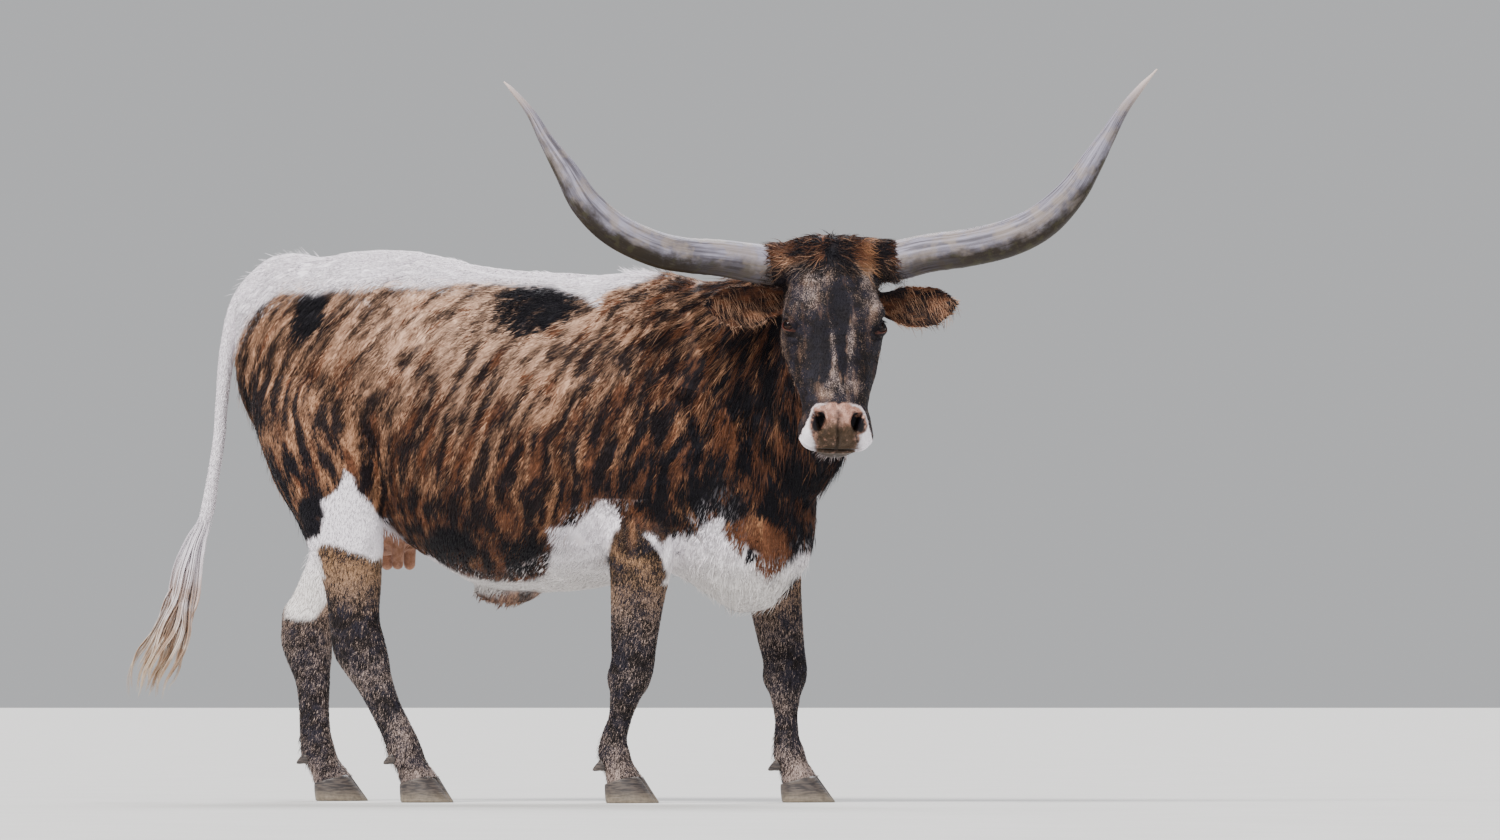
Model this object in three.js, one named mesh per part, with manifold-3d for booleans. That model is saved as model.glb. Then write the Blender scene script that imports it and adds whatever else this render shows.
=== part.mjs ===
// A Texas longhorn cow standing with her head turned to her right, as a still life-size model.
// Millimetres, +Z up. She walks towards +X, her left side is +Y, and the floor is z = 0.
import * as THREE from "three";
import { mergeVertices } from "three/addons/utils/BufferGeometryUtils.js";
import Module from "manifold-3d";

const wasm = await Module();
wasm.setup();

// Driving dimensions
const WITHERS = 1276; // height of the shoulders' top
const CROUP = 1330; // height of the hips' top
const GAP = 0.3; // clear space across a cut between two parts
const CLEAR = 0.5; // allowance round a body that another part grows from
const HEAD_LENGTH = 530; // poll to upper lip
const HEAD_YAW = -66; // degrees from +X: she looks back over her right shoulder
const HEAD_PITCH = 22; // degrees that the nose stands forward of the poll
const HEAD_ROLL = 1.2; // degrees, her left horn carried a little higher
const POLL = new THREE.Vector3(852, -190, 1346); // middle of the head's top edge
const EYE_RADIUS = 20;
const EYE = { down: 216, out: 104, back: -46 }; // eye centre from the poll
const SEED = 7;

// Colours of the materials
const COLOURS = {
  brindle: "#7a5238",
  dark: "#2c2329",
  white: "#dcd5d2",
  roan: "#6a5e58",
  switchHair: "#cdb89a",
  horn: "#b9b4b8",
  hoof: "#3f3836",
  eye: "#1c1210",
  teat: "#a5694e",
};

const up = new THREE.Vector3(0, 0, 1);
const vec = (x, y, z) => new THREE.Vector3(x, y, z);
const crossed = (a, b) => vec(0, 0, 0).crossVectors(a, b).normalize();
const smooth = (rows) => {
  const places = rows.map(([x, y, z]) => vec(x, y, z));
  return new THREE.CatmullRomCurve3(places, false, "centripetal");
};
const turnedBy = (matrix, direction) => direction.clone().transformDirection(matrix);

// A repeatable stream of numbers from 0 to 1
function stream(seed) {
  let state = seed >>> 0;
  return () => {
    state = (state + 0x6d2b79f5) >>> 0;
    let t = Math.imul(state ^ (state >>> 15), state | 1);
    t ^= t + Math.imul(t ^ (t >>> 7), t | 61);
    return ((t ^ (t >>> 14)) >>> 0) / 4294967296;
  };
}
const draw = stream(SEED);
const between = (low, high) => low + (high - low) * draw();

// A smooth line through rows of numbers, the first of each row being the place along it.
// It returns a function from a place to the other numbers, with no overshoot between rows.
function through(rows) {
  const slope = (i, k) => {
    if (i === 0 || i === rows.length - 1) return 0;
    const before = (rows[i][k] - rows[i - 1][k]) / (rows[i][0] - rows[i - 1][0]);
    const after = (rows[i + 1][k] - rows[i][k]) / (rows[i + 1][0] - rows[i][0]);
    return before * after <= 0 ? 0 : (2 * before * after) / (before + after);
  };
  return (place) => {
    let i = 0;
    while (i < rows.length - 2 && place > rows[i + 1][0]) i += 1;
    const span = rows[i + 1][0] - rows[i][0];
    const t = Math.min(1, Math.max(0, (place - rows[i][0]) / span));
    return rows[i].slice(1).map((from, j) => {
      const to = rows[i + 1][j + 1];
      const t2 = t * t;
      const t3 = t2 * t;
      return (
        (2 * t3 - 3 * t2 + 1) * from +
        (t3 - 2 * t2 + t) * span * slope(i, j + 1) +
        (3 * t2 - 2 * t3) * to +
        (t3 - t2) * span * slope(i + 1, j + 1)
      );
    });
  };
}

// A closed skin over rings of points, all of one count, with a fan at each end
function skinOver(rings) {
  const count = rings[0].length;
  const points = rings.flat();
  const faces = [];
  for (let i = 0; i + 1 < rings.length; i += 1) {
    for (let k = 0; k < count; k += 1) {
      const a = i * count + k;
      const b = i * count + ((k + 1) % count);
      faces.push(a, b, b + count, a, b + count, a + count);
    }
  }
  const middle = (ring) => ring.reduce((sum, p) => sum.add(p), vec(0, 0, 0)).divideScalar(count);
  const first = points.push(middle(rings[0])) - 1;
  const last = points.push(middle(rings.at(-1))) - 1;
  const end = (rings.length - 1) * count;
  for (let k = 0; k < count; k += 1) {
    const next = (k + 1) % count;
    faces.push(first, next, k, last, end + k, end + next);
  }
  const geometry = new THREE.BufferGeometry().setFromPoints(points);
  geometry.setIndex(faces);
  return geometry;
}

// How far a ring reaches, with an allowance all round
function reachOf([above, below, half, squareUp, squareDown], allowance = 0) {
  const sideways = half + allowance;
  return {
    up: above + allowance,
    down: below + allowance,
    left: sideways,
    right: sideways,
    squareUp,
    squareDown,
  };
}
const round = (radius) => reachOf([radius, radius, radius, 2, 2]);
// One ring: reach gives how far it goes up, down and to each side of its centre, and how square
// its upper and lower halves are (2 is an ellipse, more is squarer, less is more pointed)
function ring(centre, side, top, reach, sides) {
  const points = [];
  for (let k = 0; k < sides; k += 1) {
    const angle = (2 * Math.PI * k) / sides;
    const c = Math.cos(angle);
    const s = Math.sin(angle);
    const power = 2 / (s > 0 ? reach.squareUp : reach.squareDown);
    const across = Math.sign(c) * Math.abs(c) ** power * (c > 0 ? reach.left : reach.right);
    const along = Math.sign(s) * Math.abs(s) ** power * (s > 0 ? reach.up : reach.down);
    points.push(centre.clone().addScaledVector(side, across).addScaledVector(top, along));
  }
  return points;
}

// Swells raise or sink a surface softly round a place: at, size and lift are in millimetres
function swell(geometry, swells) {
  geometry.computeVertexNormals();
  const place = geometry.attributes.position;
  const normal = geometry.attributes.normal;
  const p = vec(0, 0, 0);
  const n = vec(0, 0, 0);
  for (let i = 0; i < place.count; i += 1) {
    p.fromBufferAttribute(place, i);
    n.fromBufferAttribute(normal, i);
    let lift = 0;
    for (const { at, size, lift: height } of swells) {
      const [x, y, z] = [(p.x - at[0]) / size[0], (p.y - at[1]) / size[1], (p.z - at[2]) / size[2]];
      lift += height * Math.exp(-(x * x + y * y + z * z));
    }
    p.addScaledVector(n, lift);
    place.setXYZ(i, p.x, p.y, p.z);
  }
  return geometry;
}

// Solids, joins and cuts
function solid(geometry) {
  const bare = geometry.clone();
  bare.deleteAttribute("normal");
  bare.deleteAttribute("uv");
  const merged = mergeVertices(bare, 1e-3);
  const vertProperties = new Float32Array(merged.attributes.position.array);
  const triVerts = new Uint32Array(merged.index.array);
  const body = new wasm.Manifold(new wasm.Mesh({ numProp: 3, vertProperties, triVerts }));
  if (body.volume() > 0) return body;
  // rings that run the other way round face inwards, so each face is turned
  triVerts.reverse();
  return new wasm.Manifold(new wasm.Mesh({ numProp: 3, vertProperties, triVerts }));
}
function geometryOf(body) {
  const mesh = body.getMesh();
  const points = new Float32Array(mesh.numVert * 3);
  for (let i = 0; i < mesh.numVert; i += 1) {
    points.set(mesh.vertProperties.subarray(i * mesh.numProp, i * mesh.numProp + 3), i * 3);
  }
  const geometry = new THREE.BufferGeometry();
  geometry.setAttribute("position", new THREE.BufferAttribute(points, 3));
  geometry.setIndex(new THREE.BufferAttribute(mesh.triVerts, 1));
  geometry.computeVertexNormals();
  return geometry;
}
function largest(body) {
  return body.decompose().sort((a, b) => b.volume() - a.volume())[0];
}
// The two sides of a plane through a point, with half the gap taken off each
function part(body, point, normal) {
  const n = normal.clone().normalize();
  const offset = n.dot(point);
  const ahead = body.trimByPlane([n.x, n.y, n.z], offset + GAP / 2);
  const behind = body.trimByPlane([-n.x, -n.y, -n.z], GAP / 2 - offset);
  return [ahead, behind];
}
// A piece that grows from a body, cut back to that body drawn with a little allowance
const grown = (piece, roomy) => largest(piece.subtract(roomy));
// An ellipsoid with its own three axes
function ball(centre, reach, { axes = null, segments = 12, matrix = null } = {}) {
  const shape = new THREE.SphereGeometry(1, segments, Math.round(segments * 0.6));
  shape.scale(reach.x, reach.y, reach.z);
  if (axes) shape.applyMatrix4(new THREE.Matrix4().makeBasis(...axes));
  shape.translate(centre.x, centre.y, centre.z);
  return solid(matrix ? shape.applyMatrix4(matrix) : shape);
}

// Torso: upright sections along the body
const TORSO_ROWS = [
  // x, top, bottom, half width, height of the widest place, square above, square below
  [-712, 1130, 1040, 30, 1085, 2, 2],
  [-700, 1192, 960, 92, 1082, 2, 2],
  [-655, 1268, 880, 142, 1085, 2, 2],
  [-590, 1328, 800, 176, 1090, 1.9, 2.1],
  [-505, 1318, 735, 204, 1095, 1.9, 2.2],
  [-400, CROUP, 675, 228, 1090, 2, 2.2],
  [-300, CROUP, 632, 246, 1050, 2, 2.1],
  [-200, 1314, 570, 274, 940, 1.95, 2.1],
  [-100, 1291, 520, 302, 880, 1.95, 2.1],
  [0, 1279, 503, 312, 860, 1.9, 2.1],
  [120, 1270, 503, 306, 850, 1.9, 2.05],
  [217, 1267, 514, 288, 850, 1.85, 2],
  [300, WITHERS, 532, 262, 850, 1.8, 2],
  [366, 1272, 545, 240, 850, 1.8, 2],
  [430, 1258, 522, 222, 850, 1.8, 2],
  [500, 1232, 476, 205, 840, 1.8, 1.9],
  [560, 1196, 450, 186, 820, 1.8, 1.9],
  [620, 1140, 458, 158, 790, 1.9, 1.9],
  [680, 1050, 508, 118, 760, 2, 1.9],
  [726, 900, 572, 70, 730, 2, 2],
  [745, 790, 640, 24, 715, 2, 2],
];
const TORSO_SWELLS = [
  { name: "right hip bone", at: [-335, -212, 1240], size: [60, 70, 55], lift: 34 },
  { name: "left hip bone", at: [-335, 212, 1240], size: [60, 70, 55], lift: 34 },
  { name: "right pin bone", at: [-680, -92, 1190], size: [45, 45, 40], lift: 18 },
  { name: "left pin bone", at: [-680, 92, 1190], size: [45, 45, 40], lift: 18 },
  { name: "right hollow flank", at: [-215, -260, 1120], size: [90, 90, 110], lift: -22 },
  { name: "left hollow flank", at: [-215, 260, 1120], size: [90, 90, 110], lift: -22 },
  { name: "right shoulder blade", at: [365, -200, 1010], size: [120, 120, 190], lift: 26 },
  { name: "left shoulder blade", at: [430, 200, 1010], size: [120, 120, 190], lift: 26 },
  { name: "right upper arm", at: [420, -215, 760], size: [110, 100, 110], lift: 30 },
  { name: "left upper arm", at: [540, 190, 760], size: [110, 100, 110], lift: 34 },
  { name: "right shoulder point", at: [575, -170, 850], size: [60, 80, 80], lift: 22 },
  { name: "left shoulder point", at: [640, 150, 850], size: [60, 80, 80], lift: 26 },
  { name: "right hollow behind the elbow", at: [235, -230, 640], size: [70, 90, 90], lift: -16 },
  { name: "left hollow behind the elbow", at: [300, 230, 640], size: [70, 90, 90], lift: -16 },
];
const TORSO_RINGS = { steps: 28, sides: 24, crowd: 0.55 };
function torso(allowance) {
  const row = through(TORSO_ROWS);
  const rings = [];
  const { steps, sides, crowd } = TORSO_RINGS;
  const [from, to] = [TORSO_ROWS[0][0], TORSO_ROWS.at(-1)[0]];
  for (let i = 0; i <= steps; i += 1) {
    // closer together towards both ends, where the form turns fastest
    const eased = 0.5 - 0.5 * Math.cos((Math.PI * i) / steps);
    const x = THREE.MathUtils.lerp(from, to, THREE.MathUtils.lerp(i / steps, eased, crowd));
    const [top, bottom, half, wide, squareUp, squareDown] = row(x);
    const reach = reachOf([top - wide, wide - bottom, half, squareUp, squareDown], allowance);
    rings.push(ring(vec(x, 0, wide), vec(0, 1, 0), up, reach, sides));
  }
  return solid(swell(skinOver(rings), TORSO_SWELLS));
}

// The fold of skin that hangs at the navel
const NAVEL = { centre: vec(-43, 0, 508), reach: vec(62, 14, 41) };

// A limb: rings square to a smooth path, the front of each ring turned forwards
function limb(path, rows, { steps, sides, allowance = 0 }) {
  const curve = smooth(path);
  const row = through(rows);
  const rings = [];
  for (let i = 0; i <= steps; i += 1) {
    const share = i / steps;
    const along = curve.getTangentAt(share);
    const front = crossed(vec(0, -1, 0), along);
    const side = crossed(front, along);
    rings.push(ring(curve.getPointAt(share), side, front, reachOf(row(share * 100), allowance), sides));
  }
  return solid(skinOver(rings));
}

// Neck: from inside the chest up to the back of the head, bending to her right
const NECK_PATH = [
  [380, 0, 930],
  [530, -4, 965],
  [660, -28, 1015],
  [765, -82, 1075],
  [822, -150, 1135],
];
const NECK_RINGS = { steps: 12, sides: 20 };
const NECK_ROWS = [
  // share of the path, crest side, throat side, half width, square above, square below
  [0, 285, 330, 175, 1.9, 1.9],
  [30, 285, 330, 165, 1.9, 1.8],
  [55, 262, 305, 146, 1.9, 1.7],
  [78, 225, 250, 122, 2, 1.8],
  [100, 170, 170, 104, 2, 2],
];
function neck(allowance) {
  const curve = smooth(NECK_PATH);
  const row = through(NECK_ROWS);
  const rings = [];
  const { steps, sides } = NECK_RINGS;
  for (let i = 0; i <= steps; i += 1) {
    const share = i / steps;
    const along = curve.getTangentAt(share);
    const side = crossed(up, along);
    const top = crossed(along, side);
    rings.push(ring(curve.getPointAt(share), side, top, reachOf(row(share * 100), allowance), sides));
  }
  return solid(skinOver(rings));
}

// Head, in a frame of its own: x out to her left, y up the face, z out of the forehead
const HEAD_FRAME = new THREE.Matrix4();
// and a level one for the horns: x out to her left, y behind the forehead, z up
const LEVEL_FRAME = new THREE.Matrix4();
{
  const yaw = THREE.MathUtils.degToRad(HEAD_YAW);
  const pitch = THREE.MathUtils.degToRad(HEAD_PITCH);
  const heading = vec(Math.cos(yaw), Math.sin(yaw), 0);
  const left = vec(-Math.sin(yaw), Math.cos(yaw), 0);
  left.applyAxisAngle(heading, THREE.MathUtils.degToRad(-HEAD_ROLL));
  const rise = crossed(heading, left);
  const face = rise.clone().multiplyScalar(Math.cos(pitch)).addScaledVector(heading, -Math.sin(pitch));
  const forehead = crossed(left, face);
  HEAD_FRAME.makeBasis(left, face, forehead).setPosition(POLL);
  LEVEL_FRAME.makeBasis(left, heading.clone().negate(), rise).setPosition(POLL);
}
// a place on the head: out to her left, down from the poll, forward of the forehead
const facial = (out, down, forward) => vec(out, -down, forward);
const HEAD_ROWS = [
  // down the face, half width, forehead side, throat side, depth of the widest place, square each way
  [-8, 62, -40, -92, -62, 2.2, 2],
  [-2, 102, -20, -140, -70, 2.4, 2],
  [16, 126, 0, -185, -76, 2.6, 2],
  [60, 126, 8, -222, -80, 2.5, 2.1],
  [110, 116, 8, -244, -76, 2.5, 2.1],
  [160, 116, 6, -256, -70, 2.6, 2],
  [212, 119, 4, -256, -66, 2.7, 2],
  [252, 110, 0, -246, -70, 2.6, 2],
  [290, 101, -3, -228, -74, 2.5, 2],
  [340, 92, -6, -202, -74, 2.4, 2.1],
  [390, 81, -8, -178, -72, 2.4, 2.2],
  [422, 76, -8, -165, -72, 2.4, 2.3],
  [452, 82, -8, -154, -72, 2.5, 2.3],
  [480, 86, -14, -148, -76, 2.5, 2.4],
  [504, 80, -28, -142, -84, 2.4, 2.4],
  [520, 62, -52, -132, -92, 2.3, 2.2],
  [HEAD_LENGTH, 28, -80, -114, -98, 2, 2],
];
const both = (swells) =>
  swells.flatMap((one) => [one, { ...one, at: [-one.at[0], one.at[1], one.at[2]] }]);
const HEAD_SWELLS = both([
  { name: "brow", at: [102, -188, -18], size: [34, 34, 30], lift: 12 },
  { name: "temple hollow", at: [112, -112, -60], size: [40, 46, 46], lift: -9 },
  { name: "cheek", at: [104, -246, -160], size: [50, 70, 66], lift: 9 },
  { name: "hollow under the eye", at: [84, -300, -40], size: [36, 52, 40], lift: -9 },
  { name: "cheek bone", at: [96, -280, -92], size: [34, 60, 22], lift: 6 },
  { name: "nostril wing", at: [56, -462, -30], size: [22, 26, 26], lift: 7 },
  { name: "upper lip", at: [66, -498, -72], size: [34, 30, 24], lift: 5 },
  { name: "hollow under the jaw", at: [34, -300, -230], size: [40, 90, 50], lift: -10 },
  { name: "side of the chin", at: [70, -500, -130], size: [30, 40, 26], lift: -11 },
  { name: "side of the nose", at: [92, -400, -60], size: [40, 50, 50], lift: 3 },
]);
const SKULL_RINGS = { steps: 28, sides: 22, crowd: 0.35 };
function skull(allowance) {
  const row = through(HEAD_ROWS);
  const rings = [];
  const { steps, sides, crowd } = SKULL_RINGS;
  for (let i = 0; i <= steps; i += 1) {
    const eased = 0.5 - 0.5 * Math.cos((Math.PI * i) / steps);
    const share = THREE.MathUtils.lerp(i / steps, eased, crowd);
    const down = THREE.MathUtils.lerp(HEAD_ROWS[0][0], HEAD_LENGTH, share);
    const [half, front, back, wide, squareUp, squareDown] = row(down);
    const reach = reachOf([front - wide, wide - back, half, squareUp, squareDown], allowance);
    rings.push(ring(facial(0, down, wide), vec(1, 0, 0), vec(0, 0, 1), reach, sides));
  }
  return solid(swell(skinOver(rings), HEAD_SWELLS).applyMatrix4(HEAD_FRAME));
}

// The eye looks out to the side and a little forwards; lids close over it but for an almond
const GAZE = { out: 0.84, forward: 0.54 };
function eyeSetting(sign) {
  const centre = facial(sign * EYE.out, EYE.down, EYE.back);
  const gaze = vec(sign * GAZE.out, 0, GAZE.forward).normalize();
  const long = vec(0, 1, 0);
  return { centre, gaze, axes: [gaze, long, crossed(gaze, long)] };
}
function eyeBall(sign, radius, segments = 12) {
  const { centre } = eyeSetting(sign);
  return ball(centre, vec(radius, radius, radius), { segments, matrix: HEAD_FRAME });
}
const LID = { thick: 5, slit: vec(17, 19, 11), ahead: 17, segments: 10 };
function withEyes(body) {
  let made = body;
  for (const sign of [-1, 1]) {
    const { centre, gaze, axes } = eyeSetting(sign);
    const slit = centre.clone().addScaledVector(gaze, LID.ahead);
    made = made.add(eyeBall(sign, EYE_RADIUS + LID.thick, LID.segments));
    made = made.subtract(ball(slit, LID.slit, { axes, segments: LID.segments, matrix: HEAD_FRAME }));
    made = made.subtract(eyeBall(sign, EYE_RADIUS + GAP));
  }
  return made;
}

// Nostrils and the line of the mouth
const NOSTRIL = { out: 43, down: 462, forward: -16, reach: vec(13, 23, 26), lean: 24, segments: 10 };
const MOUTH = {
  down: 455,
  corner: 436,
  forward: -92,
  half: 98,
  length: 90,
  deep: 27,
  open: 4,
  slope: 14,
  segments: 18,
};
function withMuzzle(body) {
  let made = body;
  for (const sign of [-1, 1]) {
    const lean = THREE.MathUtils.degToRad(sign * NOSTRIL.lean);
    const across = vec(Math.cos(lean), -Math.sin(lean), 0);
    const axes = [across, vec(Math.sin(lean), Math.cos(lean), 0), vec(0, 0, 1)];
    const at = facial(sign * NOSTRIL.out, NOSTRIL.down, NOSTRIL.forward);
    const opening = { axes, segments: NOSTRIL.segments, matrix: HEAD_FRAME };
    made = made.subtract(ball(at, NOSTRIL.reach, opening));
  }
  const disc = (inset, height) => {
    const shape = new THREE.CylinderGeometry(1, 1, height, MOUTH.segments);
    shape.rotateX(Math.PI / 2).scale(MOUTH.half - inset, MOUTH.length - inset, 1);
    shape.rotateX(THREE.MathUtils.degToRad(-MOUTH.slope));
    const at = facial(0, MOUTH.down, MOUTH.forward);
    return solid(shape.translate(at.x, at.y, at.z).applyMatrix4(HEAD_FRAME));
  };
  const down = turnedBy(HEAD_FRAME, vec(0, -1, 0));
  const corner = facial(0, MOUTH.corner, MOUTH.forward).applyMatrix4(HEAD_FRAME);
  const slit = disc(0, MOUTH.open).subtract(disc(MOUTH.deep, 4 * MOUTH.open));
  return made.subtract(slit.trimByPlane([down.x, down.y, down.z], down.dot(corner)));
}

// Horns: out, then forwards and up, each its own curve
const HORNS = {
  // out from the middle, rise over the poll, forward of it, radius
  horn_right: [
    [-96, -78, -58, 46],
    [-164, -76, -48, 46.5],
    [-268, -65, -20, 43.6],
    [-353, -61, 0, 41.6],
    [-421, -50, 14, 42],
    [-524, -7, 34, 40.6],
    [-594, 53, 44, 36.4],
    [-643, 129, 42, 28.2],
    [-692, 204, 28, 17],
    [-727, 265, 12, 10.6],
    [-772, 320, -6, 5.3],
    [-789, 337, -12, 1.9],
  ],
  horn_left: [
    [96, -62, -58, 46],
    [157, -58, -48, 47.3],
    [226, -41, -30, 45.6],
    [325, -25, -4, 44.9],
    [417, 0, 16, 44.6],
    [488, 38, 32, 42.5],
    [556, 107, 46, 35.4],
    [599, 175, 46, 28.3],
    [637, 239, 36, 20.1],
    [678, 308, 22, 13],
    [721, 363, 6, 8.3],
    [762, 409, -8, 2.1],
  ],
};
const HORN_RINGS = { steps: 24, sides: 10 };
function horn(rows, allowance) {
  const curve = smooth(rows.map(([out, rise, forward]) => [out, -forward, rise]));
  const rings = [];
  const { steps, sides } = HORN_RINGS;
  const stretch = rows.length - 1;
  for (let i = 0; i <= steps; i += 1) {
    const t = (i / steps) * stretch;
    const k = Math.min(stretch - 1, Math.floor(t));
    const radius = THREE.MathUtils.lerp(rows[k][3], rows[k + 1][3], t - k) + allowance;
    const along = curve.getTangent(i / steps);
    const side = crossed(vec(0, -1, 0), along);
    const top = crossed(along, side);
    rings.push(ring(curve.getPoint(i / steps), side, top, round(radius), sides));
  }
  return solid(skinOver(rings).applyMatrix4(LEVEL_FRAME));
}
// The hairy collar of the head round each horn's base
const COLLAR = { from: 70, to: 158, behind: 50, inner: 57, outer: 49.5, sides: 14 };
const COLLAR_DROP = { right: 74, left: 60 };
function hornCollar(name, sign, allowance) {
  const rings = [0, 0.5, 1].map((share) => {
    const radius = THREE.MathUtils.lerp(COLLAR.inner, COLLAR.outer, share) + allowance;
    const out = THREE.MathUtils.lerp(COLLAR.from, COLLAR.to + allowance, share);
    const centre = vec(sign * out, COLLAR.behind, -COLLAR_DROP[name]);
    return ring(centre, vec(0, sign, 0), vec(0, 0, 1), round(radius), COLLAR.sides);
  });
  return solid(skinOver(rings).applyMatrix4(LEVEL_FRAME));
}

// A lock of long hair: a flat tapered strip that follows a path and ends in a point.
// Each row is the share of its length, then its width and its thickness as shares of the fullest.
const LOCK_ROWS = [
  [0, 0.6, 0.9],
  [25, 1, 1],
  [60, 0.85, 0.8],
  [85, 0.45, 0.5],
  [100, 0.06, 0.14],
];
const LOCK_STEPS = 4;
function lock(pathAt, faceAt, { width, thick }) {
  const row = through(LOCK_ROWS);
  const nearby = 0.01; // share of the path over which its direction is taken
  const rings = [];
  for (let i = 0; i <= LOCK_STEPS; i += 1) {
    const share = i / LOCK_STEPS;
    const along = pathAt(share + nearby).sub(pathAt(share - nearby)).normalize();
    const across = crossed(along, faceAt(share));
    const face = crossed(across, along);
    const [wide, deep] = row(share * 100);
    const centre = pathAt(share);
    const corner = (direction, reach) => centre.clone().addScaledVector(direction, reach / 2);
    const [w, d] = [wide * width, deep * thick];
    rings.push([corner(across, w), corner(face, d), corner(across, -w), corner(face, -d)]);
  }
  return solid(skinOver(rings));
}
const sizeOf = ({ width, thick }) => ({ width: between(...width), thick: between(...thick) });
const joined = (locks, first) => locks.reduce((sum, one) => sum.add(one), first);

// Shaggy hair of the poll: locks that part from the middle and lie out over the horns' bases
const POLL_HAIR = {
  rows: [
    // turn from the forehead up over the top, furthest turn to the side, count across
    { turn: 12, side: 36, count: 4 },
    { turn: 40, side: 40, count: 5 },
    { turn: 70, side: 40, count: 5 },
    { turn: 102, side: 36, count: 4 },
  ],
  hub: facial(0, 84, -76),
  length: [66, 86],
  width: [30, 40],
  thick: [8, 10],
  sink: 5,
  lift: 10,
  reach: 120,
};
const caster = new THREE.Raycaster();
// the place where the head's surface meets a line in from outside to the hub
function surfaceOf(mesh, hub, outwards) {
  caster.set(hub.clone().addScaledVector(outwards, HEAD_LENGTH), outwards.clone().negate());
  return caster.intersectObject(mesh)[0].point;
}
function pollHair(body) {
  const target = new THREE.Mesh(geometryOf(body), new THREE.MeshBasicMaterial());
  const hub = POLL_HAIR.hub.clone().applyMatrix4(HEAD_FRAME);
  const outwardsAt = (turn, side) => {
    const level = Math.cos(side);
    return turnedBy(HEAD_FRAME, vec(Math.sin(side), level * Math.sin(turn), level * Math.cos(turn)));
  };
  return POLL_HAIR.rows.flatMap(({ turn, side, count }) =>
    Array.from({ length: count }, (_, i) => {
      const share = (2 * (i + 0.5 + between(-0.15, 0.15))) / count - 1;
      const from = [turn + between(-6, 6), share * side].map(THREE.MathUtils.degToRad);
      const sweep = between(...POLL_HAIR.length) / POLL_HAIR.reach;
      const aside = Math.sign(share) * Math.min(1, 0.35 + Math.abs(share)) + between(-0.15, 0.15);
      const lift = POLL_HAIR.lift * between(0.7, 1.3);
      const curl = between(-0.12, 0.12);
      const pathAt = (along) => {
        const place = THREE.MathUtils.clamp(along, 0, 1);
        // out to the side and down over the forehead, close to the head's own surface
        const low = from[0] - sweep * place * (1 - 0.75 * Math.abs(aside)) + curl * place * place;
        const outwards = outwardsAt(low, from[1] + sweep * place * aside);
        const height = lift * Math.sin(0.8 * Math.PI * place) - POLL_HAIR.sink * (1 - place);
        return surfaceOf(target, hub, outwards).addScaledVector(outwards, height);
      };
      const facing = outwardsAt(from[0], from[1]);
      return lock(pathAt, () => facing, sizeOf(POLL_HAIR));
    }),
  );
}

// Ears: a leaf with a hollow face, held out level with the cup turned to the front
const EAR = { length: 204, thick: 6, arch: 10, forward: 16 };
const EAR_ROOT = { down: 126, out: 96, back: -104 };
const EAR_DROOP = { right: 26, left: 8 };
const EAR_ROWS = [
  // share of the length, half height, depth of the cup
  [0, 27, 30],
  [20, 38, 36],
  [45, 56, 30],
  [70, 54, 20],
  [88, 36, 11],
  [96, 19, 6],
  [100, 8, 3],
];
const earCentre = (name, sign, share) =>
  facial(
    sign * (EAR_ROOT.out + EAR.length * share),
    EAR_ROOT.down + EAR.arch * Math.sin(Math.PI * share) + EAR_DROOP[name] * share,
    EAR_ROOT.back + EAR.forward * share,
  );
const EAR_RINGS = { steps: 10, arc: 6, outer: 84, inner: 80 };
function ear(name, sign) {
  const row = through(EAR_ROWS);
  const { steps, arc, outer, inner } = EAR_RINGS;
  const rings = [];
  for (let i = 0; i <= steps; i += 1) {
    const share = i / steps;
    const [half, depth] = row(share * 100);
    const centre = earCentre(name, sign, share);
    // half a turn round the back, and half a turn the other way inside the cup
    const bow = (turn, high, deep) =>
      Array.from({ length: arc + 1 }, (_, k) => {
        const angle = THREE.MathUtils.degToRad(turn * ((2 * k) / arc - 1));
        return vec(0, high * Math.sin(angle), -deep * Math.cos(angle)).add(centre);
      });
    const cup = bow(inner, Math.max(1, half - EAR.thick), Math.max(0, depth - EAR.thick));
    const points = [...bow(outer, half, depth), ...cup.reverse()];
    rings.push(sign > 0 ? points.reverse() : points);
  }
  return solid(skinOver(rings).applyMatrix4(HEAD_FRAME));
}

// Hair of the ears: locks that hang from the top of the cup, over its hollow to the lower rim
const EAR_HAIR = {
  roots: [0.26, 0.42, 0.58, 0.74], // share of the ear's length where each is rooted
  high: [0.62, 0.74], // share of the ear's half height there
  length: [1.4, 1.62], // shares of the ear's half height
  aside: [0.15, 0.35],
  width: [24, 30],
  thick: [4, 5],
  over: 4, // how far the tips stand before the rim
};
function earHair(name, sign) {
  const row = through(EAR_ROWS);
  const facing = turnedBy(HEAD_FRAME, vec(0, 0, 1));
  return EAR_HAIR.roots.map((share) => {
    const [half, depth] = row(share * 100);
    const high = between(...EAR_HAIR.high);
    const back = depth * Math.sqrt(1 - high * high) - EAR.thick / 2;
    const root = earCentre(name, sign, share);
    const length = half * between(...EAR_HAIR.length);
    const aside = sign * between(...EAR_HAIR.aside);
    const pathAt = (place) => {
      const eased = Math.sin((Math.PI / 2) * THREE.MathUtils.clamp(place, 0, 1));
      const forward = THREE.MathUtils.lerp(-back, EAR_HAIR.over, eased);
      const fall = vec(aside * length * place, half * high - length * place, forward);
      return root.clone().add(fall).applyMatrix4(HEAD_FRAME);
    };
    return lock(pathAt, () => facing, sizeOf(EAR_HAIR));
  });
}

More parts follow.
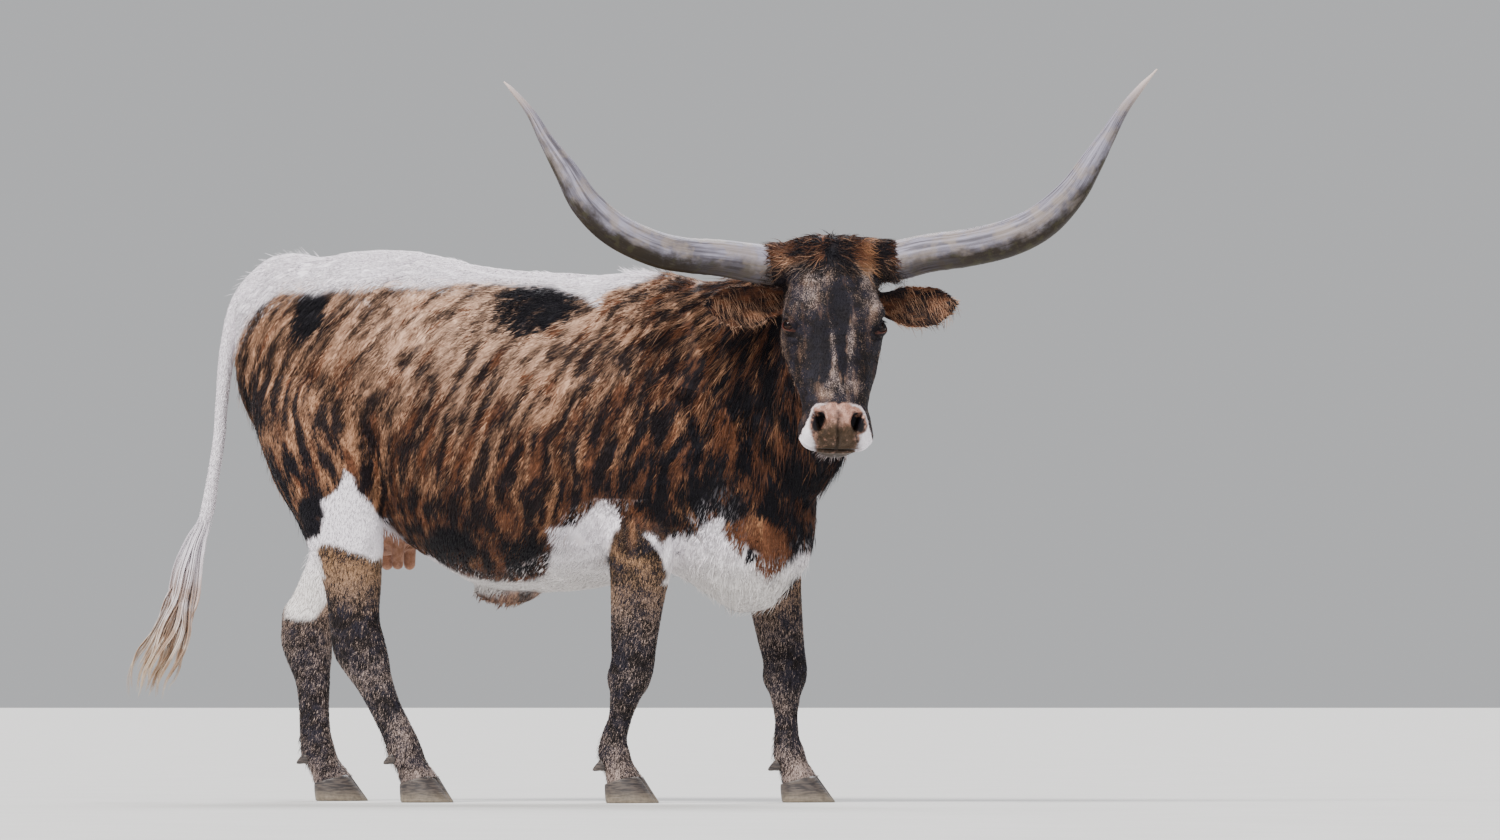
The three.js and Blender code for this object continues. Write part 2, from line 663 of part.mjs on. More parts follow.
// Legs: how far the limb reaches round its middle line, by the share of the way down
const FORELEG_ROWS = [
  // share, front, back, half width, square front, square back
  [0, 92, 96, 52, 2, 2],
  [18, 92, 92, 62, 2, 2],
  [32, 84, 82, 60, 2, 2],
  [46, 70, 66, 50, 2, 2],
  [58, 59, 57, 43, 2.1, 2.1],
  [64, 54, 50, 42, 2.3, 2.3],
  [68.5, 52, 50, 44, 2.4, 2.4],
  [73.5, 38, 38, 34, 2.3, 2.3],
  [80, 30, 30, 26, 2.1, 2.1],
  [85.5, 32, 36, 29, 2.1, 2.1],
  [89, 36, 44, 36, 2.1, 2.2],
  [93, 34, 38, 38, 2.2, 2.2],
  [97, 40, 44, 47, 2.3, 2.3],
  [100, 44, 44, 48, 2.3, 2.3],
];
const HINDLEG_ROWS = [
  [0, 150, 150, 60, 2, 2],
  [12, 160, 172, 92, 2, 2],
  [24, 150, 148, 96, 2, 2],
  [35, 120, 112, 82, 2, 2],
  [44, 96, 92, 66, 2, 2],
  [53, 70, 76, 52, 2, 1.9],
  [61, 60, 70, 44, 2.1, 1.7],
  [66, 62, 74, 45, 2.2, 1.7],
  [70, 58, 62, 44, 2.2, 1.9],
  [75, 46, 46, 34, 2.2, 2.2],
  [82, 40, 40, 29, 2.1, 2.1],
  [87, 40, 42, 32, 2.1, 2.1],
  [90.5, 40, 48, 38, 2.1, 2.2],
  [94, 36, 40, 39, 2.2, 2.2],
  [97.5, 42, 46, 48, 2.3, 2.3],
  [100, 46, 46, 49, 2.3, 2.3],
];
const LEGS = {
  fore_right: {
    path: [
      [420, -150, 880],
      [374, -160, 705],
      [352, -158, 520],
      [332, -152, 325],
      [304, -146, 205],
      [288, -143, 138],
      [322, -142, 30],
    ],
    rows: FORELEG_ROWS,
    toe: -6,
  },
  fore_left: {
    path: [
      [590, 140, 880],
      [556, 152, 705],
      [586, 154, 520],
      [617, 150, 325],
      [624, 146, 205],
      [630, 144, 138],
      [668, 143, 30],
    ],
    rows: FORELEG_ROWS,
    toe: 5,
  },
  hind_right: {
    path: [
      [-490, -110, 1090],
      [-456, -150, 880],
      [-400, -168, 690],
      [-366, -166, 540],
      [-352, -162, 395],
      [-296, -160, 250],
      [-240, -158, 140],
      [-190, -157, 30],
    ],
    rows: HINDLEG_ROWS,
    toe: -8,
  },
  hind_left: {
    path: [
      [-490, 110, 1090],
      [-480, 150, 880],
      [-462, 168, 690],
      [-530, 166, 560],
      [-598, 162, 425],
      [-588, 160, 280],
      [-576, 158, 140],
      [-526, 157, 30],
    ],
    rows: HINDLEG_ROWS,
    toe: 8,
  },
};
const LEG_RINGS = { steps: 25, sides: 12 };

// One claw of a hoof: flat sole, round outside, flat towards its twin, toe bent inwards
const CLAW = {
  width: 50,
  toe: 84,
  heel: 44,
  cleft: 3.5,
  pitch: 0.74, // how far the toe runs back with each millimetre up
  taper: 0.07,
  heights: [0, 4, 36, 74],
  edge: 2.5, // the sole's edge is taken off by this much
  outer: 7,
  inner: 2,
};
const CORONET = { height: 53, slope: 14 }; // where hair meets horn: higher at the front
function claw(foot, turn, side) {
  const top = CLAW.heights.at(-1);
  const rings = CLAW.heights.map((height) => {
    const sole = height === 0 ? CLAW.edge : 0;
    const front = CLAW.toe - CLAW.pitch * height - sole;
    const back = CLAW.heel + 4 * Math.sin((Math.PI * height) / top) - sole;
    const width = CLAW.width - CLAW.taper * height - sole;
    const along = (u, share) => (u > 0 ? u * front : u * back) * share;
    const points = [];
    for (let k = 0; k <= CLAW.outer; k += 1) {
      const u = -Math.cos((Math.PI * k) / CLAW.outer);
      const bulge = Math.max(0, 1 - Math.abs(u) ** 2.6) ** 0.55;
      points.push([along(u, 1), CLAW.cleft + 1.5 + (width - 1.5) * bulge]);
    }
    for (let k = 1; k <= CLAW.inner; k += 1) {
      const u = Math.cos((Math.PI * k) / (CLAW.inner + 1));
      points.push([along(u, 0.96), CLAW.cleft + (u > 0 ? 0 : 1)]);
    }
    const turned = points.map(([x, y]) => vec(x, side * y, height));
    return side > 0 ? turned.reverse() : turned;
  });
  const shape = skinOver(rings);
  shape.rotateZ(THREE.MathUtils.degToRad(turn)).translate(foot.x, foot.y, 0);
  return solid(shape);
}
// Two small horny points behind each fetlock
const DEWCLAW = { radius: 14, length: 34, apart: 22, behind: 44, sides: 7 };
function dewclaw(at, axis) {
  const shape = new THREE.ConeGeometry(DEWCLAW.radius, DEWCLAW.length, DEWCLAW.sides, 1);
  shape.applyQuaternion(new THREE.Quaternion().setFromUnitVectors(vec(0, 1, 0), axis));
  return solid(shape.translate(at.x, at.y, at.z));
}

// Tail: a bone-thick dock held a little off the rump, then the switch
const TAIL_PATH = [
  [-548, 0, 1258],
  [-606, 0, 1293],
  [-664, -2, 1266],
  [-716, -4, 1208],
  [-746, -6, 1104],
  [-762, -8, 971],
  [-768, -11, 880],
  [-784, -14, 777],
  [-797, -17, 700],
  [-822, -19, 635],
];
const TAIL_RINGS = { steps: 18, sides: 9 };
const TAIL_ROWS = [
  [0, 30, 34, 34, 2, 2],
  [10, 28, 32, 34, 2, 2],
  [22, 27, 27, 30, 2, 2],
  [45, 22, 22, 22, 2, 2],
  [62, 18, 18, 19, 2, 2],
  [80, 18, 18, 18, 2, 2],
  [90, 20, 20, 20, 2, 2],
  [100, 12, 12, 12, 2, 2],
];
const TAIL_CUT = { at: vec(-797, -17, 700), way: vec(-0.25, -0.03, -0.96) }; // where long hair begins

// Switch of the tail: a core that reaches half way, and locks that hang from it to the tips
const SWITCH_PATH = [
  [-794, -17, 712],
  [-806, -18, 671],
  [-825, -19, 630],
  [-842, -21, 570],
  [-862, -23, 482],
  [-880, -24, 422],
  [-907, -27, 359],
  [-936, -29, 303],
  [-946, -31, 237],
];
const SWITCH_ROWS = [
  // share of the path, reach of the hair along the tail's bend and across it
  [0, 22, 20],
  [9, 26, 24],
  [20, 39, 30],
  [42, 44, 34],
  [60, 46, 36],
  [80, 53, 38],
  [100, 40, 30],
];
const SWITCH = {
  core: 0.46, // share of the hair's length that the core reaches
  coreShare: 0.62,
  coreRings: { steps: 6, sides: 9 },
  tiers: [
    // shares of the path: roots from and to, tips; count round the tail, and how far out they lie
    { from: 0.02, to: 0.12, end: 0.86, count: 10, reach: 0.97 },
    { from: 0.2, to: 0.3, end: 0.94, count: 8, reach: 0.7 },
    { from: 0.32, to: 0.4, end: 0.98, count: 4, reach: 0.4 },
  ],
  width: [23, 30],
  thick: [7, 10],
  wave: 5,
  bends: 5.2, // how much of a wave each lock makes, in radians
};
const switchCurve = smooth(SWITCH_PATH);
const switchSides = (share) => {
  const along = switchCurve.getTangentAt(share);
  const bend = crossed(vec(0, 1, 0), along);
  return [bend, crossed(along, bend)];
};
function switchCore() {
  const row = through(SWITCH_ROWS);
  const rings = [];
  const { steps, sides } = SWITCH.coreRings;
  for (let i = 0; i <= steps; i += 1) {
    const share = (SWITCH.core * i) / steps;
    const [bend, side] = switchSides(share);
    const thinner = THREE.MathUtils.lerp(1, SWITCH.coreShare, i / steps);
    const [wide, deep] = row(share * 100).map((reach) => reach * thinner - 2);
    rings.push(ring(switchCurve.getPointAt(share), side, bend, reachOf([wide, wide, deep, 2, 2]), sides));
  }
  return solid(skinOver(rings));
}
function switchLocks() {
  const row = through(SWITCH_ROWS);
  return SWITCH.tiers.flatMap(({ from, to, count, reach, end }) =>
    Array.from({ length: count }, (_, i) => {
      const root = between(from, to);
      const tip = Math.min(1, end + between(-0.06, 0.06));
      const turn = (2 * Math.PI * (i + between(-0.08, 0.08))) / count + from * 9;
      const spread = reach * between(0.9, 1.06);
      const phase = between(0, 2 * Math.PI);
      const place = (share) => THREE.MathUtils.clamp(root + (tip - root) * share, 0, 1);
      const pathAt = (share) => {
        const [bend, side] = switchSides(place(share));
        const [wide, deep] = row(place(share) * 100);
        const out = spread * Math.min(1, 0.45 + 1.5 * share) * (1 + 0.16 * share ** 3);
        const sway = SWITCH.wave * Math.sin(phase + SWITCH.bends * share) * share;
        const beyond = (tip - root) * Math.min(0, share) + Math.max(0, share - 1);
        return switchCurve
          .getPointAt(place(share))
          .addScaledVector(switchCurve.getTangentAt(place(share)), 100 * beyond)
          .addScaledVector(bend, wide * out * Math.cos(turn) - sway * Math.sin(turn))
          .addScaledVector(side, deep * out * Math.sin(turn) + sway * Math.cos(turn));
      };
      const faceAt = (share) => {
        const [bend, side] = switchSides(place(share));
        return bend.multiplyScalar(Math.cos(turn)).addScaledVector(side, Math.sin(turn));
      };
      return lock(pathAt, faceAt, sizeOf(SWITCH));
    }),
  );
}

// Udder and teats
const UDDER = { centre: vec(-345, -2, 676), reach: vec(104, 80, 84), segments: 14 };
const TEAT = { radius: 13, bottom: 560, top: 640, rows: [0.08, 0.3, 1], sides: 7 };
const TEATS = {
  teat_front_right: [-296, -44],
  teat_front_left: [-296, 40],
  teat_rear_right: [-352, -40],
  teat_rear_left: [-352, 36],
};
function teat([x, y]) {
  const length = TEAT.top - TEAT.bottom;
  const rows = TEAT.rows.map((share) => {
    const rounding = Math.min(1, 0.55 + 1.6 * share) * (1 + 0.2 * share);
    return new THREE.Vector2(TEAT.radius * rounding, length * (share - 0.05));
  });
  const profile = [new THREE.Vector2(0, 0), ...rows, new THREE.Vector2(0, length * 0.95)];
  const shape = new THREE.LatheGeometry(profile, TEAT.sides);
  return solid(shape.rotateX(Math.PI / 2).translate(x, y, TEAT.bottom));
}

const longhorn = new THREE.Group();
function add(name, body, colour, roughness = 0.8) {
  const geometry = geometryOf(largest(body));
  const material = new THREE.MeshStandardMaterial({ color: COLOURS[colour], roughness, metalness: 0 });
  const node = new THREE.Mesh(geometry, material);
  node.name = name;
  longhorn.add(node);
}
// The head is the skull with its collars; the neck ends round the back of it
const SIDES = { right: -1, left: 1 };
const wholeHead = (allowance) =>
  joined(
    Object.entries(SIDES).map(([name, sign]) => hornCollar(name, sign, allowance)),
    skull(allowance),
  );
const bareHead = wholeHead(0);
const roomyHead = wholeHead(CLEAR);
const neckBody = neck(0).subtract(roomyHead);
const besideEars = roomyHead.add(neck(CLEAR));
const roomyHorns = horn(HORNS.horn_right, CLEAR).add(horn(HORNS.horn_left, CLEAR));
const [firstLock, ...otherLocks] = pollHair(bareHead);
const tuft = joined(otherLocks, firstLock).subtract(roomyHorns).subtract(neck(CLEAR));
add("head", withMuzzle(withEyes(bareHead.add(tuft))), "dark");
for (const [name, sign] of Object.entries(SIDES)) {
  add("horn_" + name, grown(horn(HORNS["horn_" + name], 0), roomyHead), "horn", 0.5);
  add("ear_" + name, grown(joined(earHair(name, sign), ear(name, sign)), besideEars), "brindle");
  add("eye_" + name, eyeBall(sign, EYE_RADIUS), "eye", 0.1);
}

// Legs, from the body down: upper leg, cannon, pastern, claws and dewclaws
const wholeLegs = (allowance) =>
  Object.values(LEGS).map((leg) => limb(leg.path, leg.rows, { ...LEG_RINGS, allowance }));
const navel = ball(NAVEL.centre, NAVEL.reach, { segments: 10 });
const trunk = joined(wholeLegs(0), torso(0).add(neckBody).add(navel));
const roomyTrunk = joined(wholeLegs(CLEAR), torso(CLEAR));
const LEG_SPACE = 260; // room out to the side that a leg's own region takes
const LEG_CUTS = {
  // nearest the middle, behind and before the leg's middle line, height and slope of the cut,
  // and the shares of the leg's length where the cannon and the pastern begin
  fore: { inner: 104, behind: 92, before: 96, height: 560, slope: 0, cannon: 0.72, pastern: 0.905 },
  hind: { inner: 66, behind: 330, before: 300, height: 690, slope: 33, cannon: 0.735, pastern: 0.92 },
};
function legRegion(leg, side, { inner, behind, before, height, slope }, grow) {
  const middle = leg.path[2][0];
  const lean = THREE.MathUtils.degToRad(slope);
  const block = new THREE.BoxGeometry(before + behind, LEG_SPACE, 2 * height + 2 * LEG_SPACE);
  block.translate(middle + (before - behind) / 2, side * (LEG_SPACE / 2 + inner - grow), 0);
  const offset = Math.cos(lean) * (height + grow) + Math.sin(lean) * middle;
  return solid(block).trimByPlane([-Math.sin(lean), 0, -Math.cos(lean)], -offset);
}
let body = trunk;
for (const [name, leg] of Object.entries(LEGS)) {
  const [pair, which] = name.split("_");
  const cuts = LEG_CUTS[pair];
  const side = SIDES[which];
  const lower = largest(trunk.intersect(legRegion(leg, side, cuts, 0)));
  body = body.subtract(legRegion(leg, side, cuts, GAP));
  const curve = smooth(leg.path);
  const cutAt = (share) => [curve.getPointAt(share), curve.getTangentAt(share).negate()];
  const [upper, shin] = part(lower, ...cutAt(cuts.cannon));
  const [cannon, low] = part(shin, ...cutAt(cuts.pastern));
  add((pair === "fore" ? "forearm_" : "thigh_") + which, upper, "roan");
  add("cannon_" + name, cannon, "roan");

  const [x, y] = leg.path.at(-1);
  const foot = vec(x - 6, y, 0);
  const slope = THREE.MathUtils.degToRad(CORONET.slope);
  const coronet = vec(-Math.sin(slope), 0, Math.cos(slope));
  coronet.applyAxisAngle(up, THREE.MathUtils.degToRad(leg.toe));
  const level = vec(foot.x, foot.y, CORONET.height);
  add("pastern_" + name, part(low, level, coronet)[0], "roan");
  const fetlock = curve.getPointAt(0.925);
  for (const [edge, sign] of Object.entries({ inner: -side, outer: side })) {
    const hoof = part(claw(foot, leg.toe, sign), level, coronet)[1];
    add(["claw", edge, name].join("_"), hoof, "hoof", 0.55);
    const back = vec(-0.86, sign * 0.18, -0.48).normalize();
    const at = vec(fetlock.x - DEWCLAW.behind, fetlock.y + sign * DEWCLAW.apart, fetlock.z - 6);
    add(["dewclaw", edge, name].join("_"), grown(dewclaw(at, back), roomyTrunk), "hoof", 0.55);
  }
}

// Neck, chest, barrel and hindquarters
const NECK_CUT = { at: vec(430, 0, 1262), way: vec(0.883, 0, 0.47) };
const CHEST_CUT = { at: vec(205, 0, 0), way: vec(1, 0, 0) };
const BARREL_CUT = { at: vec(-228, 0, 0), way: vec(1, 0, 0) };
const [neckNode, rest] = part(body, NECK_CUT.at, NECK_CUT.way);
const [chest, back] = part(rest, CHEST_CUT.at, CHEST_CUT.way);
const [barrel, rump] = part(back, BARREL_CUT.at, BARREL_CUT.way);
add("neck", neckNode, "brindle");
add("chest", chest, "brindle");
add("barrel", barrel, "brindle");
add("hindquarters", rump, "brindle");

// Udder, teats and tail grow from them
const udder = (allowance) => {
  const reach = UDDER.reach.clone().addScalar(allowance);
  return ball(UDDER.centre, reach, { segments: UDDER.segments });
};
add("udder", grown(udder(0), roomyTrunk), "teat");
const besideTeats = roomyTrunk.add(udder(CLEAR));
for (const [name, at] of Object.entries(TEATS)) {
  add(name, grown(teat(at), besideTeats), "teat");
}
const tail = limb(TAIL_PATH, TAIL_ROWS, TAIL_RINGS);
add("tail", grown(part(tail, TAIL_CUT.at, TAIL_CUT.way)[1], roomyTrunk), "white");
const hair = joined(switchLocks(), switchCore());
add("tail_switch", part(hair, TAIL_CUT.at, TAIL_CUT.way)[0], "switchHair");

// The origin is the middle of the model's own box, on the floor
const box = new THREE.Box3().setFromObject(longhorn);
longhorn.position.set(-(box.min.x + box.max.x) / 2, -(box.min.y + box.max.y) / 2, -box.min.z);

export default longhorn;
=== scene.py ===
"""A longhorn cow as a still, life-size museum model: one skin, its coat, horns, eyes and hooves.

Sizes are in millimetres in the maker's own frame (she walks towards +X, her left side is +Y and the
floor is z = 0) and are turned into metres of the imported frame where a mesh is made.
"""

import logging
import math
from collections.abc import Callable, Sequence
from dataclasses import dataclass, field
from enum import Enum, IntEnum

import bmesh
import bpy
import numpy as np
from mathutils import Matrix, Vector
from mathutils.kdtree import KDTree

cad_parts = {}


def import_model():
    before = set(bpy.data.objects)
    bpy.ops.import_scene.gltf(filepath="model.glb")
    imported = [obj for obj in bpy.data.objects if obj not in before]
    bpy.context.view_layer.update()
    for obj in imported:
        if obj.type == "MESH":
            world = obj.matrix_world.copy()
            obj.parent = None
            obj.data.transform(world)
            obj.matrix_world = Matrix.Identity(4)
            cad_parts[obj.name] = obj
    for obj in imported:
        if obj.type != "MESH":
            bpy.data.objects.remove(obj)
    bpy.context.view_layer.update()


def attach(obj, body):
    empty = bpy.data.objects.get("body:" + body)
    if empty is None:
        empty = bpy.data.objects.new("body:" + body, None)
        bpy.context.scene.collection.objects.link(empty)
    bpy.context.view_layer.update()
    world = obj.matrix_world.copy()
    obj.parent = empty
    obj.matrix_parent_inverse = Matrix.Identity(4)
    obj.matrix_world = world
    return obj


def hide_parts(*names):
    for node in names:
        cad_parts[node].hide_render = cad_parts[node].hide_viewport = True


log = logging.getLogger("longhorn")

Array = np.ndarray
Row = tuple[float, ...]
Inputs = dict[str | int, object]
Mesh = bpy.types.Mesh
Thing = bpy.types.Object
Material = bpy.types.Material
Socket = bpy.types.NodeSocket

MM = 0.001
SHIFT = np.array([-282.391, 102.267, 0.0])  # from the maker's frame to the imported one
ROOT = "root"
UP = np.array([0.0, 0.0, 1.0])


class Region(IntEnum):
    """The parts of the animal that the skin's points are told apart by."""

    TRUNK = 0
    NECK = 1
    HEAD = 2
    EAR_RIGHT = 3
    EAR_LEFT = 4
    FORE_RIGHT = 5
    FORE_LEFT = 6
    HIND_RIGHT = 7
    HIND_LEFT = 8
    TAIL = 9
    UDDER = 10


class Side(Enum):
    """The animal's own right and left."""

    RIGHT = "right"
    LEFT = "left"

    @property
    def sign(self) -> int:
        """Minus one on her right, one on her left."""
        return -1 if self is Side.RIGHT else 1


# numbers, lines and rings


def unit(rows: Array) -> Array:
    """Scales each row to length one.

    Args:
        rows: vectors, one to a row, or a single vector.

    Returns:
        The same directions with a length of one.
    """
    rows = np.asarray(rows, float)
    return rows / np.maximum(np.linalg.norm(rows, axis=-1, keepdims=True), 1e-12)


def ease(value: Array, low: float, high: float) -> Array:
    """Rises softly from zero at one number to one at another.

    Args:
        value: the numbers to look up.
        low: where the result is still zero.
        high: where the result has become one.

    Returns:
        The eased numbers from zero to one.
    """
    t = np.clip((np.asarray(value, float) - low) / (high - low), 0.0, 1.0)
    return t * t * (3 - 2 * t)


def through(rows: Sequence[Row], places: Array) -> Array:
    """Draws a smooth line without overshoot through rows of numbers.

    Args:
        rows: the place along the line, then the numbers there.
        places: where the line is read.

    Returns:
        One row of numbers for each place.
    """
    table = np.asarray(rows, float)
    at, values = table[:, 0], table[:, 1:]
    step = np.diff(at)[:, None]
    rise = np.diff(values, axis=0) / step
    slope = np.zeros_like(values)
    before, after = rise[:-1], rise[1:]
    level = before * after <= 0
    slope[1:-1] = np.where(level, 0, 2 * before * after / np.where(level, 1, before + after))
    places = np.clip(np.asarray(places, float), at[0], at[-1])
    i = np.clip(np.searchsorted(at, places, side="right") - 1, 0, len(at) - 2)
    span = (at[i + 1] - at[i])[:, None]
    t = (places - at[i])[:, None] / span
    t2, t3 = t * t, t * t * t
    return (
        (2 * t3 - 3 * t2 + 1) * values[i]
        + (t3 - 2 * t2 + t) * span * slope[i]
        + (3 * t2 - 2 * t3) * values[i + 1]
        + (t3 - t2) * span * slope[i + 1]
    )


class Route:
    """A smooth path through places, read by its share of the length or by its rows."""

    FINE = 60

    def __init__(self, places: Sequence[Row]) -> None:
        """Draws the path.

        Args:
            places: the points that the path runs through.
        """
        p = np.asarray(places, float)
        p = np.vstack([2 * p[0] - p[1], p, 2 * p[-1] - p[-2]])
        t = np.linspace(0, 1, self.FINE, endpoint=False)[:, None]
        pieces = []
        for a, b, c, d in zip(p, p[1:], p[2:], p[3:]):
            ab, bc, cd = (max(np.linalg.norm(v) ** 0.5, 1e-4) for v in (b - a, c - b, d - c))
            leave = ((b - a) / ab - (c - a) / (ab + bc) + (c - b) / bc) * bc
            arrive = ((c - b) / bc - (d - b) / (bc + cd) + (d - c) / cd) * bc
            blend = (2 * t**3 - 3 * t**2 + 1) * b + (t**3 - 2 * t**2 + t) * leave
            pieces.append(blend + (3 * t**2 - 2 * t**3) * c + (t**3 - t**2) * arrive)
        self.points = np.vstack([*pieces, p[-2:-1]])
        lengths = np.linalg.norm(np.diff(self.points, axis=0), axis=1)
        self.along = np.concatenate([[0], np.cumsum(lengths)])
        self.length = float(self.along[-1])
        self.stretch = len(places) - 1

    def _read(self, where: Array, scale: Array) -> Array:
        """Reads the path's points at numbers on a scale."""
        return np.stack([np.interp(where, scale, self.points[:, k]) for k in range(3)], axis=-1)

    def at(self, share: Array) -> Array:
        """Gives the points at shares of the path's length."""
        return self._read(np.asarray(share, float) * self.length, self.along)

    def at_row(self, place: Array) -> Array:
        """Gives the points at places counted in rows of the path's own list."""
        return self._read(np.asarray(place, float) * self.FINE, np.arange(len(self.points)))

    def way(self, share: Array) -> Array:
        """Gives the directions of the path at shares of its length."""
        share = np.asarray(share, float)
        return unit(self.at(np.minimum(share + 0.004, 1)) - self.at(np.maximum(share - 0.004, 0)))

    def gap(self, points: Array, samples: int = 120) -> tuple[Array, Array]:
        """Measures how far points lie from the path.

        Args:
            points: the points to measure from.
            samples: how many places of the path are compared.

        Returns:
            The distances, and the share of the path nearest to each point.
        """
        shares = np.linspace(0, 1, samples)
        line = self.at(shares)
        best = np.full(len(points), np.inf)
        nearest = np.zeros(len(points))
        for share, place in zip(shares, line):
            distance = np.linalg.norm(points - place, axis=1)
            closer = distance < best
            best[closer] = distance[closer]
            nearest[closer] = share
        return best, nearest


def rings_of(centre: Array, side: Array, top: Array, reach: Array, count: int) -> Array:
    """Draws one ring round each centre.

    Args:
        centre: the rings' middles.
        side: the sideways direction of each ring.
        top: the upward direction of each ring.
        reach: for each ring its reach up, down and sideways, then how square it is above and below.
        count: how many points each ring has.

    Returns:
        The points, ring by ring.
    """
    angle = 2 * np.pi * np.arange(count) / count
    c, s = np.cos(angle)[None, :], np.sin(angle)[None, :]
    above, below, half, square_up, square_down = (reach[:, k : k + 1] for k in range(5))
    power = 2 / np.where(s > 0, square_up, square_down)
    across = np.sign(c) * np.abs(c) ** power * half
    along = np.sign(s) * np.abs(s) ** power * np.where(s > 0, above, below)
    return centre[:, None] + side[:, None] * across[..., None] + top[:, None] * along[..., None]


@dataclass
class Shell:
    """A surface of points, four-sided faces and three-sided faces."""

    points: Array
    quads: Array
    triangles: Array

    @classmethod
    def over(cls, rings: Array) -> "Shell":
        """Closes a skin over rings, with a fan at each end.

        Args:
            rings: the rings' points, ring by ring.

        Returns:
            The closed surface.
        """
        rows, count = rings.shape[:2]
        k = np.arange(count)
        following = (k + 1) % count
        start = (np.arange(rows - 1) * count)[:, None]
        corners = (start + k, start + following, start + following + count, start + k + count)
        quads = np.stack(corners, axis=-1).reshape(-1, 4)
        points = np.vstack([rings.reshape(-1, 3), rings[0].mean(0), rings[-1].mean(0)])
        first, last, end = len(points) - 2, len(points) - 1, (rows - 1) * count
        fans = np.vstack(
            [
                np.stack([np.full(count, first), following, k], axis=1),
                np.stack([np.full(count, last), end + k, end + following], axis=1),
            ]
        )
        return cls(points, quads, fans).outward()

    def all_triangles(self) -> Array:
        """Gives every face as triangles."""
        halves = [self.quads[:, [0, 1, 2]], self.quads[:, [0, 2, 3]], self.triangles]
        return np.vstack(halves).astype(np.int64)

    def outward(self) -> "Shell":
        """Turns the faces round where the closed surface is inside out."""
        a, b, c = (self.points[self.all_triangles()[:, k]] for k in range(3))
        if np.einsum("ij,ij->", a, np.cross(b, c)) < 0:
            self.quads = self.quads[:, ::-1]
            self.triangles = self.triangles[:, ::-1]
        return self

    def normals(self) -> Array:
        """Gives the normal at each point."""
        return point_normals(self.points, self.all_triangles())

    def swelled(self, swells: Sequence["Swell"]) -> "Shell":
        """Raises and sinks the surface softly round places.

        Args:
            swells: where, how widely and how far.

        Returns:
            The same surface, moved along its normals.
        """
        self.points = self.points + self.normals() * lift_of(self.points, swells)[:, None]
        return self

    def placed(self, frame: "HeadFrame") -> "Shell":
        """Moves the surface out of a frame of its own."""
        self.points = frame.out(self.points)
        return self


def point_normals(points: Array, triangles: Array) -> Array:
    """Finds the normals of a mesh at its points.

    Args:
        points: the mesh's points.
        triangles: its triangles.

    Returns:
        One normal for each point.
    """
    a, b, c = (points[triangles[:, k]] for k in range(3))
    face = np.cross(b - a, c - a)
    total = np.zeros_like(points)
    for k in range(3):
        for axis in range(3):
            total[:, axis] += np.bincount(triangles[:, k], face[:, axis], len(points))
    return unit(total)


@dataclass(frozen=True)
class Swell:
    """A soft rise, or a hollow where the lift is below zero."""

    name: str
    at: Row
    size: Row
    lift: float

    def mirrored(self) -> "Swell":
        """Gives the same swell on the other side of the head."""
        return Swell(self.name, (-self.at[0], self.at[1], self.at[2]), self.size, self.lift)


def both(swells: Sequence[Swell]) -> list[Swell]:
    """Gives the swells of both sides of the head."""
    return [one for swell in swells for one in (swell, swell.mirrored())]


def lift_of(points: Array, swells: Sequence[Swell]) -> Array:
    """Adds up how far swells move points along their normals.

    Args:
        points: the points.
        swells: the swells.

    Returns:
        One distance for each point.
    """
    total = np.zeros(len(points))
    for one in swells:
        away = (points - np.array(one.at)) / np.array(one.size)
        total += one.lift * np.exp(-np.einsum("ij,ij->i", away, away))
    return total


@dataclass(frozen=True)
class Fold:
    """A crease along a line of points, with a soft ridge beside it."""

    name: str
    line: tuple[Row, ...]
    deep: float
    wide: float
    ridge: float = 0.35

    def depth(self, points: Array) -> Array:
        """Finds how far the crease sinks points.

        Args:
            points: the points.

        Returns:
            One distance for each point, below zero in the crease.
        """
        nearest = np.full(len(points), np.inf)
        share = np.zeros(len(points))
        corners = np.asarray(self.line, float)
        count = len(corners) - 1
        for i, (a, b) in enumerate(zip(corners, corners[1:])):
            way = b - a
            t = np.clip((points - a) @ way / (way @ way), 0, 1)
            distance = np.linalg.norm(points - a - t[:, None] * way, axis=1)
            closer = distance < nearest
            nearest[closer] = distance[closer]
            share[closer] = ((i + t) / count)[closer]
        fade = np.sin(np.pi * np.clip(share, 0.04, 0.96)) ** 0.6
        near = nearest / self.wide
        crease = -self.deep * np.exp(-(near**2))
        return fade * (crease + self.ridge * self.deep * np.exp(-((near - 2) ** 2)))


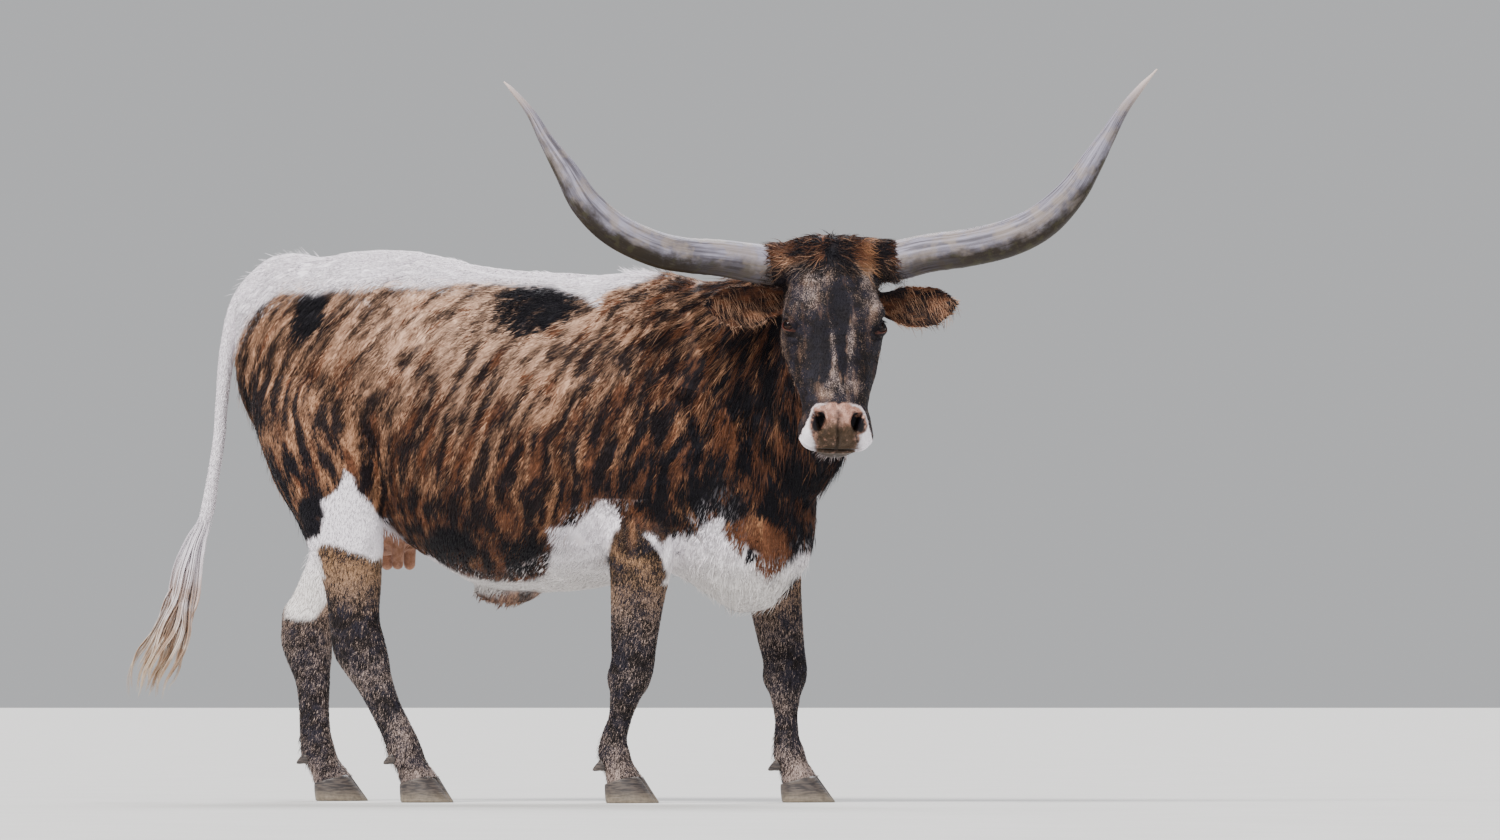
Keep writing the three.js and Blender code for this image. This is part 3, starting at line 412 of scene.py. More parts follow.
class Noise:
    """Smooth noise in space, the same in every run."""

    @staticmethod
    def _corner(cell: Array, seed: int) -> Array:
        """Gives a number from 0 to 1 for each whole cell.

        Args:
            cell: the cells' whole numbers.
            seed: the layer's own number.

        Returns:
            A number for each cell.
        """
        x, y, z = (cell[:, k].astype(np.uint64) for k in range(3))
        mix = x * np.uint64(73856093) ^ y * np.uint64(19349663) ^ z * np.uint64(83492791)
        mix = (mix + np.uint64(seed * 2654435761)) * np.uint64(0x9E3779B97F4A7C15)
        mix ^= mix >> np.uint64(29)
        mix *= np.uint64(0xBF58476D1CE4E5B9)
        return ((mix >> np.uint64(40)) & np.uint64(0xFFFF)).astype(float) / 65535.0

    @classmethod
    def plain(cls, points: Array, seed: int = 0) -> Array:
        """Gives one layer of noise from 0 to 1 with cells of size one.

        Args:
            points: where it is read.
            seed: the layer's own number.

        Returns:
            The noise at each point.
        """
        cell = np.floor(points)
        t = points - cell
        t = t * t * (3 - 2 * t)
        base = cell.astype(np.int64) + 100000
        total = np.zeros(len(points))
        for i in (0, 1):
            for j in (0, 1):
                for k in (0, 1):
                    weight = (
                        (t[:, 0] if i else 1 - t[:, 0])
                        * (t[:, 1] if j else 1 - t[:, 1])
                        * (t[:, 2] if k else 1 - t[:, 2])
                    )
                    total += weight * cls._corner(base + np.array([i, j, k]), seed)
        return total

    @classmethod
    def layered(cls, points: Array, size: float, seed: int = 0, layers: int = 3) -> Array:
        """Gives layered noise round zero.

        Args:
            points: the points.
            size: the largest layer's cell, in the points' own unit.
            seed: which noise.
            layers: how many layers, each half the size and strength of the last.

        Returns:
            Numbers of about minus one to one.
        """
        total = np.zeros(len(points))
        strength, whole = 1.0, 0.0
        for layer in range(layers):
            total += strength * (2 * cls.plain(points * 2**layer / size, seed + layer) - 1)
            whole += strength
            strength *= 0.5
        return total / whole * 1.4


# meshes, objects and node trees


def make_mesh(name: str, points: Array, faces: Sequence[Array]) -> Mesh:
    """Makes a mesh from arrays.

    Args:
        name: the mesh's name.
        points: its points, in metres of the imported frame.
        faces: arrays of faces, each array of one number of corners.

    Returns:
        The mesh, smoothly shaded.
    """
    mesh = bpy.data.meshes.new(name)
    mesh.vertices.add(len(points))
    mesh.vertices.foreach_set("co", np.asarray(points, np.float32).ravel())
    faces = [np.asarray(one, np.int32) for one in faces if len(one)]
    if faces:
        corners = np.concatenate([one.ravel() for one in faces])
        sizes = np.concatenate([np.full(len(one), one.shape[1], np.int32) for one in faces])
        mesh.loops.add(len(corners))
        mesh.loops.foreach_set("vertex_index", corners)
        mesh.polygons.add(len(sizes))
        mesh.polygons.foreach_set(
            "loop_start", np.concatenate([[0], np.cumsum(sizes)[:-1]]).astype(np.int32)
        )
        mesh.update(calc_edges=True)
        mesh.shade_smooth()
    return mesh


def link(name: str, mesh: Mesh) -> Thing:
    """Puts a mesh into the scene as an object.

    Args:
        name: the object's name.
        mesh: its mesh.

    Returns:
        The object.
    """
    made = bpy.data.objects.new(name, mesh)
    bpy.context.scene.collection.objects.link(made)
    return made


def metres(points: Array) -> Array:
    """Turns the maker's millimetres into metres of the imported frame."""
    return (np.asarray(points, float) + SHIFT) * MM


def store(mesh: Mesh, name: str, values: Array) -> None:
    """Keeps numbers or vectors on a mesh's points.

    Args:
        mesh: the mesh.
        name: the attribute's name.
        values: one number or one vector for each point.
    """
    values = np.asarray(values, np.float32)
    kind, key = ("FLOAT", "value") if values.ndim == 1 else ("FLOAT_VECTOR", "vector")
    made = mesh.attributes.new(name, kind, "POINT")
    made.data.foreach_set(key, values.ravel())


def arrays_of(mesh: Mesh) -> tuple[Array, Array]:
    """Reads a mesh's points and triangles.

    Args:
        mesh: the mesh.

    Returns:
        The points and the triangles.
    """
    points = np.empty(len(mesh.vertices) * 3, np.float32)
    mesh.vertices.foreach_get("co", points)
    mesh.calc_loop_triangles()
    triangles = np.empty(len(mesh.loop_triangles) * 3, np.int32)
    mesh.loop_triangles.foreach_get("vertices", triangles)
    return points.reshape(-1, 3).astype(float), triangles.reshape(-1, 3).astype(np.int64)


def evaluated(thing: Thing) -> Mesh:
    """Gives the plain mesh that an object's modifiers make, and takes the modifiers off.

    Args:
        thing: the object.

    Returns:
        The plain mesh.
    """
    graph = bpy.context.evaluated_depsgraph_get()
    graph.update()
    mesh = bpy.data.meshes.new_from_object(
        thing.evaluated_get(graph), preserve_all_data_layers=True, depsgraph=graph
    )
    thing.modifiers.clear()
    return mesh


def remove(thing: Thing) -> None:
    """Takes a helper object and its mesh away.

    Args:
        thing: the helper.
    """
    mesh = thing.data
    bpy.data.objects.remove(thing)
    if mesh is not None and mesh.users == 0:
        bpy.data.meshes.remove(mesh)


class Nodes:
    """A node tree that is built up from short calls."""

    def __init__(self, tree: bpy.types.NodeTree) -> None:
        """Takes the tree that is built in."""
        self.tree = tree

    def node(self, kind: str, inputs: Inputs | None = None, **settings: object) -> bpy.types.Node:
        """Adds a node.

        Args:
            kind: the node's type.
            inputs: values or sockets for its inputs, by name or number.
            settings: the node's own settings.

        Returns:
            The node.
        """
        made = self.tree.nodes.new(kind)
        for name, value in settings.items():
            setattr(made, name, value)
        for key, value in (inputs or {}).items():
            if isinstance(value, Socket):
                self.tree.links.new(value, made.inputs[key])
            else:
                made.inputs[key].default_value = value
        return made

    def maths(self, operation: str, *values: object) -> Socket:
        """Adds a calculation with numbers."""
        return self.node("ShaderNodeMath", dict(enumerate(values)), operation=operation).outputs[0]

    def times(self, first: object, second: object) -> Socket:
        """Multiplies two numbers."""
        return self.maths("MULTIPLY", first, second)

    def plus(self, first: object, second: object) -> Socket:
        """Adds two numbers."""
        return self.maths("ADD", first, second)

    def minus(self, first: object, second: object) -> Socket:
        """Takes the second number from the first."""
        return self.maths("SUBTRACT", first, second)

    def line(self, value: object, slope: object, start: object) -> Socket:
        """Gives the value times the slope, plus the start."""
        return self.maths("MULTIPLY_ADD", value, slope, start)

    def vector(self, operation: str, inputs: Inputs) -> Socket:
        """Adds a calculation with vectors."""
        return self.node("ShaderNodeVectorMath", inputs, operation=operation).outputs[0]

    def stretched(self, where: Socket, factors: Row) -> Socket:
        """Multiplies a vector's numbers by three factors."""
        return self.vector("MULTIPLY", {0: where, 1: factors})

    def parts(self, vector: Socket) -> tuple[Socket, ...]:
        """Splits a vector into its three numbers."""
        return tuple(self.node("ShaderNodeSeparateXYZ", {0: vector}).outputs)

    def step(self, value: object, low: object, high: object) -> Socket:
        """Rises softly from zero to one between two numbers."""
        inputs = {"Value": value, "From Min": low, "From Max": high}
        return self.node("ShaderNodeMapRange", inputs, interpolation_type="SMOOTHSTEP").outputs["Result"]

    def mix(self, share: object, first: object, second: object) -> Socket:
        """Mixes two colours, all of the second where the share is one."""
        inputs = {0: share, 6: first, 7: second}
        return self.node("ShaderNodeMix", inputs, data_type="RGBA").outputs[2]

    def noise(self, where: Socket, scale: object, detail: float, rough: float = 0.5) -> Socket:
        """Adds a soft noise from zero to one."""
        inputs = {"Vector": where, "Scale": scale, "Detail": detail, "Roughness": rough}
        return self.node("ShaderNodeTexNoise", inputs).outputs["Fac"]

    def attribute(self, name: str, output: str = "Vector") -> Socket:
        """Reads one of the mesh's own attributes in a material."""
        return self.node("ShaderNodeAttribute", attribute_name=name).outputs[output]

    def place(self) -> Socket:
        """Gives the place on the object."""
        return self.node("ShaderNodeTexCoord").outputs["Object"]


class Tree(Nodes):
    """A node group with named inputs and outputs."""

    SOCKETS = {
        "geometry": "NodeSocketGeometry",
        "float": "NodeSocketFloat",
        "int": "NodeSocketInt",
        "vector": "NodeSocketVector",
        "colour": "NodeSocketColor",
        "object": "NodeSocketObject",
        "material": "NodeSocketMaterial",
    }

    def __init__(self, name: str, kind: str) -> None:
        """Starts an empty tree.

        Args:
            name: the tree's name.
            kind: GeometryNodeTree or ShaderNodeTree.
        """
        super().__init__(bpy.data.node_groups.new(name, kind))
        self.entry = self.tree.nodes.new("NodeGroupInput")
        self.leave = self.tree.nodes.new("NodeGroupOutput")

    def takes(self, name: str, kind: str, start: object = None) -> None:
        """Adds a named input.

        Args:
            name: its name.
            kind: one of the names in SOCKETS.
            start: the value that it starts from.
        """
        socket = self.tree.interface.new_socket(name=name, in_out="INPUT", socket_type=self.SOCKETS[kind])
        if start is not None:
            socket.default_value = start

    def gives(self, name: str, kind: str) -> None:
        """Adds a named output."""
        self.tree.interface.new_socket(name=name, in_out="OUTPUT", socket_type=self.SOCKETS[kind])

    def ends(self, **sockets: Socket) -> None:
        """Joins results to the outputs of the same names."""
        for name, socket in sockets.items():
            self.tree.links.new(socket, self.leave.inputs[name])


class ShapeTree(Tree):
    """A geometry tree that ends in real faces with a material."""

    def __init__(self, name: str, takes: dict[str, tuple[object, ...]]) -> None:
        """Starts a tree that gives geometry.

        Args:
            name: the tree's name.
            takes: the kind and the start of each input, by name.
        """
        super().__init__(name, "GeometryNodeTree")
        for label, how in takes.items():
            self.takes(label, *how)
        self.takes("Finish", "material")
        self.gives("Geometry", "geometry")
        self.given = self.entry.outputs

    def named(self, name: str, kind: str = "FLOAT_VECTOR") -> Socket:
        """Reads an attribute of the geometry."""
        return self.node("GeometryNodeInputNamedAttribute", {"Name": name}, data_type=kind).outputs[0]

    def keeping(self, shape: Socket, name: str, value: Socket, kind: str, domain: str = "POINT") -> Socket:
        """Stores a value on the geometry."""
        inputs = {"Geometry": shape, "Name": name, "Value": value}
        return self.node("GeometryNodeStoreNamedAttribute", inputs, data_type=kind, domain=domain).outputs[0]

    def swept(self, curve: Socket, ring: Socket, girth: str) -> Socket:
        """Sweeps a ring, which keeps its turn from zero to one, along a curve.

        Args:
            curve: the curve to follow.
            ring: the ring's curve.
            girth: the attribute that scales the ring.

        Returns:
            The closed surface.
        """
        turn = self.node("GeometryNodeSplineParameter").outputs["Factor"]
        profile = self.keeping(ring, "turn", turn, "FLOAT")
        scale = self.named(girth, "FLOAT")
        inputs = {"Curve": curve, "Profile Curve": profile, "Scale": scale, "Fill Caps": True}
        return self.node("GeometryNodeCurveToMesh", inputs).outputs[0]

    def mapped(self, shape: Socket, local: Socket) -> Socket:
        """Lays each tuft or lock into a small patch of the bake's own map, at its root's place.

        Args:
            shape: the geometry.
            local: the place within the tuft or lock.

        Returns:
            The geometry with its map.
        """
        local = self.vector("SCALE", {0: local, 3: self.given["Patch size"]})
        spot = self.vector("ADD", {0: self.named("place"), 1: local})
        return self.keeping(shape, "OFBake", spot, "FLOAT2", "CORNER")

    def without(self, shape: Socket, *names: str) -> Socket:
        """Drops attributes that the finished piece has no use for.

        Args:
            shape: the geometry.
            names: the attributes' names.

        Returns:
            The geometry without them.
        """
        for name in names:
            shape = self.node("GeometryNodeRemoveAttribute", {"Geometry": shape, "Name": name}).outputs[0]
        return shape

    def real(self, shape: Socket) -> Socket:
        """Turns instances into faces of their own."""
        return self.node("GeometryNodeRealizeInstances", {"Geometry": shape}).outputs[0]

    def closes(self, shape: Socket) -> None:
        """Gives the geometry its material and ends the tree."""
        inputs = {"Geometry": shape, "Material": self.given["Finish"]}
        self.ends(Geometry=self.node("GeometryNodeSetMaterial", inputs).outputs[0])


class Paint(Nodes):
    """A material that is built up under its Principled shader."""

    def __init__(self, name: str, **fixed: float) -> None:
        """Starts a material.

        Args:
            name: its name.
            fixed: constant values of the shader, a low line standing for a space.
        """
        self.made = bpy.data.materials.new(name)
        self.made.use_nodes = True
        super().__init__(self.made.node_tree)
        self.shader = self.tree.nodes["Principled BSDF"]
        for socket, value in fixed.items():
            self.shader.inputs[socket.replace("_", " ")].default_value = value

    def done(self, colour: Socket, rough: Socket | float, height: Socket, bump: Row) -> Material:
        """Joins colour, roughness and bump to the shader.

        Args:
            colour: the colour.
            rough: the roughness, a socket or a constant.
            height: what the bump follows.
            bump: the bump's strength and its depth in metres.

        Returns:
            The material.
        """
        self.tree.links.new(colour, self.shader.inputs["Base Color"])
        if isinstance(rough, Socket):
            self.tree.links.new(rough, self.shader.inputs["Roughness"])
        else:
            self.shader.inputs["Roughness"].default_value = rough
        inputs = {"Strength": bump[0], "Distance": bump[1], "Height": height}
        self.tree.links.new(self.node("ShaderNodeBump", inputs).outputs[0], self.shader.inputs["Normal"])
        return self.made


def run_tree(thing: Thing, tree: bpy.types.NodeTree, values: Inputs) -> Mesh:
    """Runs a geometry tree on an object and gives the plain mesh.

    Args:
        thing: the object that carries the modifier.
        tree: the geometry tree.
        values: the modifier's inputs, by the sockets' names.

    Returns:
        The mesh that the tree made.
    """
    modifier = thing.modifiers.new(tree.name, "NODES")
    modifier.node_group = tree
    for item in tree.interface.items_tree:
        if item.item_type == "SOCKET" and item.in_out == "INPUT" and item.name in values:
            modifier[item.identifier] = values[item.name]
    return evaluated(thing)


# The forms under the skin, with the same sizes as the solids


class HeadFrame:
    """A frame of the head: out to her left, then two more directions, from the poll."""

    POLL = np.array([852.0, -190.0, 1346.0])
    YAW, PITCH, ROLL = -66.0, 22.0, 1.2

    def __init__(self, level: bool = False) -> None:
        """Sets the directions.

        Args:
            level: True for the horns' frame (left, backwards, up), False for the face's frame
                (left, up the face, out of the forehead).
        """
        yaw, pitch, roll = (math.radians(a) for a in (self.YAW, self.PITCH, -self.ROLL))
        heading = np.array([math.cos(yaw), math.sin(yaw), 0.0])
        left = np.array([-math.sin(yaw), math.cos(yaw), 0.0])
        left = left * math.cos(roll) + np.cross(heading, left) * math.sin(roll)
        rise = unit(np.cross(heading, left))
        face = rise * math.cos(pitch) - heading * math.sin(pitch)
        forehead = unit(np.cross(left, face))
        self.axes = np.array([left, -heading, rise] if level else [left, face, forehead])

    def out(self, points: Array) -> Array:
        """Moves points out of this frame."""
        return np.asarray(points, float) @ self.axes + self.POLL

    def into(self, points: Array) -> Array:
        """Moves points into this frame."""
        return (np.asarray(points, float) - self.POLL) @ self.axes.T

    def turn(self, ways: Array) -> Array:
        """Turns directions out of this frame."""
        return np.asarray(ways, float) @ self.axes

    def turn_into(self, ways: Array) -> Array:
        """Turns directions into this frame."""
        return np.asarray(ways, float) @ self.axes.T


FACE = HeadFrame()
LEVEL = HeadFrame(level=True)


@dataclass(frozen=True)
class TorsoForm:
    """The trunk: upright sections along the body."""

    rows: tuple[Row, ...] = (
        (-712, 1130, 1040, 30, 1085, 2, 2), (-700, 1192, 960, 92, 1082, 2, 2),
        (-655, 1268, 880, 142, 1085, 2, 2), (-590, 1328, 800, 176, 1090, 1.9, 2.1),
        (-505, 1318, 735, 204, 1095, 1.9, 2.2), (-400, 1330, 675, 228, 1090, 2, 2.2),
        (-300, 1330, 632, 246, 1050, 2, 2.1), (-200, 1314, 570, 274, 940, 1.95, 2.1),
        (-100, 1291, 520, 302, 880, 1.95, 2.1), (0, 1279, 503, 312, 860, 1.9, 2.1),
        (120, 1270, 503, 306, 850, 1.9, 2.05), (217, 1267, 514, 288, 850, 1.85, 2),
        (300, 1276, 532, 262, 850, 1.8, 2), (366, 1272, 545, 240, 850, 1.8, 2),
        (430, 1258, 522, 222, 850, 1.8, 2), (500, 1232, 476, 205, 840, 1.8, 1.9),
        (560, 1196, 450, 186, 820, 1.8, 1.9), (620, 1140, 458, 158, 790, 1.9, 1.9),
        (680, 1050, 508, 118, 760, 2, 1.9), (726, 900, 572, 70, 730, 2, 2),
        (745, 790, 640, 24, 715, 2, 2),
    )
    swells: tuple[Swell, ...] = (
        Swell("right hip bone", (-335, -212, 1240), (60, 70, 55), 34),
        Swell("left hip bone", (-335, 212, 1240), (60, 70, 55), 34),
        Swell("right pin bone", (-680, -92, 1190), (45, 45, 40), 18),
        Swell("left pin bone", (-680, 92, 1190), (45, 45, 40), 18),
        Swell("right hollow flank", (-215, -260, 1120), (90, 90, 110), -22),
        Swell("left hollow flank", (-215, 260, 1120), (90, 90, 110), -22),
        Swell("right shoulder blade", (365, -200, 1010), (120, 120, 190), 26),
        Swell("left shoulder blade", (430, 200, 1010), (120, 120, 190), 26),
        Swell("right upper arm", (420, -215, 760), (110, 100, 110), 30),
        Swell("left upper arm", (540, 190, 760), (110, 100, 110), 34),
        Swell("right shoulder point", (575, -170, 850), (60, 80, 80), 22),
        Swell("left shoulder point", (640, 150, 850), (60, 80, 80), 26),
        Swell("right hollow behind the elbow", (235, -230, 640), (70, 90, 90), -16),
        Swell("left hollow behind the elbow", (300, 230, 640), (70, 90, 90), -16),
    )
    steps: int = 150
    sides: int = 110

    def shell(self) -> Shell:
        """Lofts the trunk."""
        start, end = self.rows[0][0], self.rows[-1][0]
        share = np.linspace(0, 1, self.steps)
        share = 0.4 * share + 0.6 * (0.5 - 0.5 * np.cos(np.pi * share))
        x = start + (end - start) * share
        top, bottom, half, wide, square_up, square_down = through(self.rows, x).T
        centre = np.stack([x, 0 * x, wide], axis=1)
        reach = np.stack([top - wide, wide - bottom, half, square_up, square_down], axis=1)
        side = np.tile([0.0, 1.0, 0.0], (len(x), 1))
        rings = rings_of(centre, side, np.tile(UP, (len(x), 1)), reach, self.sides)
        return Shell.over(rings).swelled(self.swells)


@dataclass(frozen=True)
class LimbForm:
    """A leg or the tail: rings square to a smooth path, their front turned forwards."""

    path: tuple[Row, ...]
    rows: tuple[Row, ...]
    steps: int = 110
    sides: int = 48

    def shell(self) -> Shell:
        """Lofts the limb."""
        route = Route(self.path)
        share = np.linspace(0, 1, self.steps)
        way = route.way(share)
        front = unit(np.cross(np.array([0.0, -1.0, 0.0]), way))
        side = unit(np.cross(front, way))
        return Shell.over(
            rings_of(route.at(share), side, front, through(self.rows, share * 100), self.sides)
        )


FORELEG_ROWS: tuple[Row, ...] = (
    (0, 92, 96, 52, 2, 2), (18, 92, 92, 62, 2, 2), (32, 84, 82, 60, 2, 2), (46, 70, 66, 50, 2, 2),
    (58, 59, 57, 43, 2.1, 2.1), (64, 54, 50, 42, 2.3, 2.3), (68.5, 52, 50, 44, 2.4, 2.4),
    (73.5, 38, 38, 34, 2.3, 2.3), (80, 30, 30, 26, 2.1, 2.1), (85.5, 32, 36, 29, 2.1, 2.1),
    (89, 36, 44, 36, 2.1, 2.2), (93, 34, 38, 38, 2.2, 2.2), (97, 40, 44, 47, 2.3, 2.3),
    (100, 44, 44, 48, 2.3, 2.3),
)
HINDLEG_ROWS: tuple[Row, ...] = (
    (0, 150, 150, 60, 2, 2), (12, 160, 172, 92, 2, 2), (24, 150, 148, 96, 2, 2),
    (35, 120, 112, 82, 2, 2), (44, 96, 92, 66, 2, 2), (53, 70, 76, 52, 2, 1.9),
    (61, 60, 70, 44, 2.1, 1.7), (66, 62, 74, 45, 2.2, 1.7), (70, 58, 62, 44, 2.2, 1.9),
    (75, 46, 46, 34, 2.2, 2.2), (82, 40, 40, 29, 2.1, 2.1), (87, 40, 42, 32, 2.1, 2.1),
    (90.5, 40, 48, 38, 2.1, 2.2), (94, 36, 40, 39, 2.2, 2.2), (97.5, 42, 46, 48, 2.3, 2.3),
    (100, 46, 46, 49, 2.3, 2.3),
)


@dataclass(frozen=True)
class LegPlan:
    """Where one leg runs, and how its hoof stands."""

    name: str
    region: Region
    path: tuple[Row, ...]
    rows: tuple[Row, ...]
    toe: float

    @property
    def foot(self) -> Array:
        """The middle of the hoof on the floor."""
        return np.array([self.path[-1][0] - 6, self.path[-1][1], 0.0])

    @property
    def side(self) -> int:
        """Minus one for a right leg, one for a left one."""
        return -1 if self.name.endswith("right") else 1

    def coronet(self) -> tuple[Array, Array]:
        """Gives a point and the normal of the plane where hair meets hoof."""
        slope, toe = math.radians(Hoof.SLOPE), math.radians(self.toe)
        tilt = np.array(
            [-math.sin(slope) * math.cos(toe), -math.sin(slope) * math.sin(toe), math.cos(slope)]
        )
        return self.foot + np.array([0, 0, Hoof.CORONET]), tilt


LEGS: tuple[LegPlan, ...] = (
    LegPlan(
        "fore_right",
        Region.FORE_RIGHT,
        (
            (420, -150, 880), (374, -160, 705), (352, -158, 520), (332, -152, 325), (304, -146, 205),
            (288, -143, 138), (322, -142, 30),
        ),
        FORELEG_ROWS,
        -6,
    ),
    LegPlan(
        "fore_left",
        Region.FORE_LEFT,
        (
            (590, 140, 880), (556, 152, 705), (586, 154, 520), (617, 150, 325), (624, 146, 205),
            (630, 144, 138), (668, 143, 30),
        ),
        FORELEG_ROWS,
        5,
    ),
    LegPlan(
        "hind_right",
        Region.HIND_RIGHT,
        (
            (-490, -110, 1090), (-456, -150, 880), (-400, -168, 690), (-366, -166, 540),
            (-352, -162, 395), (-296, -160, 250), (-240, -158, 140), (-190, -157, 30),
        ),
        HINDLEG_ROWS,
        -8,
    ),
    LegPlan(
        "hind_left",
        Region.HIND_LEFT,
        (
            (-490, 110, 1090), (-480, 150, 880), (-462, 168, 690), (-530, 166, 560), (-598, 162, 425),
            (-588, 160, 280), (-576, 158, 140), (-526, 157, 30),
        ),
        HINDLEG_ROWS,
        8,
    ),
)

TAIL = LimbForm(
    path=(
        (-548, 0, 1258), (-606, 0, 1293), (-664, -2, 1266), (-716, -4, 1208), (-746, -6, 1104),
        (-762, -8, 971), (-768, -11, 880), (-784, -14, 777), (-797, -17, 700), (-822, -19, 635),
    ),
    rows=(
        (0, 30, 34, 34, 2, 2), (10, 28, 32, 34, 2, 2), (22, 27, 27, 30, 2, 2), (45, 22, 22, 22, 2, 2),
        (62, 18, 18, 19, 2, 2), (80, 18, 18, 18, 2, 2), (90, 20, 20, 20, 2, 2), (100, 12, 12, 12, 2, 2),
    ),
    steps=90,
    sides=28,
)


@dataclass(frozen=True)
class NeckForm:
    """The neck, from inside the chest up to the back of the head."""

    path: tuple[Row, ...] = (
        (380, 0, 930), (530, -4, 965), (660, -28, 1015), (765, -82, 1075), (822, -150, 1135),
    )
    rows: tuple[Row, ...] = (
        (0, 285, 330, 175, 1.9, 1.9), (30, 285, 330, 165, 1.9, 1.8), (55, 262, 305, 146, 1.9, 1.7),
        (78, 225, 250, 122, 2, 1.8), (100, 170, 170, 104, 2, 2),
    )
    steps: int = 90
    sides: int = 90

    def shell(self) -> Shell:
        """Lofts the neck."""
        route = Route(self.path)
        share = np.linspace(0, 1, self.steps)
        way = route.way(share)
        side = unit(np.cross(UP, way))
        top = unit(np.cross(way, side))
        return Shell.over(rings_of(route.at(share), side, top, through(self.rows, share * 100), self.sides))


@dataclass(frozen=True)
class EyeSetting:
    """Where an eye sits in the face, and how its lids open."""

    side: Side
    radius: float = 20.0
    long: float = 18.5  # half of the opening along the face
    high: float = 10.4  # and across it
    tilt: float = 40.0  # the upper lid is turned up by so many degrees

    @property
    def centre(self) -> Array:
        """The eyeball's middle, in the face's frame."""
        return np.array([self.side.sign * 102.5, -223.0, -46.0])

    def axes(self) -> Array:
        """Gives the gaze, the opening's long direction and the way to the upper lid."""
        gaze = unit(np.array([self.side.sign * 0.80, 0.02, 0.60]))
        long = np.array([0.0, 1.0, 0.0])
        upper = self.side.sign * unit(np.cross(gaze, long))
        long = unit(np.cross(upper, gaze)) * self.side.sign
        tilt = math.radians(self.tilt)
        return np.array(
            [
                gaze, long * math.cos(tilt) - upper * math.sin(tilt),
                upper * math.cos(tilt) + long * math.sin(tilt),
            ]
        )


@dataclass(frozen=True)
class HeadForm:
    """The skull and the hairy collars round the horns' bases."""

    rows: tuple[Row, ...] = (
        (-8, 62, -40, -92, -62, 2.2, 2), (-2, 102, -20, -140, -70, 2.4, 2),
        (16, 126, 0, -185, -76, 2.6, 2), (60, 126, 8, -222, -80, 2.5, 2.1),
        (110, 116, 8, -244, -76, 2.5, 2.1), (160, 116, 6, -256, -70, 2.6, 2),
        (212, 119, 4, -256, -66, 2.7, 2), (252, 110, 0, -246, -70, 2.6, 2),
        (290, 101, -3, -228, -74, 2.5, 2), (340, 92, -6, -202, -74, 2.4, 2.1),
        (390, 81, -8, -178, -72, 2.4, 2.2), (422, 76, -8, -165, -72, 2.4, 2.3),
        (452, 82, -8, -154, -72, 2.5, 2.3), (480, 86, -14, -148, -76, 2.5, 2.4),
        (504, 80, -28, -142, -84, 2.4, 2.4), (520, 62, -52, -132, -92, 2.3, 2.2),
        (530, 28, -80, -114, -98, 2, 2),
    )
    swells: tuple[Swell, ...] = (
        Swell("brow", (102, -188, -18), (34, 34, 30), 12),
        Swell("temple hollow", (112, -112, -60), (40, 46, 46), -9),
        Swell("cheek", (104, -246, -160), (50, 70, 66), 9),
        Swell("hollow under the eye", (84, -300, -40), (36, 52, 40), -9),
        Swell("cheek bone", (96, -280, -92), (34, 60, 22), 6),
        Swell("nostril wing", (56, -462, -30), (22, 26, 26), 7),
        Swell("upper lip", (66, -498, -72), (34, 30, 24), 5),
        Swell("hollow under the jaw", (34, -300, -230), (40, 90, 50), -10),
        Swell("side of the chin", (70, -500, -130), (30, 40, 26), -11),
        Swell("side of the nose", (92, -400, -60), (40, 50, 50), 3),
    )
    steps: int = 120
    sides: int = 96

    def shell(self) -> Shell:
        """Lofts the skull."""
        share = np.linspace(0, 1, self.steps)
        share = 0.5 * share + 0.5 * (0.5 - 0.5 * np.cos(np.pi * share))
        down = self.rows[0][0] + (self.rows[-1][0] - self.rows[0][0]) * share
        half, front, back, wide, square_up, square_down = through(self.rows, down).T
        centre = np.stack([0 * down, -down, wide], axis=1)
        reach = np.stack([front - wide, wide - back, half, square_up, square_down], axis=1)
        side = np.tile([1.0, 0.0, 0.0], (len(down), 1))
        rings = rings_of(centre, side, np.tile(UP, (len(down), 1)), reach, self.sides)
        return Shell.over(rings).swelled(both(self.swells)).placed(FACE)

    def collar(self, side: Side) -> Shell:
        """Lofts the collar round one horn's base.

        Args:
            side: her right or left.

        Returns:
            The closed surface.
        """
        share = np.linspace(0, 1, 12)
        drop = 74.0 if side is Side.RIGHT else 60.0
        radius = 57.0 - 7.5 * share - 3 * np.maximum(share - 0.85, 0) / 0.15
        centre = np.stack([side.sign * (70 + 88 * share), 50 + 0 * share, -drop + 0 * share], axis=1)
        reach = np.stack([radius, radius, radius, 2 + 0 * share, 2 + 0 * share], axis=1)
        across = np.tile([0.0, 1.0, 0.0], (12, 1))
        return Shell.over(rings_of(centre, across, np.tile(UP, (12, 1)), reach, 40)).placed(LEVEL)


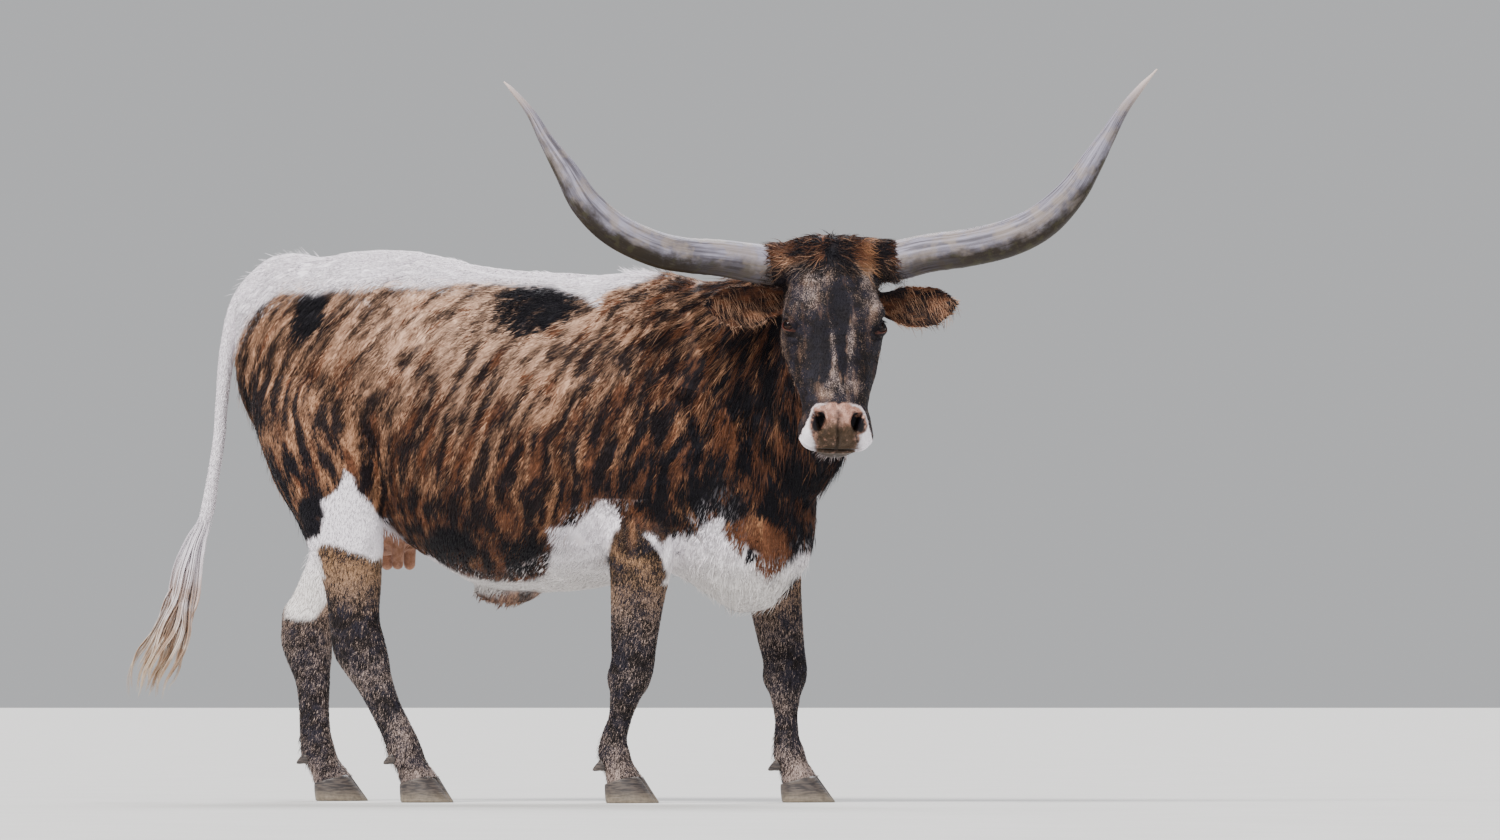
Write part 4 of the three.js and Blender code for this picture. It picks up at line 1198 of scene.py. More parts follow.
@dataclass(frozen=True)
class EarForm:
    """An ear: a leaf with a hollow face, held out level with the cup turned to the front."""

    side: Side
    length: float = 204.0
    wall: float = 10.5
    rows: tuple[Row, ...] = (
        (0, 27, 30), (20, 38, 36), (45, 56, 30), (70, 54, 20), (88, 36, 11), (96, 19, 6), (100, 8, 3),
    )

    def centre(self, share: Array) -> Array:
        """Gives the ear's middle line in the face's frame.

        Args:
            share: places along the ear, from zero to one.

        Returns:
            The points of the line.
        """
        share = np.asarray(share, float)
        droop = 26.0 if self.side is Side.RIGHT else 8.0
        return np.stack(
            [
                self.side.sign * (96 + self.length * share),
                -(126 + 10 * np.sin(np.pi * share) + droop * share),
                -104 + 16 * share,
            ],
            axis=-1,
        )

    def shell(self) -> Shell:
        """Lofts the ear with a wall thick enough to join the skin."""
        share = np.linspace(0, 1, 44)
        half, deep = through(self.rows, share * 100).T
        rings = []
        for middle, high, depth in zip(self.centre(share), half, deep):
            turn = np.radians(np.linspace(-84, 84, 25))
            back = np.stack([0 * turn, high * np.sin(turn), -depth * np.cos(turn)], axis=1)
            turn = np.radians(np.linspace(80, -80, 25))
            inner, shallow = max(1.0, high - 0.7 * self.wall), depth - self.wall
            cup = np.stack([0 * turn, inner * np.sin(turn), -shallow * np.cos(turn)], axis=1)
            rings.append(np.vstack([back, cup]) + middle)
        return Shell.over(np.array(rings)).placed(FACE)


def ellipsoid(centre: Row, reach: Row, count: int = 40) -> Shell:
    """Makes a closed ellipsoid.

    Args:
        centre: its middle.
        reach: how far it reaches along each axis.
        count: how many points go round it.

    Returns:
        The surface.
    """
    turn = np.linspace(0.02, np.pi - 0.02, count // 2)
    round_ = 2 * np.pi * np.arange(count) / count
    level = np.sin(turn)[:, None]
    ring = np.stack(
        [level * np.cos(round_), level * np.sin(round_), np.repeat(np.cos(turn)[:, None], count, 1)], axis=-1
    )
    return Shell.over(ring * np.array(reach) + np.array(centre))


@dataclass(frozen=True)
class TeatForm:
    """One teat, hanging from the udder."""

    at: tuple[float, float]
    bottom: float = 558.0
    top: float = 650.0
    radius: float = 13.5

    def shell(self) -> Shell:
        """Lofts the teat."""
        share = np.linspace(0, 1, 26)
        radius = self.wide(share) * np.sqrt(np.clip(1 - (1 - share / 0.16).clip(0) ** 2, 0.02, 1))
        centre = np.stack([self.at[0] + 0 * share, self.at[1] + 0 * share, self.bottom + 92 * share], axis=1)
        reach = np.stack([radius, radius, radius, 2 + 0 * share, 2 + 0 * share], axis=1)
        side, top = (np.tile(way, (26, 1)) for way in ([0.0, 1.0, 0.0], [1.0, 0.0, 0.0]))
        return Shell.over(rings_of(centre, side, top, reach, 24))

    def wide(self, share: Array) -> Array:
        """Gives the teat's radius at shares of its height."""
        return self.radius * (1 + 0.35 * share)

    def rounded(self, points: Array, mine: Array) -> Array:
        """Sets the skin's points back onto the teat's round form.

        Args:
            points: the skin's points.
            mine: which of them belong to the udder.

        Returns:
            The moved points.
        """
        share = (points[:, 2] - self.bottom) / (self.top - self.bottom)
        middle = np.array([*self.at, 0.0]) * np.ones((len(points), 1))
        middle[:, 2] = np.maximum(points[:, 2], self.bottom + self.radius)
        away = points - middle
        far = np.linalg.norm(away, axis=1)
        near = mine & (share < 0.6) & (np.hypot(*(points - middle)[:, :2].T) < 27) & (far > 1)
        reach = self.wide(np.clip(share, 0, 1)) - 0.4
        target = middle + away / np.maximum(far, 1e-6)[:, None] * reach[:, None]
        keep = ease(share, 0.45, 0.6)[:, None]
        return np.where(near[:, None], target * (1 - keep) + points * keep, points)


TEATS = tuple(TeatForm(at) for at in ((-296, -44), (-296, 40), (-352, -40), (-352, 36)))


def flesh() -> list[tuple[Region, Shell]]:
    """Gives every form that lies under the skin, with the region that it belongs to."""
    head = HeadForm()
    forms = [
        (Region.TRUNK, TorsoForm().shell()),
        (Region.TRUNK, ellipsoid((-32, 0, 511), (92, 15, 41))),
        (Region.NECK, NeckForm().shell()),
        (Region.HEAD, head.shell()),
        (Region.HEAD, head.collar(Side.RIGHT)),
        (Region.HEAD, head.collar(Side.LEFT)),
        (Region.EAR_RIGHT, EarForm(Side.RIGHT).shell()),
        (Region.EAR_LEFT, EarForm(Side.LEFT).shell()),
        (Region.TAIL, TAIL.shell()),
        (Region.UDDER, ellipsoid((-345, -2, 676), (104, 80, 84))),
    ]
    forms += [(leg.region, LimbForm(leg.path, leg.rows).shell()) for leg in LEGS]
    forms += [(Region.UDDER, teat.shell()) for teat in TEATS]
    return forms


@dataclass
class SkinMesh:
    """The skin's points in millimetres, its triangles and what is known at each point."""

    points: Array
    triangles: Array
    region: Array
    normals: Array = field(default_factory=lambda: np.zeros((0, 3)))

    def refresh(self) -> None:
        """Finds the normals again after points have moved."""
        self.normals = point_normals(self.points, self.triangles)

    def push(self, lift: Array) -> None:
        """Moves each point along its normal."""
        self.points = self.points + self.normals * lift[:, None]
        self.refresh()

    def edges(self) -> Array:
        """Gives each edge of the mesh once."""
        t = self.triangles
        pairs = np.sort(np.vstack([t[:, [0, 1]], t[:, [1, 2]], t[:, [2, 0]]]), axis=1)
        return np.unique(pairs, axis=0)


def averaged(values: Array, edges: Array, count: int) -> Array:
    """Averages values over each point's neighbours.

    Args:
        values: one number or vector for each point.
        edges: the pairs of neighbours.
        count: how many points there are.

    Returns:
        The averages, in the values' own form.
    """
    a, b = edges.T
    many = np.bincount(a, minlength=count) + np.bincount(b, minlength=count)
    many = np.maximum(many, 1)
    if values.ndim == 1:
        return (np.bincount(a, values[b], count) + np.bincount(b, values[a], count)) / many
    return np.stack([averaged(values[:, k], edges, count) for k in range(values.shape[1])], axis=1)


class SkinMaker:
    """Joins the forms into one skin, smooths it, sculpts it and lets it sink below the coat."""

    VOXEL = 5.0  # how fine the joined skin is, in millimetres
    KEEP = 0.34  # share of the faces that is kept away from the head and the feet
    ROUNDS = 34

    # how strongly each region is smoothed, and how deep the coat lies on it
    SOFTNESS = {
        Region.TRUNK: 1.0,
        Region.NECK: 1.0,
        Region.HEAD: 0.35,
        Region.EAR_RIGHT: 0.12,
        Region.EAR_LEFT: 0.12,
        Region.TAIL: 0.4,
        Region.UDDER: 0.5,
    }
    COAT = {
        Region.TRUNK: 5.0,
        Region.NECK: 5.5,
        Region.HEAD: 2.4,
        Region.EAR_RIGHT: 1.6,
        Region.EAR_LEFT: 1.6,
        Region.TAIL: 3.5,
        Region.UDDER: 0.0,
    }

    def __init__(self) -> None:
        """Starts with nothing made."""
        self.skin: SkinMesh | None = None

    def build(self) -> SkinMesh:
        """Makes the whole skin.

        Returns:
            The finished skin, in millimetres.
        """
        forms = flesh()
        self.skin = self.joined(forms)
        self.label(forms)
        self.smooth()
        self.lighten()
        self.label(forms)
        self.skin.refresh()
        self.sculpt_body()
        self.sink_coat()
        self.trim_feet()
        self.refine()
        self.sculpt_head()
        return self.skin

    def joined(self, forms: Sequence[tuple[Region, Shell]]) -> SkinMesh:
        """Melts the forms into one closed surface.

        Args:
            forms: the forms and their regions.

        Returns:
            The surface, its region not yet known.
        """
        points, quads, triangles, start = [], [], [], 0
        for _, shell in forms:
            points.append(shell.points)
            quads.append(shell.quads + start)
            triangles.append(shell.triangles + start)
            start += len(shell.points)
        mesh = make_mesh("flesh", np.vstack(points) * MM, [np.vstack(quads), np.vstack(triangles)])
        thing = link("flesh", mesh)
        modifier = thing.modifiers.new("melt", "REMESH")
        modifier.mode = "VOXEL"
        modifier.voxel_size = self.VOXEL * MM
        melted = evaluated(thing)
        remove(thing)
        found, faces = arrays_of(melted)
        bpy.data.meshes.remove(melted)
        return self.largest(SkinMesh(found / MM, faces, np.zeros(len(found), int)))

    @staticmethod
    def largest(skin: SkinMesh) -> SkinMesh:
        """Keeps the largest connected surface.

        Args:
            skin: the skin with loose bits.

        Returns:
            The skin without them.
        """
        edges = skin.edges()
        group = np.arange(len(skin.points))
        while True:
            low = np.minimum(group[edges[:, 0]], group[edges[:, 1]])
            before = group.copy()
            np.minimum.at(group, edges[:, 0], low)
            np.minimum.at(group, edges[:, 1], low)
            group = group[group]
            if np.array_equal(before, group):
                break
        names, counts = np.unique(group, return_counts=True)
        keep = group == names[np.argmax(counts)]
        number = np.cumsum(keep) - 1
        faces = skin.triangles[keep[skin.triangles].all(1)]
        return SkinMesh(skin.points[keep], number[faces], skin.region[keep])

    def label(self, forms: Sequence[tuple[Region, Shell]]) -> None:
        """Finds the region of every point from the nearest form.

        Args:
            forms: the regions and their forms.
        """
        skin = self.skin
        found = KDTree(sum(len(shell.points) for _, shell in forms))
        names = []
        for region, shell in forms:
            for place in shell.points.tolist():
                found.insert(place, len(names))
                names.append(int(region))
        found.balance()
        nearest = [found.find(place)[1] for place in skin.points.tolist()]
        skin.region = np.array(names)[nearest]

    def spread(self, values: dict[Region, float], legs: float, passes: int, edges: Array) -> Array:
        """Gives each point its region's number, softened across the borders.

        Args:
            values: the regions' numbers.
            legs: the number of the legs.
            passes: how often it is softened.
            edges: the skin's edges.

        Returns:
            One number for each point.
        """
        table = np.array([values.get(region, legs) for region in Region])
        spread = table[self.skin.region]
        for _ in range(passes):
            spread = 0.5 * spread + 0.5 * averaged(spread, edges, len(spread))
        return spread

    def smooth(self) -> None:
        """Evens out the joined surface, most where the forms meet."""
        skin = self.skin
        edges = skin.edges()
        count = len(skin.points)
        soft = self.spread(self.SOFTNESS, 0.5, 10, edges)[:, None]
        for turn in range(self.ROUNDS):
            for strength in (0.55, -0.56 if turn % 3 else -0.3):
                away = averaged(skin.points, edges, count) - skin.points
                skin.points = skin.points + strength * soft * away

    def lighten(self) -> None:
        """Takes faces away where the surface is plain."""
        skin = self.skin
        thing = link("skin_draft", make_mesh("skin_draft", skin.points * MM, [skin.triangles]))
        plain = np.isin(skin.region, [Region.TRUNK, Region.NECK])
        plain |= (skin.region == Region.UDDER) & (skin.points[:, 2] > 650)
        legs = (skin.region >= Region.FORE_RIGHT) & (skin.region <= Region.TAIL) & (skin.points[:, 2] > 90)
        group = thing.vertex_groups.new(name="plain")
        group.add(np.flatnonzero(plain).tolist(), 1.0, "REPLACE")
        group.add(np.flatnonzero(legs).tolist(), 0.75, "REPLACE")
        modifier = thing.modifiers.new("lighten", "DECIMATE")
        modifier.ratio = self.KEEP
        modifier.vertex_group = group.name
        modifier.vertex_group_factor = 1.0
        lighter = evaluated(thing)
        remove(thing)
        points, faces = arrays_of(lighter)
        bpy.data.meshes.remove(lighter)
        self.skin = SkinMesh(points / MM, faces, np.zeros(len(points), int))

    def sculpt_body(self) -> None:
        """Raises the bones and muscles and draws the folds of the body."""
        skin = self.skin
        lift = lift_of(skin.points, BODY_SWELLS)
        for fold in BODY_FOLDS:
            lift += fold.depth(skin.points)
        shallow = Noise.layered(skin.points, 170.0, 5, 2) * 2.2
        trunk = np.isin(skin.region, [Region.TRUNK, Region.NECK])
        skin.push(lift + shallow * trunk)

    def sink_coat(self) -> None:
        """Lets the skin lie below the solids' surface by the depth of the coat."""
        depth = self.spread(self.COAT, 3.0, 8, self.skin.edges())
        self.skin.push(-depth)

    def trim_feet(self) -> None:
        """Ends each leg flat where its hoof begins."""
        skin = self.skin
        for leg in LEGS:
            place, tilt = leg.coronet()
            mine = (skin.region == leg.region) & (skin.points[:, 2] < 130)
            below = np.minimum((skin.points - place) @ tilt + 1.0, 0.0) * mine
            skin.points = skin.points - below[:, None] * tilt
        skin.refresh()

    def refine(self) -> None:
        """Divides the faces of the face, finest round the eyes, nostrils and mouth."""
        for wide, reach in ((True, 5.4), (False, 2.4)):
            skin = self.skin
            local = FACE.into(skin.points)
            near = self.near_features(local, wide) & (skin.region == Region.HEAD)
            near |= wide & (skin.region == Region.UDDER) & (skin.points[:, 2] < 640)
            body = bmesh.new()
            mesh = make_mesh("skin_fine", skin.points, [skin.triangles])
            body.from_mesh(mesh)
            bpy.data.meshes.remove(mesh)
            body.verts.ensure_lookup_table()
            body.edges.ensure_lookup_table()
            chosen = [
                edge
                for edge in body.edges
                if near[edge.verts[0].index]
                and near[edge.verts[1].index]
                and edge.calc_length() > reach / 1.6
            ]
            bmesh.ops.subdivide_edges(body, edges=chosen, cuts=1, use_grid_fill=True)
            bmesh.ops.triangulate(body, faces=body.faces[:])
            fine = bpy.data.meshes.new("skin_fine")
            body.to_mesh(fine)
            body.free()
            points, faces = arrays_of(fine)
            bpy.data.meshes.remove(fine)
            region = np.where(points[:, 0] > 0, int(Region.HEAD), int(Region.UDDER))
            region[: len(skin.region)] = skin.region
            self.skin = SkinMesh(points, faces, region)
        for teat in TEATS:
            self.skin.points = teat.rounded(self.skin.points, self.skin.region == Region.UDDER)
        self.skin.refresh()

    @staticmethod
    def near_features(local: Array, wide: bool) -> Array:
        """Tells which points lie near a feature of the face.

        Args:
            local: points in the face's frame.
            wide: True for the whole front of the face, False for the features alone.

        Returns:
            True or False for each point.
        """
        down = -local[:, 1]
        near = np.zeros(len(local), bool)
        for side in Side:
            eye = EyeSetting(side)
            near |= np.linalg.norm(local - eye.centre, axis=1) < (58 if wide else 34)
            nostril = np.array([side.sign * 46.0, -472.0, -16.0])
            near |= np.linalg.norm(local - nostril, axis=1) < (60 if wide else 36)
        near |= (down > (400 if wide else 462)) & (local[:, 2] > (-190 if wide else -125))
        if wide:
            near |= (down > 90) & (local[:, 2] > -60)
        return near

    def sculpt_head(self) -> None:
        """Sculpts the face: lids, nostrils, mouth, chin and the bones under the skin."""
        skin = self.skin
        local = FACE.into(skin.points)
        normals = FACE.turn_into(skin.normals)
        head = skin.region == Region.HEAD
        lift = lift_of(local, both(FACE_SWELLS)) + lift_of(local, FACE_MIDDLE)
        for fold in FACE_FOLDS:
            lift += fold.depth(local)
        lift += self.mouth_line(local)
        local = local + normals * (lift * head)[:, None]
        local = self.nostrils(local, head)
        for side in Side:
            local = self.lids(local, EyeSetting(side), head)
        skin.points = np.where(head[:, None], FACE.out(local), skin.points)
        skin.refresh()

    @staticmethod
    def mouth_line(local: Array) -> Array:
        """Gives how deep the line of the mouth runs.

        Args:
            local: points in the face's frame.

        Returns:
            The depth at each point.
        """
        down = -local[:, 1]
        line = -94 + 0.25 * (down - 455)
        away = local[:, 2] - line
        deep = 8.0 * ease(down, 428, 452)
        crease = -deep * np.exp(-((away / 2.8) ** 2))
        lips = (
            2.6 * ease(down, 436, 470)
            * (np.exp(-(((away - 9) / 6) ** 2)) + np.exp(-(((away + 9) / 6) ** 2)))
        )
        return crease + lips

    @staticmethod
    def nostrils(local: Array, head: Array) -> Array:
        """Sinks the two comma-shaped nostrils and raises their rims.

        Args:
            local: points in the face's frame.
            head: which points belong to the head.

        Returns:
            The moved points.
        """
        for side in Side:
            sign = side.sign
            lean = math.radians(sign * 27)
            at = np.array([sign * 45.0, -474.0, -17.0])
            away = local - at
            across = away @ np.array([math.cos(lean), -math.sin(lean), 0.25 * sign])
            along = away @ np.array([math.sin(lean), math.cos(lean), 0.0])
            bend = sign * across - 0.011 * along**2 + 2.5
            narrow = 11.0 - 0.14 * along
            share = np.sqrt((bend / np.clip(narrow, 6, 14)) ** 2 + (along / 23.5) ** 2)
            near = head & (local[:, 2] > -75) & (share < 3)
            sunk = 1 - ease(share, 0.62, 1.04)
            rim = np.exp(-(((share - 1.28) / 0.26) ** 2)) * 2.6
            local = local.copy()
            local[:, 2] += near * (rim - 26 * sunk)
            local[:, 0] -= near * sign * 6 * sunk
            local[:, 1] += near * 8 * sunk
        return local

    @staticmethod
    def lids(local: Array, eye: EyeSetting, head: Array) -> Array:
        """Draws the lids over the eyeball and opens them, with the folds round them.

        Args:
            local: points in the face's frame.
            eye: the eye.
            head: which points belong to the head.

        Returns:
            The moved points.
        """
        axes = eye.axes()
        away = (local - eye.centre) @ axes.T
        out, long, high = away.T
        share = (np.abs(long / eye.long) ** 1.8 + np.abs(high / eye.high) ** 2) ** 0.5
        flat = np.hypot(long, high)
        near = head & (out > -8) & (flat < 48)
        ball = np.sqrt(np.maximum(eye.radius**2 - flat**2, 0))
        thick = 1.6 + 3.2 * ease(share, 1.0, 1.9)
        lid = np.sqrt(np.maximum((eye.radius + thick) ** 2 - flat**2, 0))
        keep = ease(share, 1.35, 2.5)
        upper = ease(high, -2, 6)
        fold = -2.6 * np.exp(-(((share - 2.05) / 0.2) ** 2)) * (0.45 + 0.55 * upper)
        bag = 1.6 * np.exp(-(((share - 2.6) / 0.4) ** 2))
        closed = (
            np.where(flat < eye.radius + 4, lid, np.minimum(out, lid)) * (1 - keep) + out * keep + fold
            + bag
        )
        rim = 1.1 * np.exp(-(((share - 1.06) / 0.07) ** 2))
        opened = 1 - ease(share, 0.93, 1.03)
        target = (closed + rim) * (1 - opened) + np.minimum(ball - 9, 4) * opened
        away[:, 0] = np.where(near, target, out)
        inside = near & (share < 1)
        away[inside, 1:] *= 1.0 + 0.1 * opened[inside][:, None]
        return away @ axes + eye.centre


BODY_SWELLS: tuple[Swell, ...] = (
    Swell("right point of the hip", (-338, -236, 1262), (34, 40, 30), 9),
    Swell("left point of the hip", (-338, 236, 1262), (34, 40, 30), 9),
    Swell("right thigh muscle", (-470, -230, 960), (110, 80, 150), 12),
    Swell("left thigh muscle", (-470, 230, 960), (110, 80, 150), 12),
    Swell("right hollow of the thigh", (-600, -170, 900), (60, 60, 130), -12),
    Swell("left hollow of the thigh", (-600, 170, 900), (60, 60, 130), -12),
    Swell("right spine of the shoulder blade", (356, -235, 1080), (34, 60, 150), 9),
    Swell("left spine of the shoulder blade", (420, 235, 1080), (34, 60, 150), 9),
    Swell("right hollow before the shoulder", (480, -200, 1060), (50, 70, 130), -11),
    Swell("left hollow before the shoulder", (545, 200, 1060), (50, 70, 130), -11),
    Swell("right elbow", (300, -215, 640), (46, 46, 44), 13),
    Swell("left elbow", (470, 215, 640), (46, 46, 44), 13),
    Swell("brisket", (600, -70, 545), (90, 110, 60), 12),
    Swell("right knee", (372, -153, 322), (30, 34, 38), 5),
    Swell("left knee", (656, 150, 322), (30, 34, 38), 5),
    Swell("right back of the knee", (292, -153, 300), (20, 26, 24), 6),
    Swell("left back of the knee", (576, 150, 300), (20, 26, 24), 6),
    Swell("right hock point", (-398, -164, 432), (22, 24, 30), 9),
    Swell("left hock point", (-660, 163, 462), (22, 24, 30), 9),
    Swell("right hollow of the hock", (-372, -196, 470), (26, 22, 50), -8),
    Swell("left hollow of the hock", (-620, 196, 500), (26, 22, 50), -8),
    Swell("right inner hollow of the hock", (-372, -128, 470), (26, 22, 50), -8),
    Swell("left inner hollow of the hock", (-620, 128, 500), (26, 22, 50), -8),
)
BODY_FOLDS: tuple[Fold, ...] = (
    Fold(
        "right flank", ((-150, -262, 850), (-205, -262, 740), (-262, -240, 650), (-300, -200, 600)), 13,
        17,
    ),
    Fold("left flank", ((-150, 262, 850), (-205, 262, 740), (-262, 240, 650), (-300, 200, 600)), 13, 17),
    Fold("right armpit", ((452, -215, 640), (420, -190, 590), (398, -150, 552)), 12, 13),
    Fold("left armpit", ((640, 200, 640), (640, 180, 590), (640, 150, 552)), 12, 13),
    Fold(
        "first brisket fold", ((430, -175, 560), (500, -168, 585), (580, -140, 590), (640, -100, 575)),
        6, 10,
    ),
    Fold(
        "second brisket fold", ((430, -165, 530), (510, -150, 540), (590, -118, 540), (650, -70, 530)),
        7, 10,
    ),
    Fold("third brisket fold", ((430, -140, 500), (520, -115, 500), (600, -80, 502)), 6, 9),
    Fold("left brisket fold", ((430, 165, 530), (510, 150, 540), (590, 118, 540), (650, 70, 530)), 7, 10),
    Fold(
        "first neck fold", ((760, -190, 1220), (740, -190, 1100), (735, -170, 980), (725, -130, 880)),
        7, 17,
    ),
    Fold(
        "second neck fold", ((700, -165, 1230), (672, -170, 1120), (660, -160, 1000), (668, -130, 880)),
        5, 17,
    ),
    Fold("third neck fold", ((640, -160, 1200), (612, -165, 1100), (600, -170, 990)), 4, 18),
    Fold("left neck fold", ((720, 20, 1250), (745, 60, 1120), (730, 90, 980)), 6, 18),
    Fold("crease behind the right shoulder", ((255, -272, 1120), (238, -285, 950), (248, -262, 780)), 6, 24),
    Fold("crease behind the left shoulder", ((320, 272, 1120), (300, 285, 950), (312, 262, 780)), 6, 24),
    Fold("right thigh line", ((-560, -178, 1060), (-590, -150, 900), (-560, -190, 780)), 6, 20),
    Fold("left thigh line", ((-560, 178, 1060), (-590, 150, 900), (-560, 190, 780)), 6, 20),
)
FACE_SWELLS: tuple[Swell, ...] = (
    Swell("upper rim of the socket", (98, -197, -12), (22, 26, 18), 8),
    Swell("lower rim of the socket", (112, -256, -64), (16, 26, 22), 4),
    Swell("hollow before the eye", (72, -259, -12), (16, 28, 20), -6),
    Swell("facial crest", (92, -318, -84), (16, 60, 12), 7),
    Swell("hollow of the cheek", (84, -352, -116), (26, 40, 26), -8),
    Swell("chewing muscle", (96, -232, -168), (34, 56, 46), 6),
    Swell("jaw's edge", (62, -262, -226), (30, 70, 20), 5),
    Swell("nasal bone edge", (40, -330, 2), (14, 90, 14), 3),
    Swell("upper lip pad", (58, -500, -58), (28, 20, 24), 4),
    Swell("lip's fleshy corner", (76, -458, -96), (18, 22, 16), 4),
    Swell("poll bump", (34, -8, -40), (36, 24, 40), 6),
    Swell("side of the lower lip", (74, -502, -126), (30, 40, 24), -13),
)
FACE_MIDDLE: tuple[Swell, ...] = (
    Swell("hollow of the forehead", (0, -210, 6), (22, 60, 20), -3.5),
    Swell("bridge of the nose", (0, -340, 0), (18, 80, 20), 2.5),
    Swell("top of the nose pad", (0, -428, -6), (36, 8, 20), 3),
    Swell("middle of the nose pad", (0, -470, -14), (24, 26, 20), 3),
    Swell("chin", (0, -500, -140), (44, 24, 22), 7),
    Swell("hollow between the jaws", (0, -330, -214), (26, 90, 30), -12),
)
FACE_FOLDS: tuple[Fold, ...] = (
    Fold("philtrum", ((0, -470, -10), (0, -490, -22), (0, -510, -40), (0, -524, -66)), 4.5, 2.6, 0.3),
    Fold("right lip wrinkle", ((-84, -452, -70), (-88, -468, -84), (-84, -482, -92)), 2, 2.6),
    Fold("left lip wrinkle", ((84, -452, -70), (88, -468, -84), (84, -482, -92)), 2, 2.6),
    Fold("right brow crease", ((-66, -177, 2), (-86, -173, -14), (-104, -179, -34)), 2.6, 4),
    Fold("left brow crease", ((66, -177, 2), (86, -173, -14), (104, -179, -34)), 2.6, 4),
    Fold("right crease below the eye", ((-74, -253, -14), (-92, -269, -34), (-104, -269, -66)), 2.6, 4),
    Fold("left crease below the eye", ((74, -253, -14), (92, -269, -34), (104, -269, -66)), 2.6, 4),
)


# What grows where: the markings and the lie of the hair


@dataclass(frozen=True)
class Outline:
    """The outline of a marking in the side view: along the view and up, in millimetres."""

    name: str
    corners: tuple[tuple[float, float], ...]
    soft: float = 7.0

    def covers(self, along: Array, height: Array) -> Array:
        """Tells how far each place lies within the outline, from 0 outside to 1 inside.

        Args:
            along: places along the body.
            height: heights above the floor.

        Returns:
            The share at each place.
        """
        corner = np.asarray(self.corners, float)
        nearest = np.full(len(along), np.inf)
        inside = np.zeros(len(along), bool)
        for (x0, z0), (x1, z1) in zip(corner, np.roll(corner, -1, axis=0)):
            dx, dz = x1 - x0, z1 - z0
            t = np.clip(((along - x0) * dx + (height - z0) * dz) / (dx * dx + dz * dz), 0, 1)
            nearest = np.minimum(nearest, np.hypot(along - x0 - t * dx, height - z0 - t * dz))
            crosses = (z0 > height) != (z1 > height)
            at = x0 + (height - z0) / (dz if dz else 1e-9) * dx
            inside ^= crosses & (along < at)
        return ease(np.where(inside, nearest, -nearest), -self.soft, self.soft)


@dataclass(frozen=True)
class Spot:
    """A round marking: its middle, its reach and how soft its edge is."""

    name: str
    at: Row
    reach: Row
    soft: float = 0.16

    def covers(self, places: Array) -> Array:
        """Tells how far each place lies within the spot, from 0 outside to 1 inside.

        Args:
            places: the points.

        Returns:
            The share at each point.
        """
        away = (places - np.array(self.at)) / np.array(self.reach)
        return 1 - ease(np.linalg.norm(away, axis=1), 1 - self.soft, 1 + self.soft)


BACK_STRIP = Outline(
    "white along the back",
    (
        (-760, 1500), (392, 1500), (352, 1262), (288, 1236), (221, 1224), (202, 1176), (173, 1205),
        (96, 1229), (-48, 1243), (-192, 1238), (-336, 1234), (-444, 1229), (-499, 1224),
        (-514, 1231), (-578, 1231), (-655, 1166), (-686, 1090), (-760, 1090),
    ),
)
THIGH_PATCH = Outline(
    "white of the thigh and flank",
    (
        (-415, 796), (-396, 775), (-384, 742), (-370, 730), (-336, 684), (-300, 648), (-270, 612),
        (-278, 590), (-336, 586), (-350, 581), (-394, 595), (-430, 614), (-473, 617), (-485, 600),
        (-468, 540), (-500, 540), (-530, 610), (-487, 643), (-470, 689), (-475, 722), (-454, 730),
        (-434, 749), (-420, 770),
    ),
    5.0,
)
BELLY = Outline(
    "white of the belly",
    (
        (-300, 620), (-209, 566), (-144, 540), (-48, 532), (24, 528), (77, 552), (89, 617),
        (77, 658), (142, 662), (178, 710), (197, 727), (262, 703), (247, 655), (226, 646),
        (209, 581), (300, 485), (300, 380), (-336, 380),
    ),
)
ARM_TRIANGLE = Outline(
    "white over the foreleg",
    (
        (300, 638), (324, 638), (346, 614), (362, 634), (386, 638), (374, 602), (358, 540), (346, 578),
        (331, 602),
    ),
    5.0,
)
BRISKET = Outline(
    "white of the brisket",
    (
        (362, 636), (415, 641), (470, 686), (492, 686), (494, 650), (509, 619), (545, 588),
        (590, 540), (605, 538), (638, 566), (679, 607), (725, 600), (725, 560), (655, 540),
        (640, 400), (300, 400), (324, 485), (355, 540), (370, 602),
    ),
)
FAR_HIND = Outline(
    "white of the far hind leg",
    ((-560, 700), (-380, 700), (-420, 533), (-449, 456), (-475, 490), (-499, 456), (-528, 437), (-580, 450)),
)
BRISKET_RUST = Outline(
    "rust of the brisket",
    (
        (494, 670), (535, 690), (566, 694), (634, 665), (660, 605), (612, 540), (593, 540), (550, 583),
        (509, 619),
    ),
    10.0,
)
# dark blots in the side view: along, up, reach along and up
BLOTS: tuple[Row, ...] = (
    (-500, 1170, 36, 64), (52, 1183, 92, 58), (17, 600, 67, 55), (-161, 626, 77, 50),
    (442, 739, 48, 48), (554, 600, 24, 22), (518, 691, 19, 19), (-504, 696, 34, 48),
    (-497, 664, 26, 30),
)
# rows of the hair's slope on the trunk: x, z, degrees that it leans back from straight down
SLOPES: tuple[Row, ...] = (
    (-621, 1195, 30), (-449, 1169, 30), (-399, 965, 5), (-575, 893, -18), (-436, 869, -27),
    (-222, 1133, 40), (-222, 917, 25), (-70, 1085, 40), (-70, 773, 15), (157, 1133, 40), (182, 845, 20),
    (283, 605, 10), (409, 1085, 30), (535, 845, 12), (687, 845, 3), (788, 725, -5),
)
